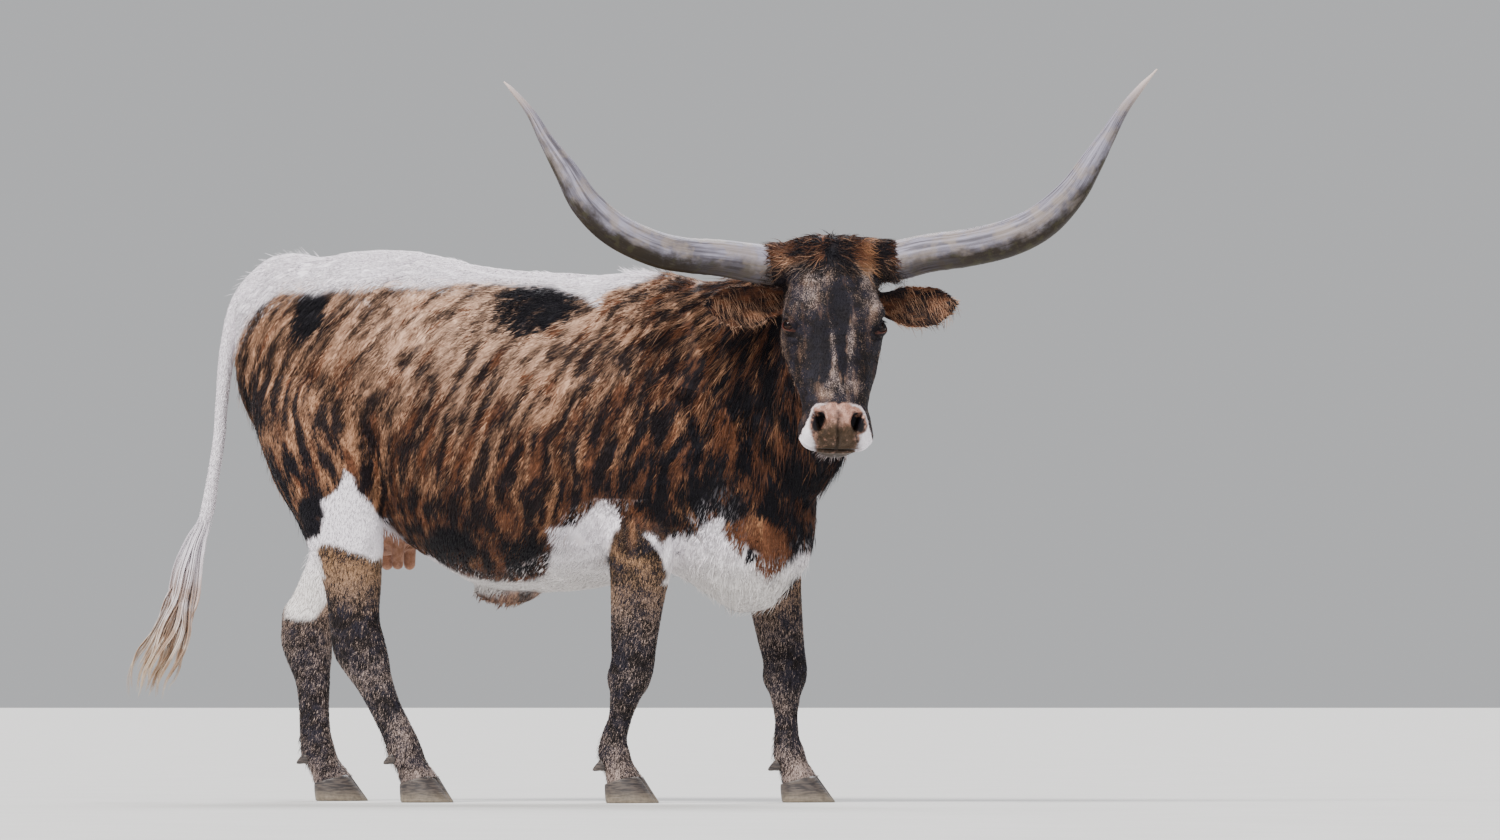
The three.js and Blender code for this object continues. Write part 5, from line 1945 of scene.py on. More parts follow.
# rows of the coat's tones: x, z, share of dark stripes, share of rust, ground from cream 0 to tan 1
TONES: tuple[Row, ...] = (
    (-600, 1130, 0.14, 0.20, 0.75), (-640, 1020, 0.62, 0.30, 0.8), (-590, 900, 0.66, 0.35, 0.85),
    (-530, 780, 0.72, 0.35, 0.85), (-480, 880, 0.5, 0.4, 0.85), (-430, 1120, 0.16, 0.25, 0.6),
    (-430, 960, 0.40, 0.45, 0.85), (-430, 800, 0.50, 0.75, 1.0), (-250, 1160, 0.16, 0.20, 0.25),
    (-250, 1020, 0.36, 0.45, 0.55), (-250, 850, 0.47, 0.75, 0.9), (-200, 700, 0.50, 0.92, 1.0),
    (-60, 1140, 0.22, 0.15, 0.1), (-60, 960, 0.38, 0.45, 0.5), (-60, 800, 0.47, 0.78, 0.88),
    (-60, 650, 0.44, 0.95, 1.0), (120, 1130, 0.20, 0.20, 0.15), (120, 960, 0.42, 0.50, 0.6),
    (120, 800, 0.49, 0.80, 0.9), (120, 650, 0.46, 0.95, 1.0), (330, 1130, 0.30, 0.35, 0.3),
    (330, 930, 0.48, 0.72, 0.85), (330, 700, 0.54, 0.85, 1.0), (450, 1100, 0.50, 0.75, 0.85),
    (450, 800, 0.62, 0.85, 0.95), (620, 1080, 0.60, 0.90, 0.95), (620, 800, 0.68, 0.95, 1.0),
    (760, 1050, 0.64, 0.95, 0.95), (760, 800, 0.72, 0.95, 1.0),
)


def drawn_near(rows: Sequence[Row], x: Array, z: Array, reach: float) -> Array:
    """Blends rows of numbers by how near their places are.

    Args:
        rows: x and z of each row, then its numbers.
        x: where the numbers are wanted, along the body.
        z: and up.
        reach: how far a row is felt, in millimetres.

    Returns:
        One row of numbers for each place.
    """
    table = np.asarray(rows, float)
    away = (x[:, None] - table[:, 0]) ** 2 + (z[:, None] - table[:, 1]) ** 2
    weight = np.exp(-away / (2 * reach**2)) + 1e-7 / (1 + away / reach**2)
    return weight @ table[:, 2:] / weight.sum(1, keepdims=True)


@dataclass
class Growth:
    """What is known of the coat at each point: its lie, its masks and its tones."""

    lie: Array
    grain: Array
    # On the muzzle the dark mask also carries painted shade in the nostrils, along the mouth's crease and
    # round the lips.
    patches: Array  # white, dark, salt and pepper
    tones: Array  # share of dark stripes, share of rust, ground from cream to tan
    bare: Array  # pink skin, green stain, red rim


class Markings:
    """The animal's markings and the lie of her hair, as fields over the skin."""

    GRAIN = np.array([1 / 25.0, 1 / 42.0, 1 / 105.0])  # how fine the stripes are, across, round and along

    def __call__(self, points: Array, normals: Array, region: Array) -> Growth:
        """Works out the coat at points.

        Args:
            points: the points, in millimetres.
            normals: the skin's normals there.
            region: the points' regions.

        Returns:
            What grows at each point.
        """
        local = FACE.into(points)
        lie = self.lie(points, normals, region, local)
        x, y, z = points.T
        slope = np.radians(drawn_near(SLOPES, x, z, 150.0)[:, 0])
        warp = 42 * Noise.layered(points, 190.0, 11, 2)
        across = x + warp - np.tan(slope) * (z - 900) * 0.92
        grain = np.stack([across, y, z + 0.35 * warp], axis=1) * self.GRAIN
        is_head = (region == Region.HEAD)[:, None]
        ears = np.isin(region, [Region.EAR_RIGHT, Region.EAR_LEFT])[:, None]
        face_grain = np.stack([local[:, 0] / 17, local[:, 2] / 60, local[:, 1] / 90], axis=1)
        ear_grain = np.stack([local[:, 0] / 40, local[:, 2] / 40, local[:, 1] / 22], axis=1)
        grain = np.where(is_head, face_grain, np.where(ears, ear_grain, grain))
        patches, tones, bare = self.body_fields(points, region)
        face = self.face_fields(local, points)
        ear = self.ear_fields(local, normals)
        for made, on_face, on_ear in zip((patches, tones, bare), face, ear):
            made[:] = np.where(is_head, on_face, np.where(ears, on_ear, made))
        return Growth(lie, grain, patches, tones, bare)

    @staticmethod
    def lie(points: Array, normals: Array, region: Array, local: Array) -> Array:
        """Finds the way that the hair lies, along the skin.

        Args:
            points: the points, in millimetres.
            normals: the skin's normals there.
            region: the points' regions.
            local: the same points in the face's frame.

        Returns:
            One direction of length one for each point.
        """
        x, _, z = points.T
        slope = np.radians(drawn_near(SLOPES, x, z, 150.0)[:, 0] + 9)
        way = np.stack([-np.sin(slope), 0 * x, -np.cos(slope)], axis=1)
        legs = (region >= Region.FORE_RIGHT) & (region <= Region.HIND_LEFT) & (z < 640)
        way[legs] = [-0.22, 0.0, -1.0]
        tail = region == Region.TAIL
        _, share = Route(TAIL.path).gap(points[tail], 60)
        way[tail] = Route(TAIL.path).way(share)
        lx, ly, _ = local.T
        low = ease(-ly, 70, 150)
        stray = 0.7 * Noise.layered(points, 34.0, 23, 2)
        poll = np.stack(
            [1.1 * np.tanh((lx + 6) / 55) + stray, -0.15 + 0 * lx, -0.4 - 0.3 * np.abs(lx) / 100],
            axis=1,
        )
        low_face = np.stack([0.0025 * lx, -1 + 0 * lx, -0.25 + 0 * lx], axis=1)
        face = poll * (1 - low)[:, None] + low_face * low[:, None]
        muzzle = ease(-ly, 405, 470)[:, None]
        face = face * (1 - muzzle) + np.stack([lx / 80, 0.15 + 0 * lx, -0.8 + 0 * lx], axis=1) * muzzle
        head = region == Region.HEAD
        way[head] = FACE.turn(face)[head]
        for side, mine in ((Side.RIGHT, Region.EAR_RIGHT), (Side.LEFT, Region.EAR_LEFT)):
            ear = region == mine
            way[ear] = FACE.turn(np.array([side.sign * 1.0, -0.25, 0.0]))
        swirl = 0.22 * Noise.layered(points, 75.0, 21, 2)
        way = way + np.cross(normals, unit(way)) * swirl[:, None]
        flat = way - normals * np.einsum("ij,ij->i", way, normals)[:, None]
        backwards = np.array([-1.0, 0.0, -0.2])
        spare = backwards - normals * (normals @ backwards)[:, None]
        weak = np.linalg.norm(flat, axis=1) < 0.08
        return unit(np.where(weak[:, None], spare, flat))

    def body_fields(self, points: Array, region: Array) -> tuple[Array, Array, Array]:
        """Gives the body's masks, tones and bare skin.

        Args:
            points: the points, in millimetres.
            region: their regions.

        Returns:
            The three fields, three numbers to a point.
        """
        x, y, z = points.T
        legs = (region >= Region.FORE_RIGHT) & (region <= Region.HIND_LEFT)
        rough = Noise.layered(points, 34.0, 31, 3)
        far = (y > 0) & ~legs
        along = 0.951 * x + 0.309 * np.where(far, -y, y) + 6 * rough
        along = along + far * (24 + 36 * Noise.layered(points, 260.0, 41, 2))
        up = z + 5 * Noise.layered(points, 30.0, 32, 3) + far * 26 * Noise.layered(points, 240.0, 42, 2)
        right = y < 20
        torso = np.isin(region, [Region.TRUNK, Region.NECK, Region.UDDER])
        high = z > 1000
        white = BACK_STRIP.covers(along, up) * high * (torso | (region == Region.HIND_RIGHT))
        white = np.maximum(white, (region == Region.TAIL) * 1.0)
        hind_right = (region == Region.HIND_RIGHT) | (torso & (x < -150))
        white = np.maximum(white, THIGH_PATCH.covers(along, up) * hind_right * (right | torso))
        fore = np.isin(region, [Region.FORE_RIGHT, Region.FORE_LEFT])
        white = np.maximum(
            white,
            BELLY.covers(along, up) * (torso | ((region == Region.FORE_RIGHT) & (z > 585))) * (x < 330),
        )
        white = np.maximum(white, ARM_TRIANGLE.covers(along, up) * (fore | torso) * (right | torso))
        white = np.maximum(white, BRISKET.covers(along, up) * (torso | (fore & (z > 520))) * (x > 330))
        white = np.maximum(white, FAR_HIND.covers(along, up) * (region == Region.HIND_LEFT))
        under = torso & (z < 600) & (x < 560)
        white = np.maximum(white, under * ease(np.abs(y + 8 * rough), 122, 96) * 1.0)
        inner_thigh = (
            (region == Region.HIND_LEFT) * ease(z, 545, 585) * ease(z, 840, 780)
            * ease(y + 12 * rough, 132, 104)
        )
        white = np.maximum(white, inner_thigh)
        dark = np.zeros(len(points))
        halo = np.zeros(len(points))
        for at, height, wide, tall in BLOTS:
            slant = 0.35 * (up - height) * (height > 1000)
            away = np.hypot((along - at - slant) / wide, (up - height) / tall)
            deep = 0.78 if height > 1000 else 1.0
            dark = np.maximum(dark, deep * (1 - ease(away + 0.22 * rough, 0.66, 1.02)))
            halo = np.maximum(
                halo, (1.0 if height > 1000 else 0.55) * (1 - ease(away + 0.22 * rough, 0.8, 1.4))
            )
        dark *= torso | ((region == Region.HIND_RIGHT) & (z > 600))
        white *= 1 - dark * (z < 900)
        navel = torso * ease(z, 516, 502) * ease(np.abs(x + 32), 100, 84)
        white *= 1 - 0.93 * navel
        tones = drawn_near(TONES, x, z, 120.0)
        tones[:, 0] = np.maximum(tones[:, 0], 0.9 * halo)
        tones = tones * (1 - navel)[:, None] + navel[:, None] * np.array([0.25, 0.6, 0.85])
        rust = BRISKET_RUST.covers(along, up) * torso
        tones[:, 0] *= 1 - 0.9 * rust
        tones[:, 1] = np.maximum(tones[:, 1], 0.97 * rust)
        roan = legs * ease(z, 700, 560)
        roan = np.where(region == Region.HIND_RIGHT, legs * ease(up, 640, 600), roan)
        low = ease(z, 600, 330)
        leg_warm = 0.75 * (1 - low) + 0.25
        leg_dark = 0.40 + 0.22 * low + 0.2 * Noise.layered(points, 60.0, 51, 3)
        knee = np.exp(-(((z - 320) / 46) ** 2)) * fore
        band = (
            np.exp(-((((z - 590) - 0.75 * (x - 610)) / 26) ** 2)) * (region == Region.FORE_LEFT)
            * (z > 420)
        )
        hock = np.exp(-(((z - 430) / 40) ** 2)) * (region == Region.HIND_RIGHT)
        leg_dark = leg_dark + 0.12 * knee + 0.5 * band + 0.2 * hock
        arm_dark = fore * ease(z, 480, 600) * ease(np.abs(Noise.layered(points, 90.0, 61, 1)), 0.1, 0.5)
        leg_dark = leg_dark + 0.3 * arm_dark
        leg_dark = leg_dark - 0.16 * ease(z, 150, 60)
        mixed = ease(roan, 0.2, 0.8)[:, None]
        leg_tones = np.stack([np.clip(leg_dark, 0.05, 0.97), 0.1 + 0 * z, leg_warm], axis=1)
        tones = tones * (1 - mixed) + leg_tones * mixed
        bare = np.zeros((len(points), 3))
        udder = region == Region.UDDER
        bare[:, 0] = udder * 0.5
        tones[udder] = [0.05, 0.1, 1.0]
        white = np.where(udder, 0, white)
        patches = np.stack([white, dark, roan], axis=1)
        return patches, tones, bare

    @staticmethod
    def face_fields(local: Array, points: Array) -> tuple[Array, Array, Array]:
        """Gives the head's masks, tones and bare skin.

        Args:
            local: the points in the face's frame.
            points: the same points in the maker's frame.

        Returns:
            The three fields, three numbers to a point.
        """
        rough = Noise.layered(points, 16.0, 71, 3)
        x, up, out = local.T
        down = -up + 4 * rough
        x = x + 3 * rough
        places = np.stack([x, down, np.zeros(len(x))], axis=1)
        front = out > -120

        def blot(at: float, low: float, wide: float, tall: float, soft: float = 0.3) -> Array:
            """Gives how far a spot on the front of the face covers the points."""
            return Spot("blot", (at, low, 0), (wide, tall, 1), soft).covers(places) * front

        dark_share = 0.77 + 0.16 * Noise.layered(points, 26.0, 73, 2)
        rust = np.full(len(x), 0.42)
        warm = np.full(len(x), 0.65)
        pepper = np.full(len(x), 0.8)
        poll = ease(down, 100, 62)
        rust = rust + 0.45 * poll
        dark_share = dark_share - 0.2 * poll
        pepper = pepper - 0.8 * poll
        speckled = np.maximum.reduce(
            [
                blot(-74, 158, 42, 46, 0.7),
                blot(90, 163, 34, 48, 0.7),
                blot(-52, 112, 44, 24, 0.7),
                blot(70, 112, 30, 24, 0.7),
                blot(-10, 280, 9, 110, 0.6),
                blot(32, 290, 11, 110, 0.6),
                blot(-10, 370, 16, 40, 0.7),
                blot(4, 388, 60, 34, 0.7),
            ]
        )
        dark_share = dark_share - 0.2 * speckled
        pepper = np.maximum(pepper, 0.95 * speckled)
        warm = warm - 0.45 * speckled
        navy = np.maximum.reduce([blot(12, 270, 12, 110), blot(-40, 300, 24, 80), blot(8, 196, 24, 60)])
        dark_share = np.clip(dark_share + 0.25 * navy, 0, 1)
        pepper = pepper * (1 - 0.6 * navy)
        orange = np.maximum.reduce([blot(68, 54, 25, 48, 0.3), 0.8 * blot(-86, 66, 28, 12, 0.5)])
        orange = np.maximum(orange, 0.35 * blot(-16, 128, 9, 34, 0.9))
        dark_share = dark_share * (1 - 0.85 * orange)
        rust = rust * (1 - 0.4 * orange)
        warm = np.maximum(warm, orange)
        cheek = ease(out, -60, -110) * ease(down, 110, 180)
        dark_share = dark_share - 0.14 * cheek
        rust = rust + 0.2 * cheek
        edge = 434 + 5 * ease(np.abs(x), 6, 0) + 66 * ease(np.abs(x), 50, 88)
        muzzle = ease(down, edge - 3, edge + 3) * ease(out, -175, -150)
        pad = 57 + 9 * np.exp(-(((down - 474) / 24) ** 2)) - 11 * ease(down, 498, 530)
        sides = ease(np.abs(x) + 7 * rough, pad - 5, pad + 5) * muzzle
        chin = ease(out, -92, -98) * muzzle
        rim = ease(down + 9 * rough, edge + 13, edge + 3) * muzzle * ease(np.abs(x), 14, 40)
        white = np.maximum.reduce([0.96 * sides * (out > -110), 0.75 * rim, 0.6 * chin])
        pink = muzzle * (1 - white)
        green = muzzle * ease(down + 6 * rough, 464, 496) * ease(np.abs(x) + 5 * rough, 70, 38)
        green = np.maximum(green, 0.7 * chin * ease(np.abs(x), 66, 30))
        under = ease(out, -120, -150) * (1 - muzzle)
        rust = rust + 0.2 * under
        red = np.zeros(len(x))
        for side in Side:
            eye = EyeSetting(side)
            away = (local - eye.centre) @ eye.axes().T
            share = (np.abs(away[:, 1] / eye.long) ** 1.8 + np.abs(away[:, 2] / eye.high) ** 2) ** 0.5
            rim_share = (1 - ease(share, 1.1, 1.26)) * ease(away[:, 2], 4, -4)
            red = np.maximum(red, rim_share * (away[:, 0] > -6))
        # Painted shade: the inside of each sunken nostril is darkened.
        inside = np.zeros(len(x))
        for side in Side:
            away = local - np.array([side.sign * 45.0, -474.0, -28.0])
            away = away + np.array([side.sign * 0.3, 0.0, 0.0]) * away[:, 1:2]
            inside = np.maximum(inside, 1 - ease(np.linalg.norm(away / [17, 28, 32], axis=1), 0.74, 1.0))
        # Painted shade: a dark line along the crease of the mouth.
        mouth = np.exp(-(((out + 94 - 0.25 * (down - 455)) / 2.6) ** 2)) * ease(down, 440, 452)
        middle = (
            (0.42 + 0.25 * rough) * np.exp(-((x / 6.5) ** 2)) * ease(down, 448, 458)
            * ease(down, 540, 528)
        )
        wing = np.zeros(len(x))
        for side in Side:
            past = (side.sign * x - 45 - 0.30 * (474 - down)) / 15
            wing = np.maximum(wing, np.exp(-((past - 0.8) ** 2)) * ease(np.abs(down - 478), 32, 16))
            drawn = np.abs(side.sign * x - 40 - 0.55 * (down - 500)) / 3.2
            wing = np.maximum(wing, 0.8 * np.exp(-(drawn**2)) * ease(down, 494, 502) * ease(down, 534, 522))
        dotted = ease(Noise.layered(points, 5.0, 77, 1), -0.35, 0.25)
        wing = 0.8 * wing * dotted
        # Painted shade: a dark band round the lips, following the mouth's line.
        lips = (
            0.85 * np.exp(-(((out + 92 - 0.25 * (down - 455)) / 7) ** 2)) * ease(np.abs(x), 44, 26)
            * ease(down, 505, 520)
        )
        # Dark marks of the muzzle together with its painted shade.
        dark = np.maximum.reduce(
            [inside * muzzle, red * 0.3, 0.9 * mouth, middle * muzzle, wing * muzzle, lips * muzzle]
        )
        pink = pink * (1 - 0.2 * inside)
        patches = np.stack([white, dark, np.clip(pepper, 0, 1) * (1 - muzzle)], axis=1)
        tones = np.stack([np.clip(dark_share, 0.02, 0.99), np.clip(rust, 0, 1), np.clip(warm, 0, 1)], axis=1)
        return patches, tones, np.stack([np.maximum(pink, red), green, red], axis=1)

    @staticmethod
    def ear_fields(local: Array, normals: Array) -> tuple[Array, Array, Array]:
        """Gives the ears' masks, tones and bare skin.

        Args:
            local: the points in the face's frame.
            normals: the skin's normals in the maker's frame.

        Returns:
            The three fields, three numbers to a point.
        """
        facing = FACE.turn_into(normals)[:, 2]
        cup = ease(facing, 0.0, 0.5)
        share = (np.abs(local[:, 0]) - 96) / 204
        tip = ease(share, 0.86, 0.98)
        dark = 0.54 - 0.02 * cup + 0.35 * tip
        tones = np.stack([dark, 0.75 + 0.15 * cup, 0.85 + 0 * cup], axis=1)
        patches = np.stack([0 * cup, 0 * cup, 0 * cup], axis=1)
        return patches, tones, np.zeros((len(local), 3))


# Colours and finishes


def linear(red: int, green: int, blue: int) -> Row:
    """Turns a colour of 0 to 255 into Blender's linear colour."""
    parts = [c / 255 for c in (red, green, blue)]
    return (*(c / 12.92 if c <= 0.04045 else ((c + 0.055) / 1.055) ** 2.4 for c in parts), 1.0)


class Hair(Enum):
    """The colours of the coat and of the bare skin."""

    BLACK = (12, 9, 17)
    BROWN = (62, 38, 28)
    RUST = (114, 71, 48)
    TAN = (164, 116, 82)
    CREAM = (226, 188, 162)
    WHITE = (250, 243, 250)
    # partly dirt, partly a painted reflection of the green ground on the low white
    DULL_WHITE = (206, 204, 176)
    GREY_HAIR = (170, 154, 150)
    FAWN_HAIR = (158, 122, 90)
    SLATE = (25, 19, 20)
    NAVY = (35, 32, 41)
    PINK = (196, 152, 134)
    DEEP_PINK = (150, 108, 92)
    FRECKLE = (78, 58, 62)
    GREEN = (36, 29, 7)
    RED = (74, 34, 28)

    def paint(self) -> Row:
        """Gives the colour for a node."""
        return linear(*self.value)


class CoatGroup(Tree):
    """The shared group that paints the markings from the attributes of skin and coat."""

    NAME = "coat_markings"
    ROUGH = 0.55  # of its noises
    STRAND = (18.0, 30.0, 7.0)  # how much finer the strands are than the stripes
    ASIDE = (7.3, 3.1, 5.7)  # sets the rust's noise apart from the stripes'
    STRIPES = (-0.40, 0.665)  # turns a share of dark stripes into the noise's limit
    RUST = (-0.36, 0.68)  # and a share of rust
    FLECKS = (0.8, 0.5)  # and a share of dark among salt and pepper

    def __init__(self) -> None:
        """Builds the group, with a colour, a roughness and a height as its outputs."""
        super().__init__(self.NAME, "ShaderNodeTree")
        self.takes("Hair size", "float", 420.0)
        self.takes("Hair contrast", "float", 0.3)
        self.gives("Colour", "colour")
        self.gives("Roughness", "float")
        self.gives("Height", "float")
        self.pick = self.attribute("pick", "Fac")
        self.spot = self.place()
        grain = self.attribute("grain")
        white, dark, pepper = self.parts(self.attribute("patches"))
        stripes, rust, warm = self.parts(self.attribute("tones"))
        pink, green, red = self.parts(self.attribute("bare"))
        strand = self.noise(self.stretched(grain, self.STRAND), 1.0, 2.0, self.ROUGH)
        speck = self.noise(self.spot, self.entry.outputs["Hair size"], 1.0, self.ROUGH)
        colour = self.brindle(grain, strand, (stripes, rust, warm))
        colour = self.mix(pepper, colour, self.salted(speck, strand, stripes, warm))
        colour = self.mix(dark, colour, Hair.BLACK.paint())
        colour = self.whitened(colour, white)
        colour = self.nose(colour, (pink, green, red), dark)
        mottle = self.line(strand, 0.75, self.times(speck, 0.25))
        lively = self.times(self.minus(mottle, 0.5), self.entry.outputs["Hair contrast"])
        plain = self.minus(1.0, self.times(white, 0.7))
        value = self.line(self.plus(lively, self.line(self.pick, 0.16, -0.08)), plain, 1.0)
        colour = self.node("ShaderNodeHueSaturation", {"Value": value, "Color": colour}).outputs[0]
        self.ends(Colour=colour, Roughness=self.minus(0.62, self.times(pink, 0.22)), Height=strand)

    def brindle(self, grain: Socket, strand: Socket, tones: Sequence[Socket]) -> Socket:
        """Paints rust and dark stripes over the ground.

        Args:
            grain: where the stripes' noise is read.
            strand: the fine noise of single strands.
            tones: shares of dark stripes and rust, and how warm the ground is.

        Returns:
            The colour.
        """
        stripes, rust, warm = tones
        black, brown = Hair.BLACK.paint(), Hair.BROWN.paint()
        loose = self.line(strand, 0.22, self.line(self.pick, 0.13, -0.175))
        colour = self.mix(warm, Hair.CREAM.paint(), Hair.TAN.paint())
        shifted = self.vector("ADD", {0: grain, 1: self.ASIDE})
        rusty = self.plus(self.noise(shifted, 0.8, 3.0, self.ROUGH), loose)
        limit = self.line(rust, *self.RUST)
        colour = self.mix(self.step(rusty, limit, self.plus(limit, 0.10)), colour, Hair.RUST.paint())
        striped = self.plus(self.noise(grain, 1.0, 4.0, self.ROUGH), loose)
        limit = self.line(stripes, *self.STRIPES)
        edge = self.step(striped, self.minus(limit, 0.14), limit)
        colour = self.mix(self.times(edge, 0.72), colour, brown)
        core = self.step(striped, self.minus(limit, 0.02), self.plus(limit, 0.08))
        return self.mix(self.times(core, self.line(stripes, 0.6, 0.64)), colour, black)

    def salted(self, speck: Socket, strand: Socket, stripes: Socket, warm: Socket) -> Socket:
        """Paints the roan: dark hair with pale hairs among it.

        Args:
            speck: the finest noise.
            strand: the fine noise of single strands.
            stripes: the share of dark.
            warm: how warm the pale hairs are.

        Returns:
            The colour.
        """
        fleck = self.line(speck, 0.8, self.times(self.pick, 0.5))
        fleck = self.line(strand, 0.4, fleck)
        limit = self.line(stripes, *self.FLECKS)
        flecked = self.step(fleck, self.minus(limit, 0.14), self.plus(limit, 0.14))
        pale = self.mix(warm, Hair.GREY_HAIR.paint(), Hair.FAWN_HAIR.paint())
        cloud = self.step(self.noise(self.spot, 34.0, 2.0, self.ROUGH), 0.38, 0.62)
        return self.mix(flecked, self.mix(cloud, Hair.SLATE.paint(), Hair.NAVY.paint()), pale)

    def whitened(self, colour: Socket, white: Socket) -> Socket:
        """Lays the white on, tinted a dull greenish yellow low down: partly dirt, partly a painted
        reflection of the green ground.

        Args:
            colour: the coat's colour.
            white: the share of white.

        Returns:
            The colour.
        """
        colour = self.mix(white, colour, Hair.WHITE.paint())
        # Dirt and painted reflection: the white turns a dull greenish yellow from 0.64 m down to 0.5 m above
        # the floor.
        low = self.times(self.step(self.parts(self.spot)[2], 0.64, 0.50), white)
        return self.mix(self.times(low, 0.35), colour, Hair.DULL_WHITE.paint())

    def nose(self, colour: Socket, bare: Sequence[Socket], dark: Socket) -> Socket:
        """Paints the bare skin: pink with freckles, a green stain, dark marks with painted shade, and the
        red rims of the eyes.

        Args:
            colour: the coat's colour.
            bare: shares of pink skin, green stain and red rim.
            dark: the share of dark, which on the muzzle includes painted shade in the nostrils, along the
                mouth's crease and round the lips.

        Returns:
            The colour.
        """
        pink, green, red = bare
        blotch = self.step(self.noise(self.spot, 60.0, 3.0, self.ROUGH), 0.4, 0.62)
        skin = self.mix(blotch, Hair.PINK.paint(), Hair.DEEP_PINK.paint())
        freckle = self.step(self.noise(self.spot, 420.0, 2.0, self.ROUGH), 0.54, 0.6)
        skin = self.mix(self.times(freckle, 0.6), skin, Hair.FRECKLE.paint())
        colour = self.mix(self.times(pink, self.minus(1.0, dark)), colour, skin)
        stain = self.times(green, self.step(self.noise(self.spot, 90.0, 3.0, self.ROUGH), 0.18, 0.46))
        colour = self.mix(self.times(stain, 0.9), colour, Hair.GREEN.paint())
        # The muzzle's dark marks and painted shade laid over the bare skin.
        colour = self.mix(self.times(dark, self.times(pink, 0.9)), colour, Hair.BLACK.paint())
        return self.mix(red, colour, Hair.RED.paint())


@dataclass(frozen=True)
class CoatFinish:
    """The finish of the skin or of the hair on it."""

    name: str
    hair_size: float
    contrast: float
    bump: float
    sheen: float = 0.02

    def material(self) -> Material:
        """Makes the material."""
        paint = Paint(self.name, Sheen_Weight=self.sheen, Sheen_Roughness=0.4, Specular_IOR_Level=0.16)
        inputs = {"Hair size": self.hair_size, "Hair contrast": self.contrast}
        group = paint.node("ShaderNodeGroup", inputs, node_tree=bpy.data.node_groups[CoatGroup.NAME])
        return paint.done(*group.outputs[:3], (self.bump, 0.002))


@dataclass(frozen=True)
class HornFinish:
    """Weathered horn: grey white with dark olive stripes, partly its own striation and partly painted shade
    on the side that faces down; pale at the tip.
    """

    name: str = "horn_finish"
    rough: float = 0.6  # of its noises

    def material(self) -> Material:
        """Makes the material from the horn's own attributes."""
        paint = Paint(self.name, Specular_IOR_Level=0.16)
        run, place = paint.attribute("run"), paint.place()
        along, _, below = paint.parts(run)
        streak = paint.noise(paint.stretched(run, (5.0, 26.0, 0.0)), 1.0, 4.0, self.rough)
        colour = paint.mix(paint.step(streak, 0.35, 0.65), linear(84, 80, 88), linear(156, 152, 168))
        cloudy = paint.step(paint.noise(place, 22.0, 3.0, self.rough), 0.42, 0.62)
        colour = paint.mix(paint.times(cloudy, 0.5), colour, linear(150, 136, 122))
        drawn = paint.noise(paint.stretched(run, (22.0, 9.0, 0.0)), 1.0, 5.0, self.rough)
        # Painted shade: the dark olive stripes grow with how far the surface faces down, most along the
        # middle of the horn.
        low = paint.step(paint.line(streak, 1.0, paint.line(drawn, 1.3, below)), 0.95, 1.7)
        middle = paint.times(paint.step(along, 0.04, 0.3), paint.step(along, 0.86, 0.62))
        low = paint.times(low, paint.line(middle, 0.4, 0.56))
        colour = paint.mix(low, colour, linear(36, 28, 16))
        # An olive mottle, drawn only within that painted shade of the underside.
        shaded_olive_mottle = paint.step(paint.noise(place, 40.0, 3.0, self.rough), 0.5, 0.66)
        colour = paint.mix(paint.times(shaded_olive_mottle, paint.times(low, 0.3)), colour, linear(78, 76, 50))
        colour = paint.mix(paint.step(along, 0.78, 1.0), colour, linear(206, 188, 180))
        base = paint.times(paint.step(along, 0.12, 0.02), 0.45)
        colour = paint.mix(base, colour, linear(150, 132, 112))
        speck = paint.step(paint.noise(place, 260.0, 2.0, self.rough), 0.66, 0.72)
        colour = paint.mix(paint.times(speck, 0.35), colour, linear(96, 82, 70))
        return paint.done(colour, paint.line(streak, 0.25, 0.44), streak, (0.35, 0.002))


@dataclass(frozen=True)
class HoofFinish:
    """Dull dark hoof horn, paler and dusty towards the floor."""

    name: str = "hoof_finish"

    def material(self) -> Material:
        """Makes the material."""
        paint = Paint(self.name)
        place = paint.place()
        rings = paint.noise(paint.stretched(place, (0.15, 0.15, 1.0)), 260.0, 3.0)
        colour = paint.mix(paint.step(rings, 0.38, 0.62), linear(46, 40, 40), linear(84, 74, 68))
        dusty = paint.times(paint.step(paint.parts(place)[2], 0.035, 0.0), paint.noise(place, 120.0, 4.0))
        colour = paint.mix(dusty, colour, linear(150, 136, 116))
        return paint.done(colour, paint.line(rings, 0.2, 0.42), rings, (0.5, 0.002))


@dataclass(frozen=True)
class EyeFinish:
    """A wet dark eye: brown iris, a wide dark pupil and bluish edges."""

    name: str = "eye_finish"

    def material(self) -> Material:
        """Makes the material from the eye's own attribute."""
        paint = Paint(self.name, Specular_IOR_Level=0.14, Coat_Weight=0.05, Coat_Roughness=0.03)
        look = paint.attribute("look")
        _, long, high = paint.parts(look)
        flat = paint.maths("SQRT", paint.plus(paint.times(long, long), paint.times(high, high)))
        wide = paint.times(long, 0.6)
        pupil = paint.maths("SQRT", paint.plus(paint.times(wide, wide), paint.times(high, high)))
        wave = paint.noise(look, 5.0, 3.0)
        colour = paint.mix(paint.step(wave, 0.3, 0.7), linear(20, 10, 8), linear(44, 23, 14))
        colour = paint.mix(paint.step(pupil, 0.27, 0.21), colour, linear(8, 7, 10))
        colour = paint.mix(paint.step(flat, 0.66, 0.76), colour, linear(24, 17, 19))
        colour = paint.mix(paint.step(flat, 0.86, 0.98), colour, linear(84, 44, 36))
        return paint.done(colour, 0.1, wave, (0.03, 0.0003))


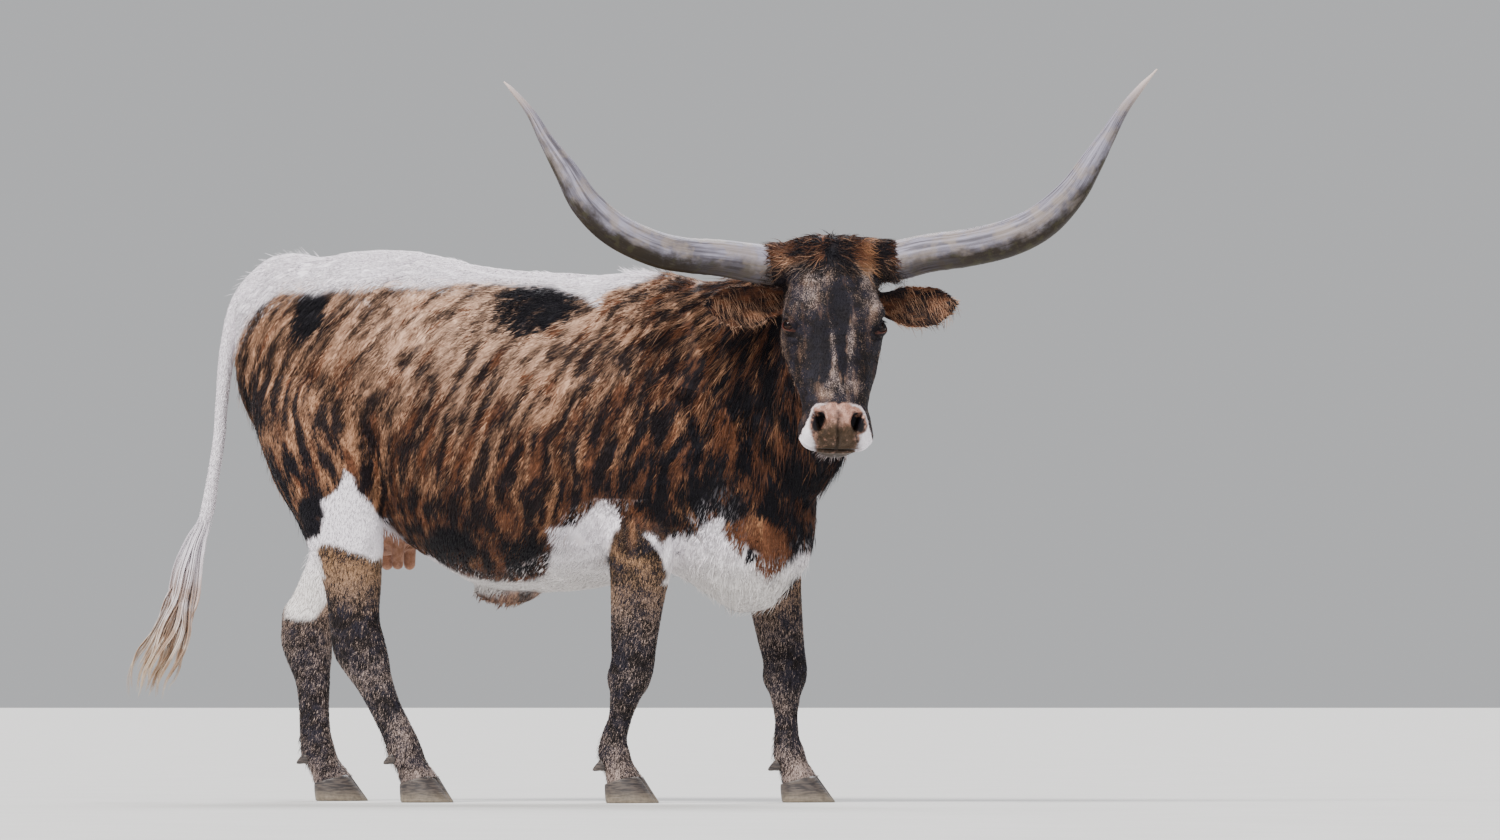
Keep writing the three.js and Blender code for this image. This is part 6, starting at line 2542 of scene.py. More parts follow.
@dataclass(frozen=True)
class FloorFinish:
    """A pale, dull floor of two colours that a fine noise mixes."""

    name: str = "floor_finish"

    def material(self) -> Material:
        """Makes the material."""
        paint = Paint(self.name)
        grit = paint.noise(paint.place(), 3.0, 4.0)
        colour = paint.mix(paint.step(grit, 0.35, 0.65), linear(196, 195, 193), linear(200, 199, 197))
        return paint.done(colour, 0.9, grit, (0.05, 0.001))


def hand_in(thing: Thing, nodes: Sequence[str] = ()) -> None:
    """Lets a finished piece ride on the body and stand for its nodes.

    Args:
        thing: the finished piece.
        nodes: the nodes that it replaces.
    """
    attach(thing, ROOT)
    if nodes:
        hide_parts(*nodes)
    faces = sum(len(p.vertices) - 2 for p in thing.data.polygons)
    log.info("%s: %d triangles", thing.name, faces)


# Horns, eyes and hooves


class HornTree(ShapeTree):
    """Sweeps a ring along a horn's path, with growth rings and fine grooves."""

    def __init__(self) -> None:
        """Builds the tree."""
        takes = {
            "Path": ("geometry",),
            "Sides": ("int", 48),
            "Ring height": ("float", 0.0011),
            "Groove depth": ("float", 0.0005),
        }
        super().__init__("horn_sweep", takes)
        curve = self.node("GeometryNodeMeshToCurve", {"Mesh": self.given["Path"]}).outputs[0]
        inputs = {"Resolution": self.given["Sides"], "Radius": 1.0}
        ring = self.node("GeometryNodeCurvePrimitiveCircle", inputs).outputs["Curve"]
        sweep = self.swept(curve, ring, "reach")
        along, turn = self.named("along", "FLOAT"), self.named("turn", "FLOAT")
        normal = self.node("GeometryNodeInputNormal").outputs[0]
        inputs = {
            "Geometry": sweep, "Offset": self.vector("SCALE", {0: normal, 3: self.relief(along, turn)})
        }
        moved = self.node("GeometryNodeSetPosition", inputs).outputs[0]
        # How far the surface faces down, which the finish uses for painted shade on the underside.
        below = self.times(self.parts(normal)[2], -1.0)
        run = self.node("ShaderNodeCombineXYZ", {0: along, 1: turn, 2: below}).outputs[0]
        kept = self.keeping(moved, "run", run, "FLOAT_VECTOR")
        shaded = self.node("GeometryNodeSetShadeSmooth", {"Geometry": kept}).outputs[0]
        self.closes(self.real(shaded))

    def relief(self, along: Socket, turn: Socket) -> Socket:
        """Gives how far the surface stands out.

        Args:
            along: the place along the horn, from zero to one.
            turn: the place round it.

        Returns:
            The height, in metres.
        """
        inputs = {"W": self.times(along, 62.0), "Scale": 1.0, "Detail": 2.0}
        wave = self.node("ShaderNodeTexNoise", inputs, noise_dimensions="1D").outputs["Fac"]
        inputs = {"Value": along, "From Min": 0.05, "From Max": 0.45, "To Min": 1.0, "To Max": 0.12}
        fade = self.node("ShaderNodeMapRange", inputs).outputs["Result"]
        height = self.times(self.minus(wave, 0.5), fade)
        height = self.times(self.times(height, 2.6), self.given["Ring height"])
        inputs = {0: self.times(along, 9.0), 1: self.times(turn, 60.0)}
        where = self.node("ShaderNodeCombineXYZ", inputs).outputs[0]
        groove = self.minus(self.noise(where, 1.0, 2.0), 0.5)
        return self.line(groove, self.given["Groove depth"], height)


@dataclass(frozen=True)
class Horn:
    """A horn: a sweep along its own curve, ringed near the base and finely grooved."""

    side: Side
    rows: tuple[Row, ...]
    rings: int = 210

    def build(self, tree: bpy.types.NodeTree, finish: Material) -> Thing:
        """Sweeps the horn.

        Args:
            tree: the sweeping tree.
            finish: the horn's material.

        Returns:
            The finished piece.
        """
        route = Route([(out, -forward, rise) for out, rise, forward, _ in self.rows])
        place = np.linspace(0, len(self.rows) - 1, self.rings)
        centre = LEVEL.out(route.at_row(place))
        radius = through([(i, row[3]) for i, row in enumerate(self.rows)], place)[:, 0]
        radius[-1] *= 0.5
        mesh = make_mesh("horn_path", metres(centre), [])
        mesh.edges.add(self.rings - 1)
        pairs = np.stack([np.arange(self.rings - 1), np.arange(1, self.rings)], axis=1)
        mesh.edges.foreach_set("vertices", pairs.ravel().astype(np.int32))
        store(mesh, "reach", radius * MM)
        store(mesh, "along", place / place[-1])
        thing = link("horn_path", mesh)
        swept = run_tree(thing, tree, {"Finish": finish})
        remove(thing)
        swept.name = f"horn_{self.side.value}_skin"
        return link(swept.name, swept)


HORNS: tuple[Horn, ...] = (
    Horn(
        Side.RIGHT,
        (
            (-96, -78, -58, 46), (-164, -76, -48, 46.5), (-268, -65, -20, 43.6), (-353, -61, 0, 41.6),
            (-421, -50, 14, 42), (-524, -7, 34, 40.6), (-594, 53, 44, 36.4), (-643, 129, 42, 28.2),
            (-692, 204, 28, 17), (-727, 265, 12, 10.6), (-772, 320, -6, 5.3), (-789, 337, -12, 1.9),
        ),
    ),
    Horn(
        Side.LEFT,
        (
            (96, -62, -58, 46), (157, -58, -48, 47.3), (226, -41, -30, 45.6), (325, -25, -4, 44.9),
            (417, 0, 16, 44.6), (488, 38, 32, 42.5), (556, 107, 46, 35.4), (599, 175, 46, 28.3),
            (637, 239, 36, 20.1), (678, 308, 22, 13), (721, 363, 6, 8.3), (762, 409, -8, 2.1),
        ),
    ),
)


@dataclass(frozen=True)
class Eyeball:
    """An eyeball with a slightly raised, wet front."""

    setting: EyeSetting
    count: int = 64

    def build(self, finish: Material) -> Thing:
        """Makes the eyeball.

        Args:
            finish: the eye's material.

        Returns:
            The finished piece.
        """
        radius = self.setting.radius
        ball = ellipsoid((0, 0, 0), (1, 1, 1), self.count)
        look = ball.points[:, [2, 0, 1]]
        front = ease(np.hypot(look[:, 1], look[:, 2]), 0.62, 0.3) * (look[:, 0] > 0)
        reach = radius - 0.15 + 0.9 * front
        axes = self.setting.axes()
        points = FACE.out((look * reach[:, None]) @ axes + self.setting.centre)
        shell = Shell(points, ball.quads, ball.triangles).outward()
        name = f"eyeball_{self.setting.side.value}"
        mesh = make_mesh(name, metres(shell.points), [shell.quads, shell.triangles])
        store(mesh, "look", look)
        mesh.materials.append(finish)
        return link(name, mesh)


@dataclass(frozen=True)
class Hoof:
    """Two claws and two dewclaws of one foot."""

    plan: LegPlan

    CORONET = 53.0
    SLOPE = 14.0
    WIDTH, TOE, HEEL, CLEFT, PITCH, TAPER = 50.0, 84.0, 44.0, 3.5, 0.74, 0.07
    HEIGHTS = (0.0, 1.2, 3.5, 8, 14, 20, 26, 32, 38, 44, 50, 56, 62, 68, 74)

    def claw(self, side: int) -> Shell:
        """Lofts one claw.

        Args:
            side: minus one for the claw on her right, one for the other.

        Returns:
            The closed surface.
        """
        place, tilt = self.plan.coronet()
        turn = math.radians(self.plan.toe)
        rings = []
        for height in self.HEIGHTS:
            edge = 2.5 * max(0.0, 1 - height / 3.5) ** 1.6
            front = self.TOE - self.PITCH * height - edge
            back = self.HEEL + 4 * math.sin(math.pi * height / 74) - edge
            width = self.WIDTH - self.TAPER * height - edge
            u = -np.cos(np.pi * np.arange(29) / 28)
            bulge = np.maximum(0, 1 - np.abs(u) ** 2.6) ** 0.55
            outer = np.stack([np.where(u > 0, u * front, u * back), 5 + (width - 1.5) * bulge], axis=1)
            u = np.cos(np.pi * np.arange(1, 12) / 12)
            hollow = np.where(u > 0, 0.0, 1.0)
            inner = np.stack([np.where(u > 0, u * front, u * back) * 0.96, self.CLEFT + hollow], axis=1)
            flat = np.vstack([outer, inner])
            flat[:, 1] *= side
            spun = np.stack(
                [
                    flat[:, 0] * math.cos(turn) - flat[:, 1] * math.sin(turn),
                    flat[:, 0] * math.sin(turn) + flat[:, 1] * math.cos(turn),
                    np.full(len(flat), height),
                ],
                axis=1,
            )
            rings.append(spun + self.plan.foot)
        shell = Shell.over(np.array(rings))
        above = np.maximum((shell.points - place) @ tilt - 1.5, 0.0)
        shell.points = shell.points - above[:, None] * tilt
        return shell

    def dewclaw(self, side: int) -> Shell:
        """Lofts one dewclaw behind the fetlock.

        Args:
            side: minus one for the claw on her right, one for the other.

        Returns:
            The closed surface.
        """
        route = Route(self.plan.path)
        fetlock = route.at(np.array([0.925]))[0]
        way = unit(np.array([-0.86, side * 0.18, -0.48]))
        middle = fetlock + np.array([-44.0, side * 22.0, -6.0])
        share = np.linspace(0, 1, 14)
        radius = 14 * (1 - share) ** 0.62 + 0.4
        centre = middle + (share[:, None] * 32 - 16) * way
        across = np.tile(unit(np.cross(way, UP)), (14, 1))
        top = np.tile(unit(np.cross(across[0], way)), (14, 1))
        reach = np.stack([radius, radius, radius * 1.1, 2 + 0 * share, 2 + 0 * share], axis=1)
        return Shell.over(rings_of(centre, across, top, reach, 22))

    def build(self, finish: Material) -> None:
        """Makes the foot's four horny pieces.

        Args:
            finish: the hoof's material.
        """
        for edge, sign in (("inner", -self.plan.side), ("outer", self.plan.side)):
            for kind, shell in (("claw", self.claw(sign)), ("dewclaw", self.dewclaw(sign))):
                node = f"{kind}_{edge}_{self.plan.name}"
                mesh = make_mesh(node + "_horn", metres(shell.points), [shell.quads, shell.triangles])
                mesh.materials.append(finish)
                hand_in(link(mesh.name, mesh), [node])


# The coat


class TuftTree(ShapeTree):
    """Sets a tuft on every root and lays it along the skin."""

    def __init__(self) -> None:
        """Builds the tree."""
        tufts = {f"Tuft {number}": ("object",) for number in range(Coat.SHAPES)}
        takes = {"Roots": ("geometry",), **tufts, "Patch size": ("float", 0.003), "Seed": ("int", 3)}
        super().__init__("tufts", takes)
        join = self.node("GeometryNodeJoinGeometry")
        for label in tufts:
            shape = self.node("GeometryNodeObjectInfo", {"Object": self.given[label], "As Instance": True})
            self.tree.links.new(shape.outputs["Geometry"], join.inputs[0])
        inputs = {"Primary Axis": self.named("way"), "Secondary Axis": self.named("normal")}
        turn = self.node("FunctionNodeAxesToRotation", inputs, primary_axis="X", secondary_axis="Z")
        inputs = {"Seed": self.given["Seed"], 4: 0, 5: Coat.SHAPES - 1}
        choice = self.node("FunctionNodeRandomValue", inputs, data_type="INT")
        inputs = {
            "Points": self.given["Roots"],
            "Instance": join.outputs[0],
            "Pick Instance": True,
            "Instance Index": choice.outputs[2],
            "Rotation": turn.outputs[0],
            "Scale": self.named("size"),
        }
        placed = self.node("GeometryNodeInstanceOnPoints", inputs).outputs[0]
        mapped = self.mapped(self.real(placed), self.named("patch"))
        self.closes(self.without(mapped, "place", "patch", "size", "normal", "way"))


@dataclass(frozen=True)
class CoatPatch:
    """One piece of the coat: where it grows and how its tufts are made."""

    name: str
    regions: tuple[Region, ...]
    count: int
    length: float
    width: float
    thick: float
    lean: float
    within: Callable[[Array], Array] | None = None
    slot: str = "brindle_coat"
    dress: str = "coat_hair"


@dataclass
class Roots:
    """Places on the skin where tufts grow."""

    points: Array
    normals: Array
    region: Array


class Coat:
    """Short tufts on every side of the skin, laid along it in the hair's own direction."""

    SHAPES = 5
    SINK = 0.35

    def __init__(self, skin: SkinMesh, markings: Markings, finish: dict[str, Material]) -> None:
        """Prepares the tufts' shapes and the tree.

        Args:
            skin: the finished skin.
            markings: the markings and the lie of the hair.
            finish: the coat's materials by name.
        """
        self.skin = skin
        self.markings = markings
        self.finish = finish
        self.random = np.random.default_rng(5)
        self.search = KDTree(len(skin.points))
        for number, point in enumerate(skin.points):
            self.search.insert(point, number)
        self.search.balance()
        self.tree = TuftTree().tree
        self.shapes = [self.tuft(number) for number in range(self.SHAPES)]

    def tuft(self, number: int) -> Thing:
        """Makes one tuft of size one that lies along +X: closed, three-sided, bent and pointed.

        Args:
            number: which of the shapes.

        Returns:
            A helper object that carries the shape.
        """
        bend = (-0.5, 0.0, 0.45, -0.2, 0.7)[number]
        swell = (0.5, 0.62, 0.42, 0.6, 0.55)[number]
        aside, high = 0.16 * bend, 0.5 * swell
        ring = [(0.4, aside - 0.5, high), (0.4, aside + 0.5, high), (0.4, aside, high + 0.7)]
        points = np.array([(0.0, 0.0, 0.0), *ring, (1.0, bend, 0.1)])
        faces = [(0, 2, 1), (0, 3, 2), (0, 1, 3), (4, 1, 2), (4, 2, 3), (4, 3, 1)]
        shell = Shell(points, np.zeros((0, 4), int), np.array(faces)).outward()
        mesh = make_mesh(f"tuft_{number}", shell.points, [shell.triangles])
        store(mesh, "patch", np.stack([points[:, 0] - 0.5, points[:, 1] / 3, 0 * points[:, 0]], axis=1))
        return link(mesh.name, mesh)

    def roots(self, faces: Array, count: int) -> Roots:
        """Spreads places evenly over faces of the skin.

        Args:
            faces: the numbers of the faces.
            count: how many places.

        Returns:
            The places with their normals and regions.
        """
        skin = self.skin
        corners = skin.triangles[faces]
        a, b, c = (skin.points[corners[:, k]] for k in range(3))
        area = np.linalg.norm(np.cross(b - a, c - a), axis=1)
        total = np.cumsum(area)
        where = (np.arange(count) + self.random.random(count)) / count * total[-1]
        face = np.minimum(np.searchsorted(total, where), len(faces) - 1)
        u, v = self.random.random((2, count))
        flip = u + v > 1
        u, v = np.where(flip, 1 - u, u), np.where(flip, 1 - v, v)
        weight = np.stack([1 - u - v, u, v], axis=1)
        corner = corners[face]
        points = np.einsum("ij,ijk->ik", weight, skin.points[corner])
        normals = unit(np.einsum("ij,ijk->ik", weight, skin.normals[corner]))
        return Roots(points, normals, skin.region[corner[np.arange(count), weight.argmax(1)]])

    def unwrapped(self, roots: Roots) -> Array:
        """Unrolls the skin round its own parts, so that each root has a place of its own.

        Args:
            roots: the roots.

        Returns:
            Two numbers from 0 to 1 for each root.
        """
        turn = np.zeros(len(roots.points))
        run = np.zeros(len(roots.points))
        tile = np.zeros(len(roots.points), int)
        present = np.unique(roots.region)
        for number, region in enumerate(present):
            mine = roots.region == region
            points = roots.points[mine]
            turn[mine], run[mine] = unrolled(Region(region), points)
            tile[mine] = number
        place = np.zeros((len(turn), 3))
        for number in range(len(present)):
            mine = tile == number
            for values in (turn, run):
                low, high = values[mine].min(), values[mine].max()
                values[mine] = (values[mine] - low) / max(high - low, 1e-6)
            place[mine, 0] = (number + 0.03 + 0.94 * turn[mine]) / len(present)
            place[mine, 1] = 0.01 + 0.98 * run[mine]
        return place

    def grow(self, patch: CoatPatch) -> Thing:
        """Grows one piece of the coat.

        Args:
            patch: what grows where.

        Returns:
            The finished piece.
        """
        skin = self.skin
        mine = np.isin(skin.region[skin.triangles[:, 0]], patch.regions)
        if patch.within is not None:
            mine &= patch.within(skin.points[skin.triangles].mean(1))
        roots = self.roots(np.flatnonzero(mine), patch.count)
        growth = self.markings(roots.points, roots.normals, roots.region)
        hairy = (growth.bare[:, 0] < 0.5) & (growth.patches[:, 2] >= 0)
        keep = hairy & self.above_hooves(roots.points)
        points, normals = roots.points[keep], roots.normals[keep]
        lie = growth.lie[keep]
        count = len(points)
        spin = np.radians(self.random.normal(0, 9, count))[:, None]
        lie = lie * np.cos(spin) + np.cross(normals, lie) * np.sin(spin)
        lean = np.radians(patch.lean * self.random.uniform(0.55, 1.45, count))[:, None]
        way = lie * np.cos(lean) + normals * np.sin(lean)
        length = (
            patch.length * self.length_share(points, roots.region[keep])
            * self.random.uniform(0.7, 1.3, count)
        )
        way = self.hugging(points, way, normals, length)
        size = np.stack(
            [
                length,
                patch.width * self.random.uniform(0.7, 1.3, count),
                patch.thick * self.random.uniform(0.7, 1.3, count),
            ],
            axis=1,
        )
        mesh = make_mesh(patch.name, metres(points - normals * self.SINK), [])
        kept = Roots(points, normals, roots.region[keep])
        fields = {
            "way": way,
            "normal": normals,
            "size": size * MM,
            "place": self.unwrapped(kept),
            "grain": growth.grain[keep],
            "patches": growth.patches[keep],
            "tones": growth.tones[keep],
            "bare": growth.bare[keep],
            "pick": self.random.random(count),
        }
        for name, values in fields.items():
            store(mesh, name, values)
        thing = link(patch.name + "_roots", mesh)
        values = {f"Tuft {number}": shape for number, shape in enumerate(self.shapes)}
        values["Finish"] = self.finish[patch.dress]
        grown = run_tree(thing, self.tree, values)
        remove(thing)
        grown.name = patch.name
        return link(patch.name, grown)

    def hugging(self, points: Array, way: Array, normals: Array, length: Array) -> Array:
        """Turns tufts that would sink into the skin, or stand off it, back along it.

        Args:
            points: the roots.
            way: the tufts' directions.
            normals: the skin's normals at the roots.
            length: the tufts' lengths.

        Returns:
            The corrected directions.
        """
        for _ in range(2):
            tips = points + way * length[:, None]
            near = [self.search.find(tip)[1] for tip in tips]
            height = np.einsum("ij,ij->i", tips - self.skin.points[near], self.skin.normals[near])
            lowest, highest = 0.035 * length + 0.35, 0.13 * length + 0.5
            lift = np.clip(height, lowest, highest) - height
            way = unit(way + normals * (lift / length)[:, None])
        return way

    @staticmethod
    def above_hooves(points: Array) -> Array:
        """Tells which points stand clear of the flat ends of the legs.

        Args:
            points: points on the skin.

        Returns:
            True where they stand clear.
        """
        clear = points[:, 2] > 34
        for leg in LEGS:
            place, tilt = leg.coronet()
            near = np.linalg.norm((points - place)[:, :2], axis=1) < 90
            clear &= ~near | ((points - place) @ tilt > 2.5)
        return clear

    @staticmethod
    def length_share(points: Array, region: Array) -> Array:
        """Gives how long the hair is at points, as a share of its piece's own length.

        Args:
            points: the roots.
            region: the region of each.

        Returns:
            The share at each root.
        """
        local = FACE.into(points)
        down = -local[:, 1]
        head = region == Region.HEAD
        face = 0.7 + 0.6 * ease(down, 150, 90) + 0.9 * ease(down, 100, 50) - 0.15 * ease(down, 360, 430)
        feet = np.where(points[:, 2] < 170, 0.85, 1.0)
        return np.where(head, face, feet)

    def tidy(self) -> None:
        """Takes the helper shapes away."""
        for shape in self.shapes:
            remove(shape)


def unrolled(region: Region, points: Array) -> tuple[Array, Array]:
    """Unrolls a part of the skin round its own middle line.

    Args:
        region: the part.
        points: points on it.

    Returns:
        The turn round the line and the place along it.
    """
    if region in (Region.HEAD, Region.EAR_RIGHT, Region.EAR_LEFT):
        local = FACE.into(points)
        if region is Region.HEAD:
            return np.arctan2(local[:, 0], local[:, 2] + 110), -local[:, 1]
        side = Side.RIGHT if region is Region.EAR_RIGHT else Side.LEFT
        share = (np.abs(local[:, 0]) - 96) / 204
        away = local - EarForm(side).centre(share)
        return np.arctan2(away[:, 1], away[:, 2]), share
    if region is Region.TRUNK or region is Region.UDDER:
        return np.arctan2(points[:, 1], points[:, 2] - 880), points[:, 0]
    if region is Region.NECK:
        way = unit(np.array([0.8, -0.2, 0.35]))
        return np.arctan2(points[:, 1] + 40, points[:, 2] - 1000), points @ way
    path = TAIL.path if region is Region.TAIL else next(leg.path for leg in LEGS if leg.region is region)
    route = Route(path)
    _, share = route.gap(points, 60)
    away = points - route.at(share)
    return np.arctan2(away[:, 1], away[:, 0]), share


# Long hair


class LockTree(ShapeTree):
    """Sweeps a flat, tapering lock along every line of a mesh."""

    def __init__(self) -> None:
        """Builds the tree."""
        takes = {
            "Lines": ("geometry",),
            "Sides": ("int", 3),
            "Flatness": ("vector", (0.45, 1.0, 1.0)),
            "Patch size": ("float", 0.003),
        }
        super().__init__("long_locks", takes)
        curve = self.node("GeometryNodeMeshToCurve", {"Mesh": self.given["Lines"]}).outputs[0]
        inputs = {"Curve": curve, "Normal": self.named("normal")}
        curve = self.node("GeometryNodeSetCurveNormal", inputs, mode="FREE").outputs[0]
        inputs = {"Resolution": self.given["Sides"], "Radius": 0.5}
        ring = self.node("GeometryNodeCurvePrimitiveCircle", inputs).outputs["Curve"]
        inputs = {"Geometry": ring, "Scale": self.given["Flatness"]}
        flat = self.node("GeometryNodeTransform", inputs).outputs[0]
        swept = self.swept(curve, flat, "girth")
        inputs = {0: self.named("turn", "FLOAT"), 1: self.named("share", "FLOAT")}
        mapped = self.mapped(swept, self.node("ShaderNodeCombineXYZ", inputs).outputs[0])
        self.closes(self.real(self.without(mapped, "place", "turn", "girth", "normal")))


def lines_mesh(name: str, lines: Array, fields: dict[str, Array]) -> Thing:
    """Makes a helper mesh of lines.

    Args:
        name: its name.
        lines: points of each line in turn, in millimetres.
        fields: what every point carries, one row to a line or one to a point.

    Returns:
        The helper object.
    """
    count, steps = lines.shape[:2]
    mesh = make_mesh(name, metres(lines.reshape(-1, 3)), [])
    first = (np.arange(count)[:, None] * steps + np.arange(steps - 1)).ravel()
    mesh.edges.add(len(first))
    mesh.edges.foreach_set("vertices", np.stack([first, first + 1], axis=1).ravel().astype(np.int32))
    for label, values in fields.items():
        whole = np.asarray(values, float)
        if len(whole) == count:
            whole = np.repeat(whole, steps, axis=0)
        store(mesh, label, whole)
    return link(name, mesh)


@dataclass(frozen=True)
class LockGroup:
    """Long hair of one kind: where it grows and how it hangs."""

    name: str
    regions: tuple[Region, ...]
    count: int
    length: float
    width: float
    lift: float
    within: Callable[[Array, Array, Array], Array]
    droop: float = 0.0
    wave: float = 0.0
    way: Callable[[Array], Array] | None = None
    loose: float = 8.0  # how far single hairs stray, in degrees
    tint: tuple[float, float, float] | None = None  # dark stripes, rust, warm
    white: float = 0.0


class LongHair:
    """Long locks laid over the coat: poll, ears, neck, brisket, tail head, fetlocks and chin."""

    STEPS = 8

    def __init__(self, coat: Coat) -> None:
        """Prepares the search for the skin below a hair.

        Args:
            coat: the coat, whose roots and markings the locks share.
        """
        self.coat = coat
        self.skin = coat.skin
        self.tree = LockTree().tree
        self.random = np.random.default_rng(17)
        self.search = coat.search

    def march(self, start: Array, way: Array, normals: Array, group: LockGroup) -> Array:
        """Draws the locks from their roots, over the skin and down.

        Args:
            start: the roots.
            way: the ways that they set out.
            normals: the skin's normals at the roots.
            group: the kind of hair.

        Returns:
            The points of each lock, root first.
        """
        count = len(start)
        stride = group.length * self.random.uniform(0.6, 1.25, count)[:, None] / (self.STEPS - 1)
        phase = self.random.uniform(0, 2 * np.pi, count)[:, None]
        aside = unit(np.cross(normals, way))
        place = start - normals * 1.0
        lines = [place]
        for step in range(1, self.STEPS):
            way = unit(way - UP * group.droop / self.STEPS)
            bend = aside * (group.wave * np.cos(phase + 5.0 * step / self.STEPS))
            place = place + unit(way + bend) * stride
            near = [self.search.find(point)[1] for point in place]
            facing = self.skin.normals[near]
            height = np.einsum("ij,ij->i", place - self.skin.points[near], facing)
            place = place + facing * np.maximum(1.2 + 0.15 * step - height, 0)[:, None]
            lines.append(place)
        return np.stack(lines, axis=1)

    def rooted(self, group: LockGroup) -> Roots:
        """Chooses the roots of one kind of hair.

        Args:
            group: the kind of hair.

        Returns:
            The roots.
        """
        skin = self.skin
        middle = skin.points[skin.triangles].mean(1)
        mine = np.isin(skin.region[skin.triangles[:, 0]], group.regions)
        mine &= group.within(FACE.into(middle), middle, skin.normals[skin.triangles[:, 0]])
        return self.coat.roots(np.flatnonzero(mine), group.count)

    def grow(self, name: str, groups: Sequence[LockGroup], finish: Material) -> Thing:
        """Grows one piece of long hair.

        Args:
            name: the piece's name.
            groups: the kinds of hair in it.
            finish: its material.

        Returns:
            The finished piece.
        """
        lines, fields = [], []
        for group in groups:
            roots = self.rooted(group)
            growth = self.coat.markings(roots.points, roots.normals, roots.region)
            way = growth.lie
            if group.way is not None:
                way = FACE.turn(group.way(FACE.into(roots.points)))
                way = way - roots.normals * np.einsum("ij,ij->i", way, roots.normals)[:, None]
            lift = np.radians(group.lift * self.random.uniform(0.6, 1.4, len(way)))[:, None]
            way = unit(way)
            stray = np.radians(self.random.normal(0, group.loose, len(way)))[:, None]
            way = way * np.cos(stray) + np.cross(roots.normals, way) * np.sin(stray)
            way = way * np.cos(lift) + roots.normals * np.sin(lift)
            lines.append(self.march(roots.points, way, roots.normals, group))
            tones, patches = growth.tones.copy(), growth.patches.copy()
            if group.tint is not None:
                tones[:] = group.tint
                patches[:] = (group.white, 0.0, 0.0)
            thick = group.width * self.random.uniform(0.7, 1.3, len(way))
            fields.append((roots.normals, growth.grain, patches, tones, self.coat.unwrapped(roots), thick))
        line = np.concatenate(lines)
        normal, grain, patches, tones, place, thick = (np.concatenate(part) for part in zip(*fields))
        share = np.linspace(0, 1, self.STEPS)
        taper = through(((0, 0.7), (0.25, 1.0), (0.6, 0.8), (1, 0.08)), share)[:, 0]
        values = {
            "normal": normal,
            "grain": grain,
            "patches": patches,
            "tones": tones,
            "place": place,
            "bare": np.zeros_like(normal),
            "pick": self.random.random(len(line)),
            "girth": (thick[:, None] * taper).ravel() * MM,
            "share": np.tile(share, len(line)),
        }
        thing = lines_mesh(name + "_lines", line, values)
        mesh = run_tree(thing, self.tree, {"Finish": finish})
        remove(thing)
        mesh.name = name
        return link(name, mesh)


def is_poll(local: Array, points: Array, normals: Array) -> Array:
    """Tells where the long hair of the poll grows."""
    return (local[:, 1] > -96) & (local[:, 2] > -120) & (FACE.turn_into(normals)[:, 1] < 0.8)


def is_poll_edge(local: Array, points: Array, normals: Array) -> Array:
    """Tells where the pale hairs stand up along the poll and the horns' bases."""
    return (local[:, 1] > -30) & (local[:, 2] > -130)


def is_horn_base(local: Array, points: Array, normals: Array) -> Array:
    """Tells where the hair lies out over the roots of the horns."""
    return (np.abs(local[:, 0]) > 108) & (local[:, 1] > -112)


def outwards(local: Array) -> Array:
    """Gives the way out to each side of the head, in the face's frame."""
    return np.stack([np.sign(local[:, 0]), -0.12 + 0 * local[:, 0], 0.2 + 0 * local[:, 0]], axis=1)


def is_lash(local: Array, points: Array, normals: Array) -> Array:
    """Tells where the lashes of the upper lids grow.

    Args:
        local: the points in the face's frame.
        points: the same points in the maker's frame; not used.
        normals: the skin's normals there; not used.

    Returns:
        True where a lash may grow.
    """
    found = np.zeros(len(local), bool)
    for side in Side:
        eye = EyeSetting(side)
        away = (local - eye.centre) @ eye.axes().T
        share = (np.abs(away[:, 1] / eye.long) ** 1.8 + np.abs(away[:, 2] / eye.high) ** 2) ** 0.5
        found |= (share > 1.05) & (share < 1.4) & (away[:, 2] > 2) & (away[:, 0] > 0)
    return found


def is_cup(local: Array, points: Array, normals: Array) -> Array:
    """Tells where the long hair in the ears grows."""
    facing = FACE.turn_into(normals)
    return (facing[:, 2] > 0.2) & (np.abs(local[:, 0]) > 118) & (facing[:, 1] < 0.45)


def is_ear_rim(local: Array, points: Array, normals: Array) -> Array:
    """Tells where the ears' rims are."""
    facing = FACE.turn_into(normals)
    return (np.abs(facing[:, 2]) < 0.45) & (np.abs(local[:, 0]) > 150)


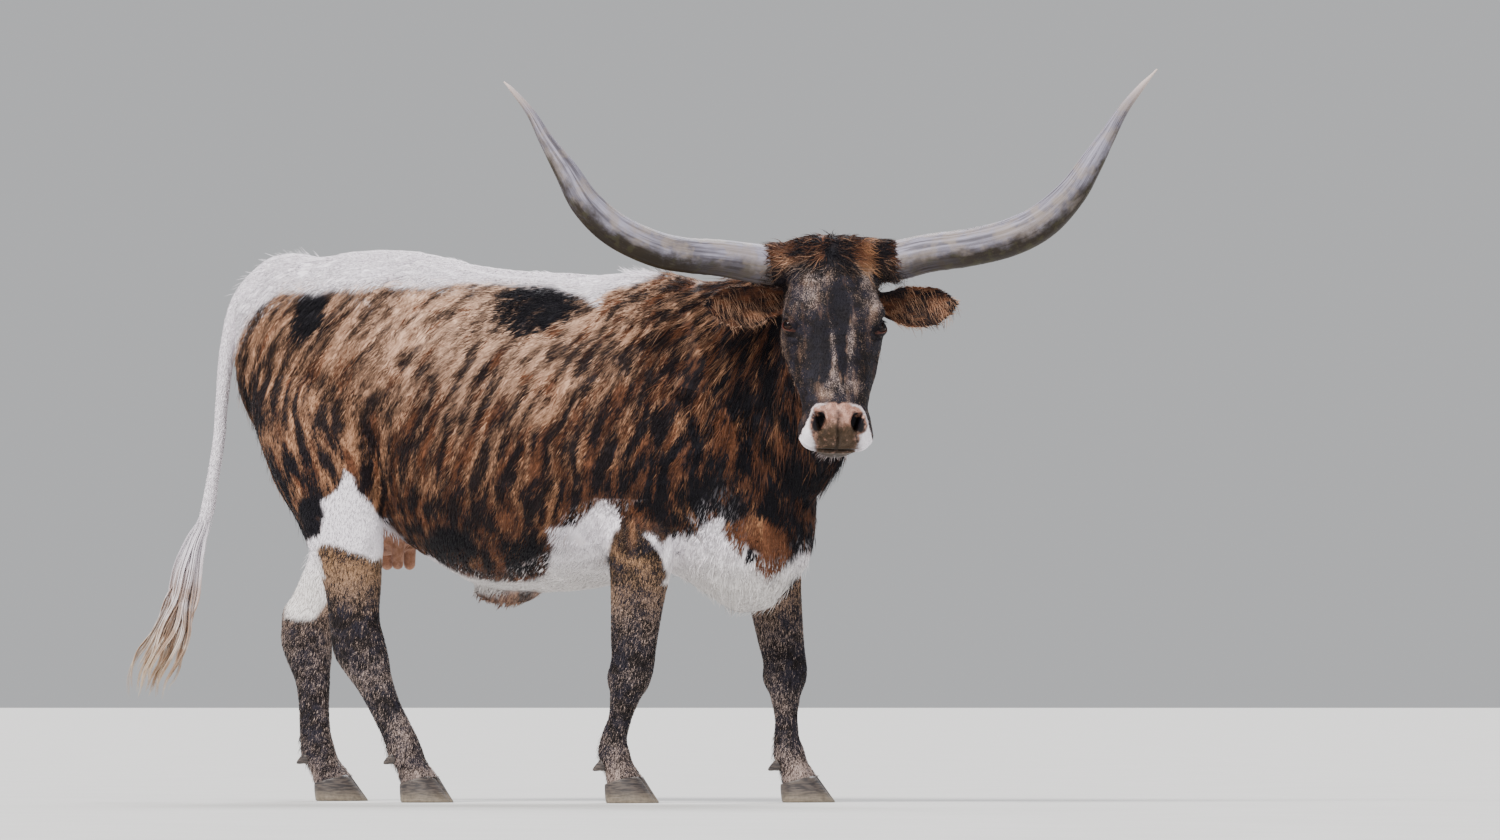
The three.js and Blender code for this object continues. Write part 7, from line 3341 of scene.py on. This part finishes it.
EARS = (Region.EAR_RIGHT, Region.EAR_LEFT)
LEG_REGIONS = (Region.FORE_RIGHT, Region.FORE_LEFT, Region.HIND_RIGHT, Region.HIND_LEFT)
HEAD_LOCKS: tuple[LockGroup, ...] = (
    LockGroup("poll", (Region.HEAD,), 1250, 40, 2.0, 6, is_poll, 0.25, 0.45, loose=16),
    LockGroup("poll edge", (Region.HEAD,), 380, 9, 0.6, 40, is_poll_edge, loose=25, tint=(0.3, 0.5, 0.8)),
    LockGroup("horn base", (Region.HEAD,), 480, 40, 1.8, 5, is_horn_base, 0.1, 0.35, loose=18, way=outwards),
    LockGroup(
        "lashes", (Region.HEAD,), 120, 11, 0.6, 30, is_lash, 0.2, 0.2, way=outwards,
        tint=(0.95, 0.1, 0.3),
    ),
    LockGroup(
        "ear hair", EARS, 560, 40, 1.0, 9, is_cup, 0.2, 0.16, loose=9,
        way=lambda p: np.stack([0.34 + 0 * p[:, 0], -1 + 0 * p[:, 0], 0.2 + 0 * p[:, 0]], axis=1),
        tint=(0.32, 0.35, 0.7),
    ),
    LockGroup("ear rim", EARS, 560, 13, 1.0, 26, is_ear_rim, tint=(0.1, 0.1, 0.4)),
    LockGroup(
        "chin", (Region.HEAD,), 90, 20, 0.7, 40, lambda q, p, n: (q[:, 1] < -470) & (q[:, 2] < -104),
        0.3, tint=(0.1, 0.1, 0.3), white=0.6,
    ),
    LockGroup(
        "jaw", (Region.HEAD,), 260, 26, 1.4, 16,
        lambda q, p, n: (q[:, 1] < -180) & (q[:, 1] > -420) & (q[:, 2] < -150), 0.5, 0.2,
    ),
)
BODY_LOCKS: tuple[LockGroup, ...] = (
    LockGroup("neck", (Region.NECK,), 1800, 74, 2.0, 3, lambda q, p, n: p[:, 2] > 760, 0.1, 0.16),
    LockGroup(
        "brisket", (Region.NECK, Region.TRUNK), 500, 34, 2.0, 14,
        lambda q, p, n: (p[:, 0] > 380) & (n[:, 2] < -0.25), 0.4, 0.2,
    ),
    LockGroup(
        "tail head", (Region.TRUNK, Region.TAIL), 160, 26, 2.0, 34,
        lambda q, p, n: (p[:, 0] < -520) & (p[:, 2] > 1225),
    ),
    LockGroup(
        "withers", (Region.TRUNK, Region.NECK), 120, 24, 1.8, 30,
        lambda q, p, n: (p[:, 0] > 250) & (p[:, 0] < 420) & (n[:, 2] > 0.9),
    ),
    LockGroup(
        "back of the thigh", (Region.HIND_RIGHT, Region.HIND_LEFT, Region.TRUNK), 320, 28, 2.0, 22,
        lambda q, p, n: (n[:, 0] < -0.75) & (p[:, 2] > 560) & (p[:, 2] < 1100),
    ),
    LockGroup(
        "fetlock", LEG_REGIONS, 420, 24, 1.6, 20,
        lambda q, p, n: (n[:, 0] < -0.2) & (p[:, 2] < 170) & (p[:, 2] > 75), 0.4,
    ),
    LockGroup(
        "coronet", LEG_REGIONS, 560, 15, 1.5, 14, lambda q, p, n: (p[:, 2] < 92) & (p[:, 2] > 58), 0.6
    ),
)


@dataclass(frozen=True)
class SwitchFinish:
    """The hair of the switch: white with a lilac cast, tan brown in the middle, cream at the tips."""

    name: str = "switch_hair"

    def material(self) -> Material:
        """Makes the material from the locks' own attributes."""
        paint = Paint(self.name)
        share, pick = paint.attribute("share", "Fac"), paint.attribute("pick", "Fac")
        place = paint.place()
        fine = paint.noise(place, 600.0, 2.0)
        mixed = paint.line(pick, 0.4, paint.noise(place, 26.0, 3.0))
        middle = paint.times(paint.step(share, 0.22, 0.5), paint.step(mixed, 0.48, 0.86))
        colour = paint.mix(paint.step(share, 0.3, 0.95), linear(236, 229, 236), linear(222, 202, 176))
        colour = paint.mix(paint.times(middle, 0.8), colour, linear(158, 118, 84))
        inputs = {"Value": paint.line(fine, 0.4, 0.8), "Color": colour}
        colour = paint.node("ShaderNodeHueSaturation", inputs).outputs[0]
        return paint.done(colour, 0.5, fine, (0.3, 0.001))


@dataclass(frozen=True)
class Switch:
    """The switch at the tail's end: wavy locks gathered in clumps."""

    clumps: int = 34
    in_clump: int = 12
    steps: int = 26

    PATH = (
        (-794, -17, 722), (-806, -18, 671), (-825, -19, 630), (-842, -21, 570), (-862, -23, 482),
        (-880, -24, 422), (-907, -27, 359), (-936, -29, 303), (-946, -31, 237),
    )
    ROWS = (
        (0, 20, 18), (9, 26, 24), (20, 39, 30), (42, 44, 34), (60, 46, 36), (80, 53, 38), (100, 44, 30),
    )

    def build(self, tree: bpy.types.NodeTree, finish: Material) -> Thing:
        """Draws and sweeps the locks.

        Args:
            tree: the tree that sweeps locks.
            finish: the hair's material.

        Returns:
            The finished piece.
        """
        random = np.random.default_rng(29)
        route = Route(self.PATH)
        clump = np.repeat(np.arange(self.clumps), self.in_clump)
        count = len(clump)

        def each(low: float, high: float) -> Array:
            """Draws one number for each clump."""
            return random.uniform(low, high, self.clumps)[clump][:, None]

        turn, spread = each(0, 2 * np.pi), np.sqrt(each(0.02, 1.0))
        phase, wobble = each(0, 2 * np.pi), each(0, 2 * np.pi)
        begin = each(0.0, 0.34) * random.uniform(0.8, 1.0, (count, 1))
        end = each(0.86, 1.0) - random.uniform(0, 0.08, (count, 1))
        share = np.linspace(0, 1, self.steps)[None, :]
        run = begin + (end - begin) * share
        along, across = through(self.ROWS, run.ravel() * 100).T.reshape(2, count, self.steps)
        open_ = np.minimum(1.0, 0.35 + 1.6 * share) * (1 + 0.16 * share**3) * spread
        jitter = random.normal(0, 1, (2, count, 1)) * (1 - 0.55 * share)
        sway = (6.5 * np.sin(phase + 8.5 * run) + 3.6 * np.sin(wobble + 21 * run)) * np.minimum(1, 2 * run)
        roll = 4.0 * np.cos(wobble + 9 * run) * run
        bend = open_ * np.cos(turn) * along * 0.9 + sway + 4.2 * jitter[0]
        aside = open_ * np.sin(turn) * across * 0.9 + roll + 3.4 * jitter[1]
        centre = route.at(run.ravel()).reshape(count, self.steps, 3)
        way = route.way(run.ravel()).reshape(count, self.steps, 3)
        sideways = unit(np.cross(way, np.array([0.0, 1.0, 0.0])))
        lines = centre + sideways * bend[..., None] + np.array([0.0, 1.0, 0.0]) * aside[..., None]
        taper = through(((0, 0.6), (0.15, 1.0), (0.7, 0.8), (1, 0.1)), share[0])[:, 0]
        thick = random.uniform(3.0, 5.2, count)
        outward = sideways * np.cos(turn)[..., None] + np.array([0.0, 1.0, 0.0]) * np.sin(turn)[..., None]
        place = np.stack([clump / self.clumps, random.random(count), np.zeros(count)], axis=1)
        fields = {
            "normal": outward.reshape(-1, 3),
            "place": 0.01 + 0.97 * place,
            "pick": random.random(count),
            "girth": (thick[:, None] * taper).ravel() * MM,
            "share": run.ravel(),
        }
        thing = lines_mesh("switch_lines", lines, fields)
        mesh = run_tree(thing, tree, {"Finish": finish})
        remove(thing)
        mesh.name = "switch_locks"
        return link("switch_locks", mesh)


# Studio and camera


@dataclass(frozen=True)
class Studio:
    """A pale floor, soft light and the camera of the photograph's view."""

    azimuth: float = 18.0
    distance: float = 25.0
    height: float = 0.240
    aside: float = 0.552
    pitch: float = 1.5507
    lens: float = 250.0
    corners: int = 96  # of the floor
    reach: float = 400.0  # of the floor, in metres

    def camera(self) -> Thing:
        """Sets the camera up."""
        turn = math.radians(self.azimuth)
        right = np.array([math.cos(turn), math.sin(turn), 0.0])
        back = np.array([math.sin(turn), -math.cos(turn), 0.0])
        place = right * self.aside + back * self.distance + UP * self.height + SHIFT * MM
        data = bpy.data.cameras.new("view")
        data.lens = self.lens
        data.sensor_width = 36.0
        data.clip_end = 900.0
        made = bpy.data.objects.new("view", data)
        made.location = Vector(place)
        made.rotation_euler = (math.radians(90 + self.pitch), 0.0, turn)
        bpy.context.scene.collection.objects.link(made)
        bpy.context.scene.camera = made
        return made

    def floor(self) -> None:
        """Lays the pale floor."""
        corner = np.arange(self.corners)
        turn = np.linspace(0, 2 * np.pi, self.corners, False)
        ring = self.reach * np.stack([np.cos(turn), np.sin(turn), np.zeros(self.corners)], axis=1)
        points = np.vstack([ring, [[0.0, 0.0, 0.0]]])
        middle = np.full(self.corners, self.corners)
        mesh = make_mesh("floor", points, [np.stack([corner, (corner + 1) % self.corners, middle], axis=1)])
        mesh.materials.append(FloorFinish().material())
        link("floor", mesh)

    def light(self, name: str, place: Row, size: float, power: float, tint: Row) -> None:
        """Adds one soft light that is as strong near as far.

        Args:
            name: the light's name.
            place: the side that it comes from, in metres.
            size: how wide it looks, in degrees.
            power: its strength in watts to the square metre.
            tint: its colour.
        """
        data = bpy.data.lights.new(name, "SUN")
        data.angle = math.radians(size)
        data.energy = power
        data.color = tint
        made = bpy.data.objects.new(name, data)
        made.location = Vector(place)
        made.rotation_euler = (Vector((0.0, 0.0, 0.8)) - Vector(place)).to_track_quat("-Z", "Y").to_euler()
        bpy.context.scene.collection.objects.link(made)

    def build(self) -> None:
        """Sets up the floor, the lamps, the pale surroundings and the camera."""
        self.floor()
        self.light("key", (-2.5, -5.0, 6.5), 22.0, 5.4, (1.0, 0.98, 0.95))
        self.light("fill", (6.5, -4.5, 3.0), 30.0, 0.7, (0.95, 0.97, 1.0))
        self.light("rim", (-1.0, 5.5, 6.0), 26.0, 3.8, (0.97, 0.97, 1.0))
        world = bpy.data.worlds.new("surroundings")
        world.use_nodes = True
        world.node_tree.nodes["Background"].inputs["Color"].default_value = (0.84, 0.85, 0.87, 1.0)
        world.node_tree.nodes["Background"].inputs["Strength"].default_value = 0.62
        bpy.context.scene.world = world
        self.camera()


SKIN_NODES: tuple[str, ...] = (
    "head",
    "ear_right",
    "ear_left",
    "neck",
    "chest",
    "barrel",
    "hindquarters",
    "udder",
    "tail",
    *(f"teat_{end}_{side}" for end in ("front", "rear") for side in ("right", "left")),
    *(f"{part}_{side}" for part in ("forearm", "thigh") for side in ("right", "left")),
    *(f"{part}_{leg.name}" for part in ("cannon", "pastern") for leg in LEGS),
)


def skin_object(skin: SkinMesh, markings: Markings, finish: Material) -> Thing:
    """Makes the skin's object with everything its finish reads.

    Args:
        skin: the finished skin.
        markings: the markings.
        finish: its material.

    Returns:
        The finished piece.
    """
    mesh = make_mesh("skin", metres(skin.points), [skin.triangles])
    growth = markings(skin.points, skin.normals, skin.region)
    fields = {
        "grain": growth.grain,
        "patches": growth.patches,
        "tones": growth.tones,
        "bare": growth.bare,
        "pick": 0.5 + 0.12 * Noise.layered(skin.points, 9.0, 81, 1),
    }
    for name, values in fields.items():
        store(mesh, name, values)
    mesh.materials.append(finish)
    return link("skin", mesh)


def quarter(fore: bool, right: bool) -> Callable[[Array], Array]:
    """Gives the test for one quarter of the trunk."""
    return lambda points: ((points[:, 0] > 0) == fore) & ((points[:, 1] < 0) == right)


TRUNK_HAIR = {"length": 22.0, "width": 2.5, "thick": 0.75, "lean": 4.0}
COAT_PATCHES: tuple[CoatPatch, ...] = (
    *(
        CoatPatch(
            f"coat_{end}_{side.value}", (Region.TRUNK,), count, **TRUNK_HAIR,
            within=quarter(end == "fore", side is Side.RIGHT),
        )
        for end in ("fore", "hind")
        for side, count in ((Side.RIGHT, 27000), (Side.LEFT, 24000))
    ),
    CoatPatch("coat_neck", (Region.NECK,), 17000, 34, 2.4, 0.9, 5),
    CoatPatch(
        "coat_forelegs", (Region.FORE_RIGHT, Region.FORE_LEFT), 19000, 12, 1.9, 0.7, 7, slot="roan_coat"
    ),
    CoatPatch(
        "coat_hindlegs", (Region.HIND_RIGHT, Region.HIND_LEFT), 22000, 14, 2.1, 0.7, 6, slot="roan_coat"
    ),
    CoatPatch("coat_head", (Region.HEAD,), 26000, 8, 1.5, 0.6, 7, slot="dark_coat"),
    CoatPatch(
        "coat_ears_and_tail", (Region.EAR_RIGHT, Region.EAR_LEFT, Region.TAIL), 13000, 11, 1.7, 0.6, 6
    ),
)


def main() -> None:
    """Builds the whole model in order and hands it to the frame."""
    logging.basicConfig(level=logging.INFO, format="%(message)s")
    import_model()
    Studio().build()
    CoatGroup()
    finish = {
        "skin": CoatFinish("skin_finish", 520.0, 0.5, 0.5).material(),
        "coat_hair": CoatFinish("coat_hair", 420.0, 0.35, 0.12).material(),
    }
    skin = SkinMaker().build()
    markings = Markings()
    hand_in(skin_object(skin, markings, finish["skin"]), SKIN_NODES)
    horn = HornFinish().material()
    sweep = HornTree().tree
    for one in HORNS:
        hand_in(one.build(sweep, horn), [f"horn_{one.side.value}"])
    wet = EyeFinish().material()
    for side in Side:
        hand_in(Eyeball(EyeSetting(side)).build(wet), [f"eye_{side.value}"])
    hoof = HoofFinish().material()
    for leg in LEGS:
        Hoof(leg).build(hoof)
    coat = Coat(skin, markings, finish)
    for patch in COAT_PATCHES:
        hand_in(coat.grow(patch))
    coat.tidy()
    long_hair = LongHair(coat)
    hand_in(long_hair.grow("hair_head", HEAD_LOCKS, finish["coat_hair"]))
    hand_in(long_hair.grow("hair_body", BODY_LOCKS, finish["coat_hair"]))
    hand_in(Switch().build(long_hair.tree, SwitchFinish().material()), ["tail_switch"])


if __name__ == "__main__":
    main()
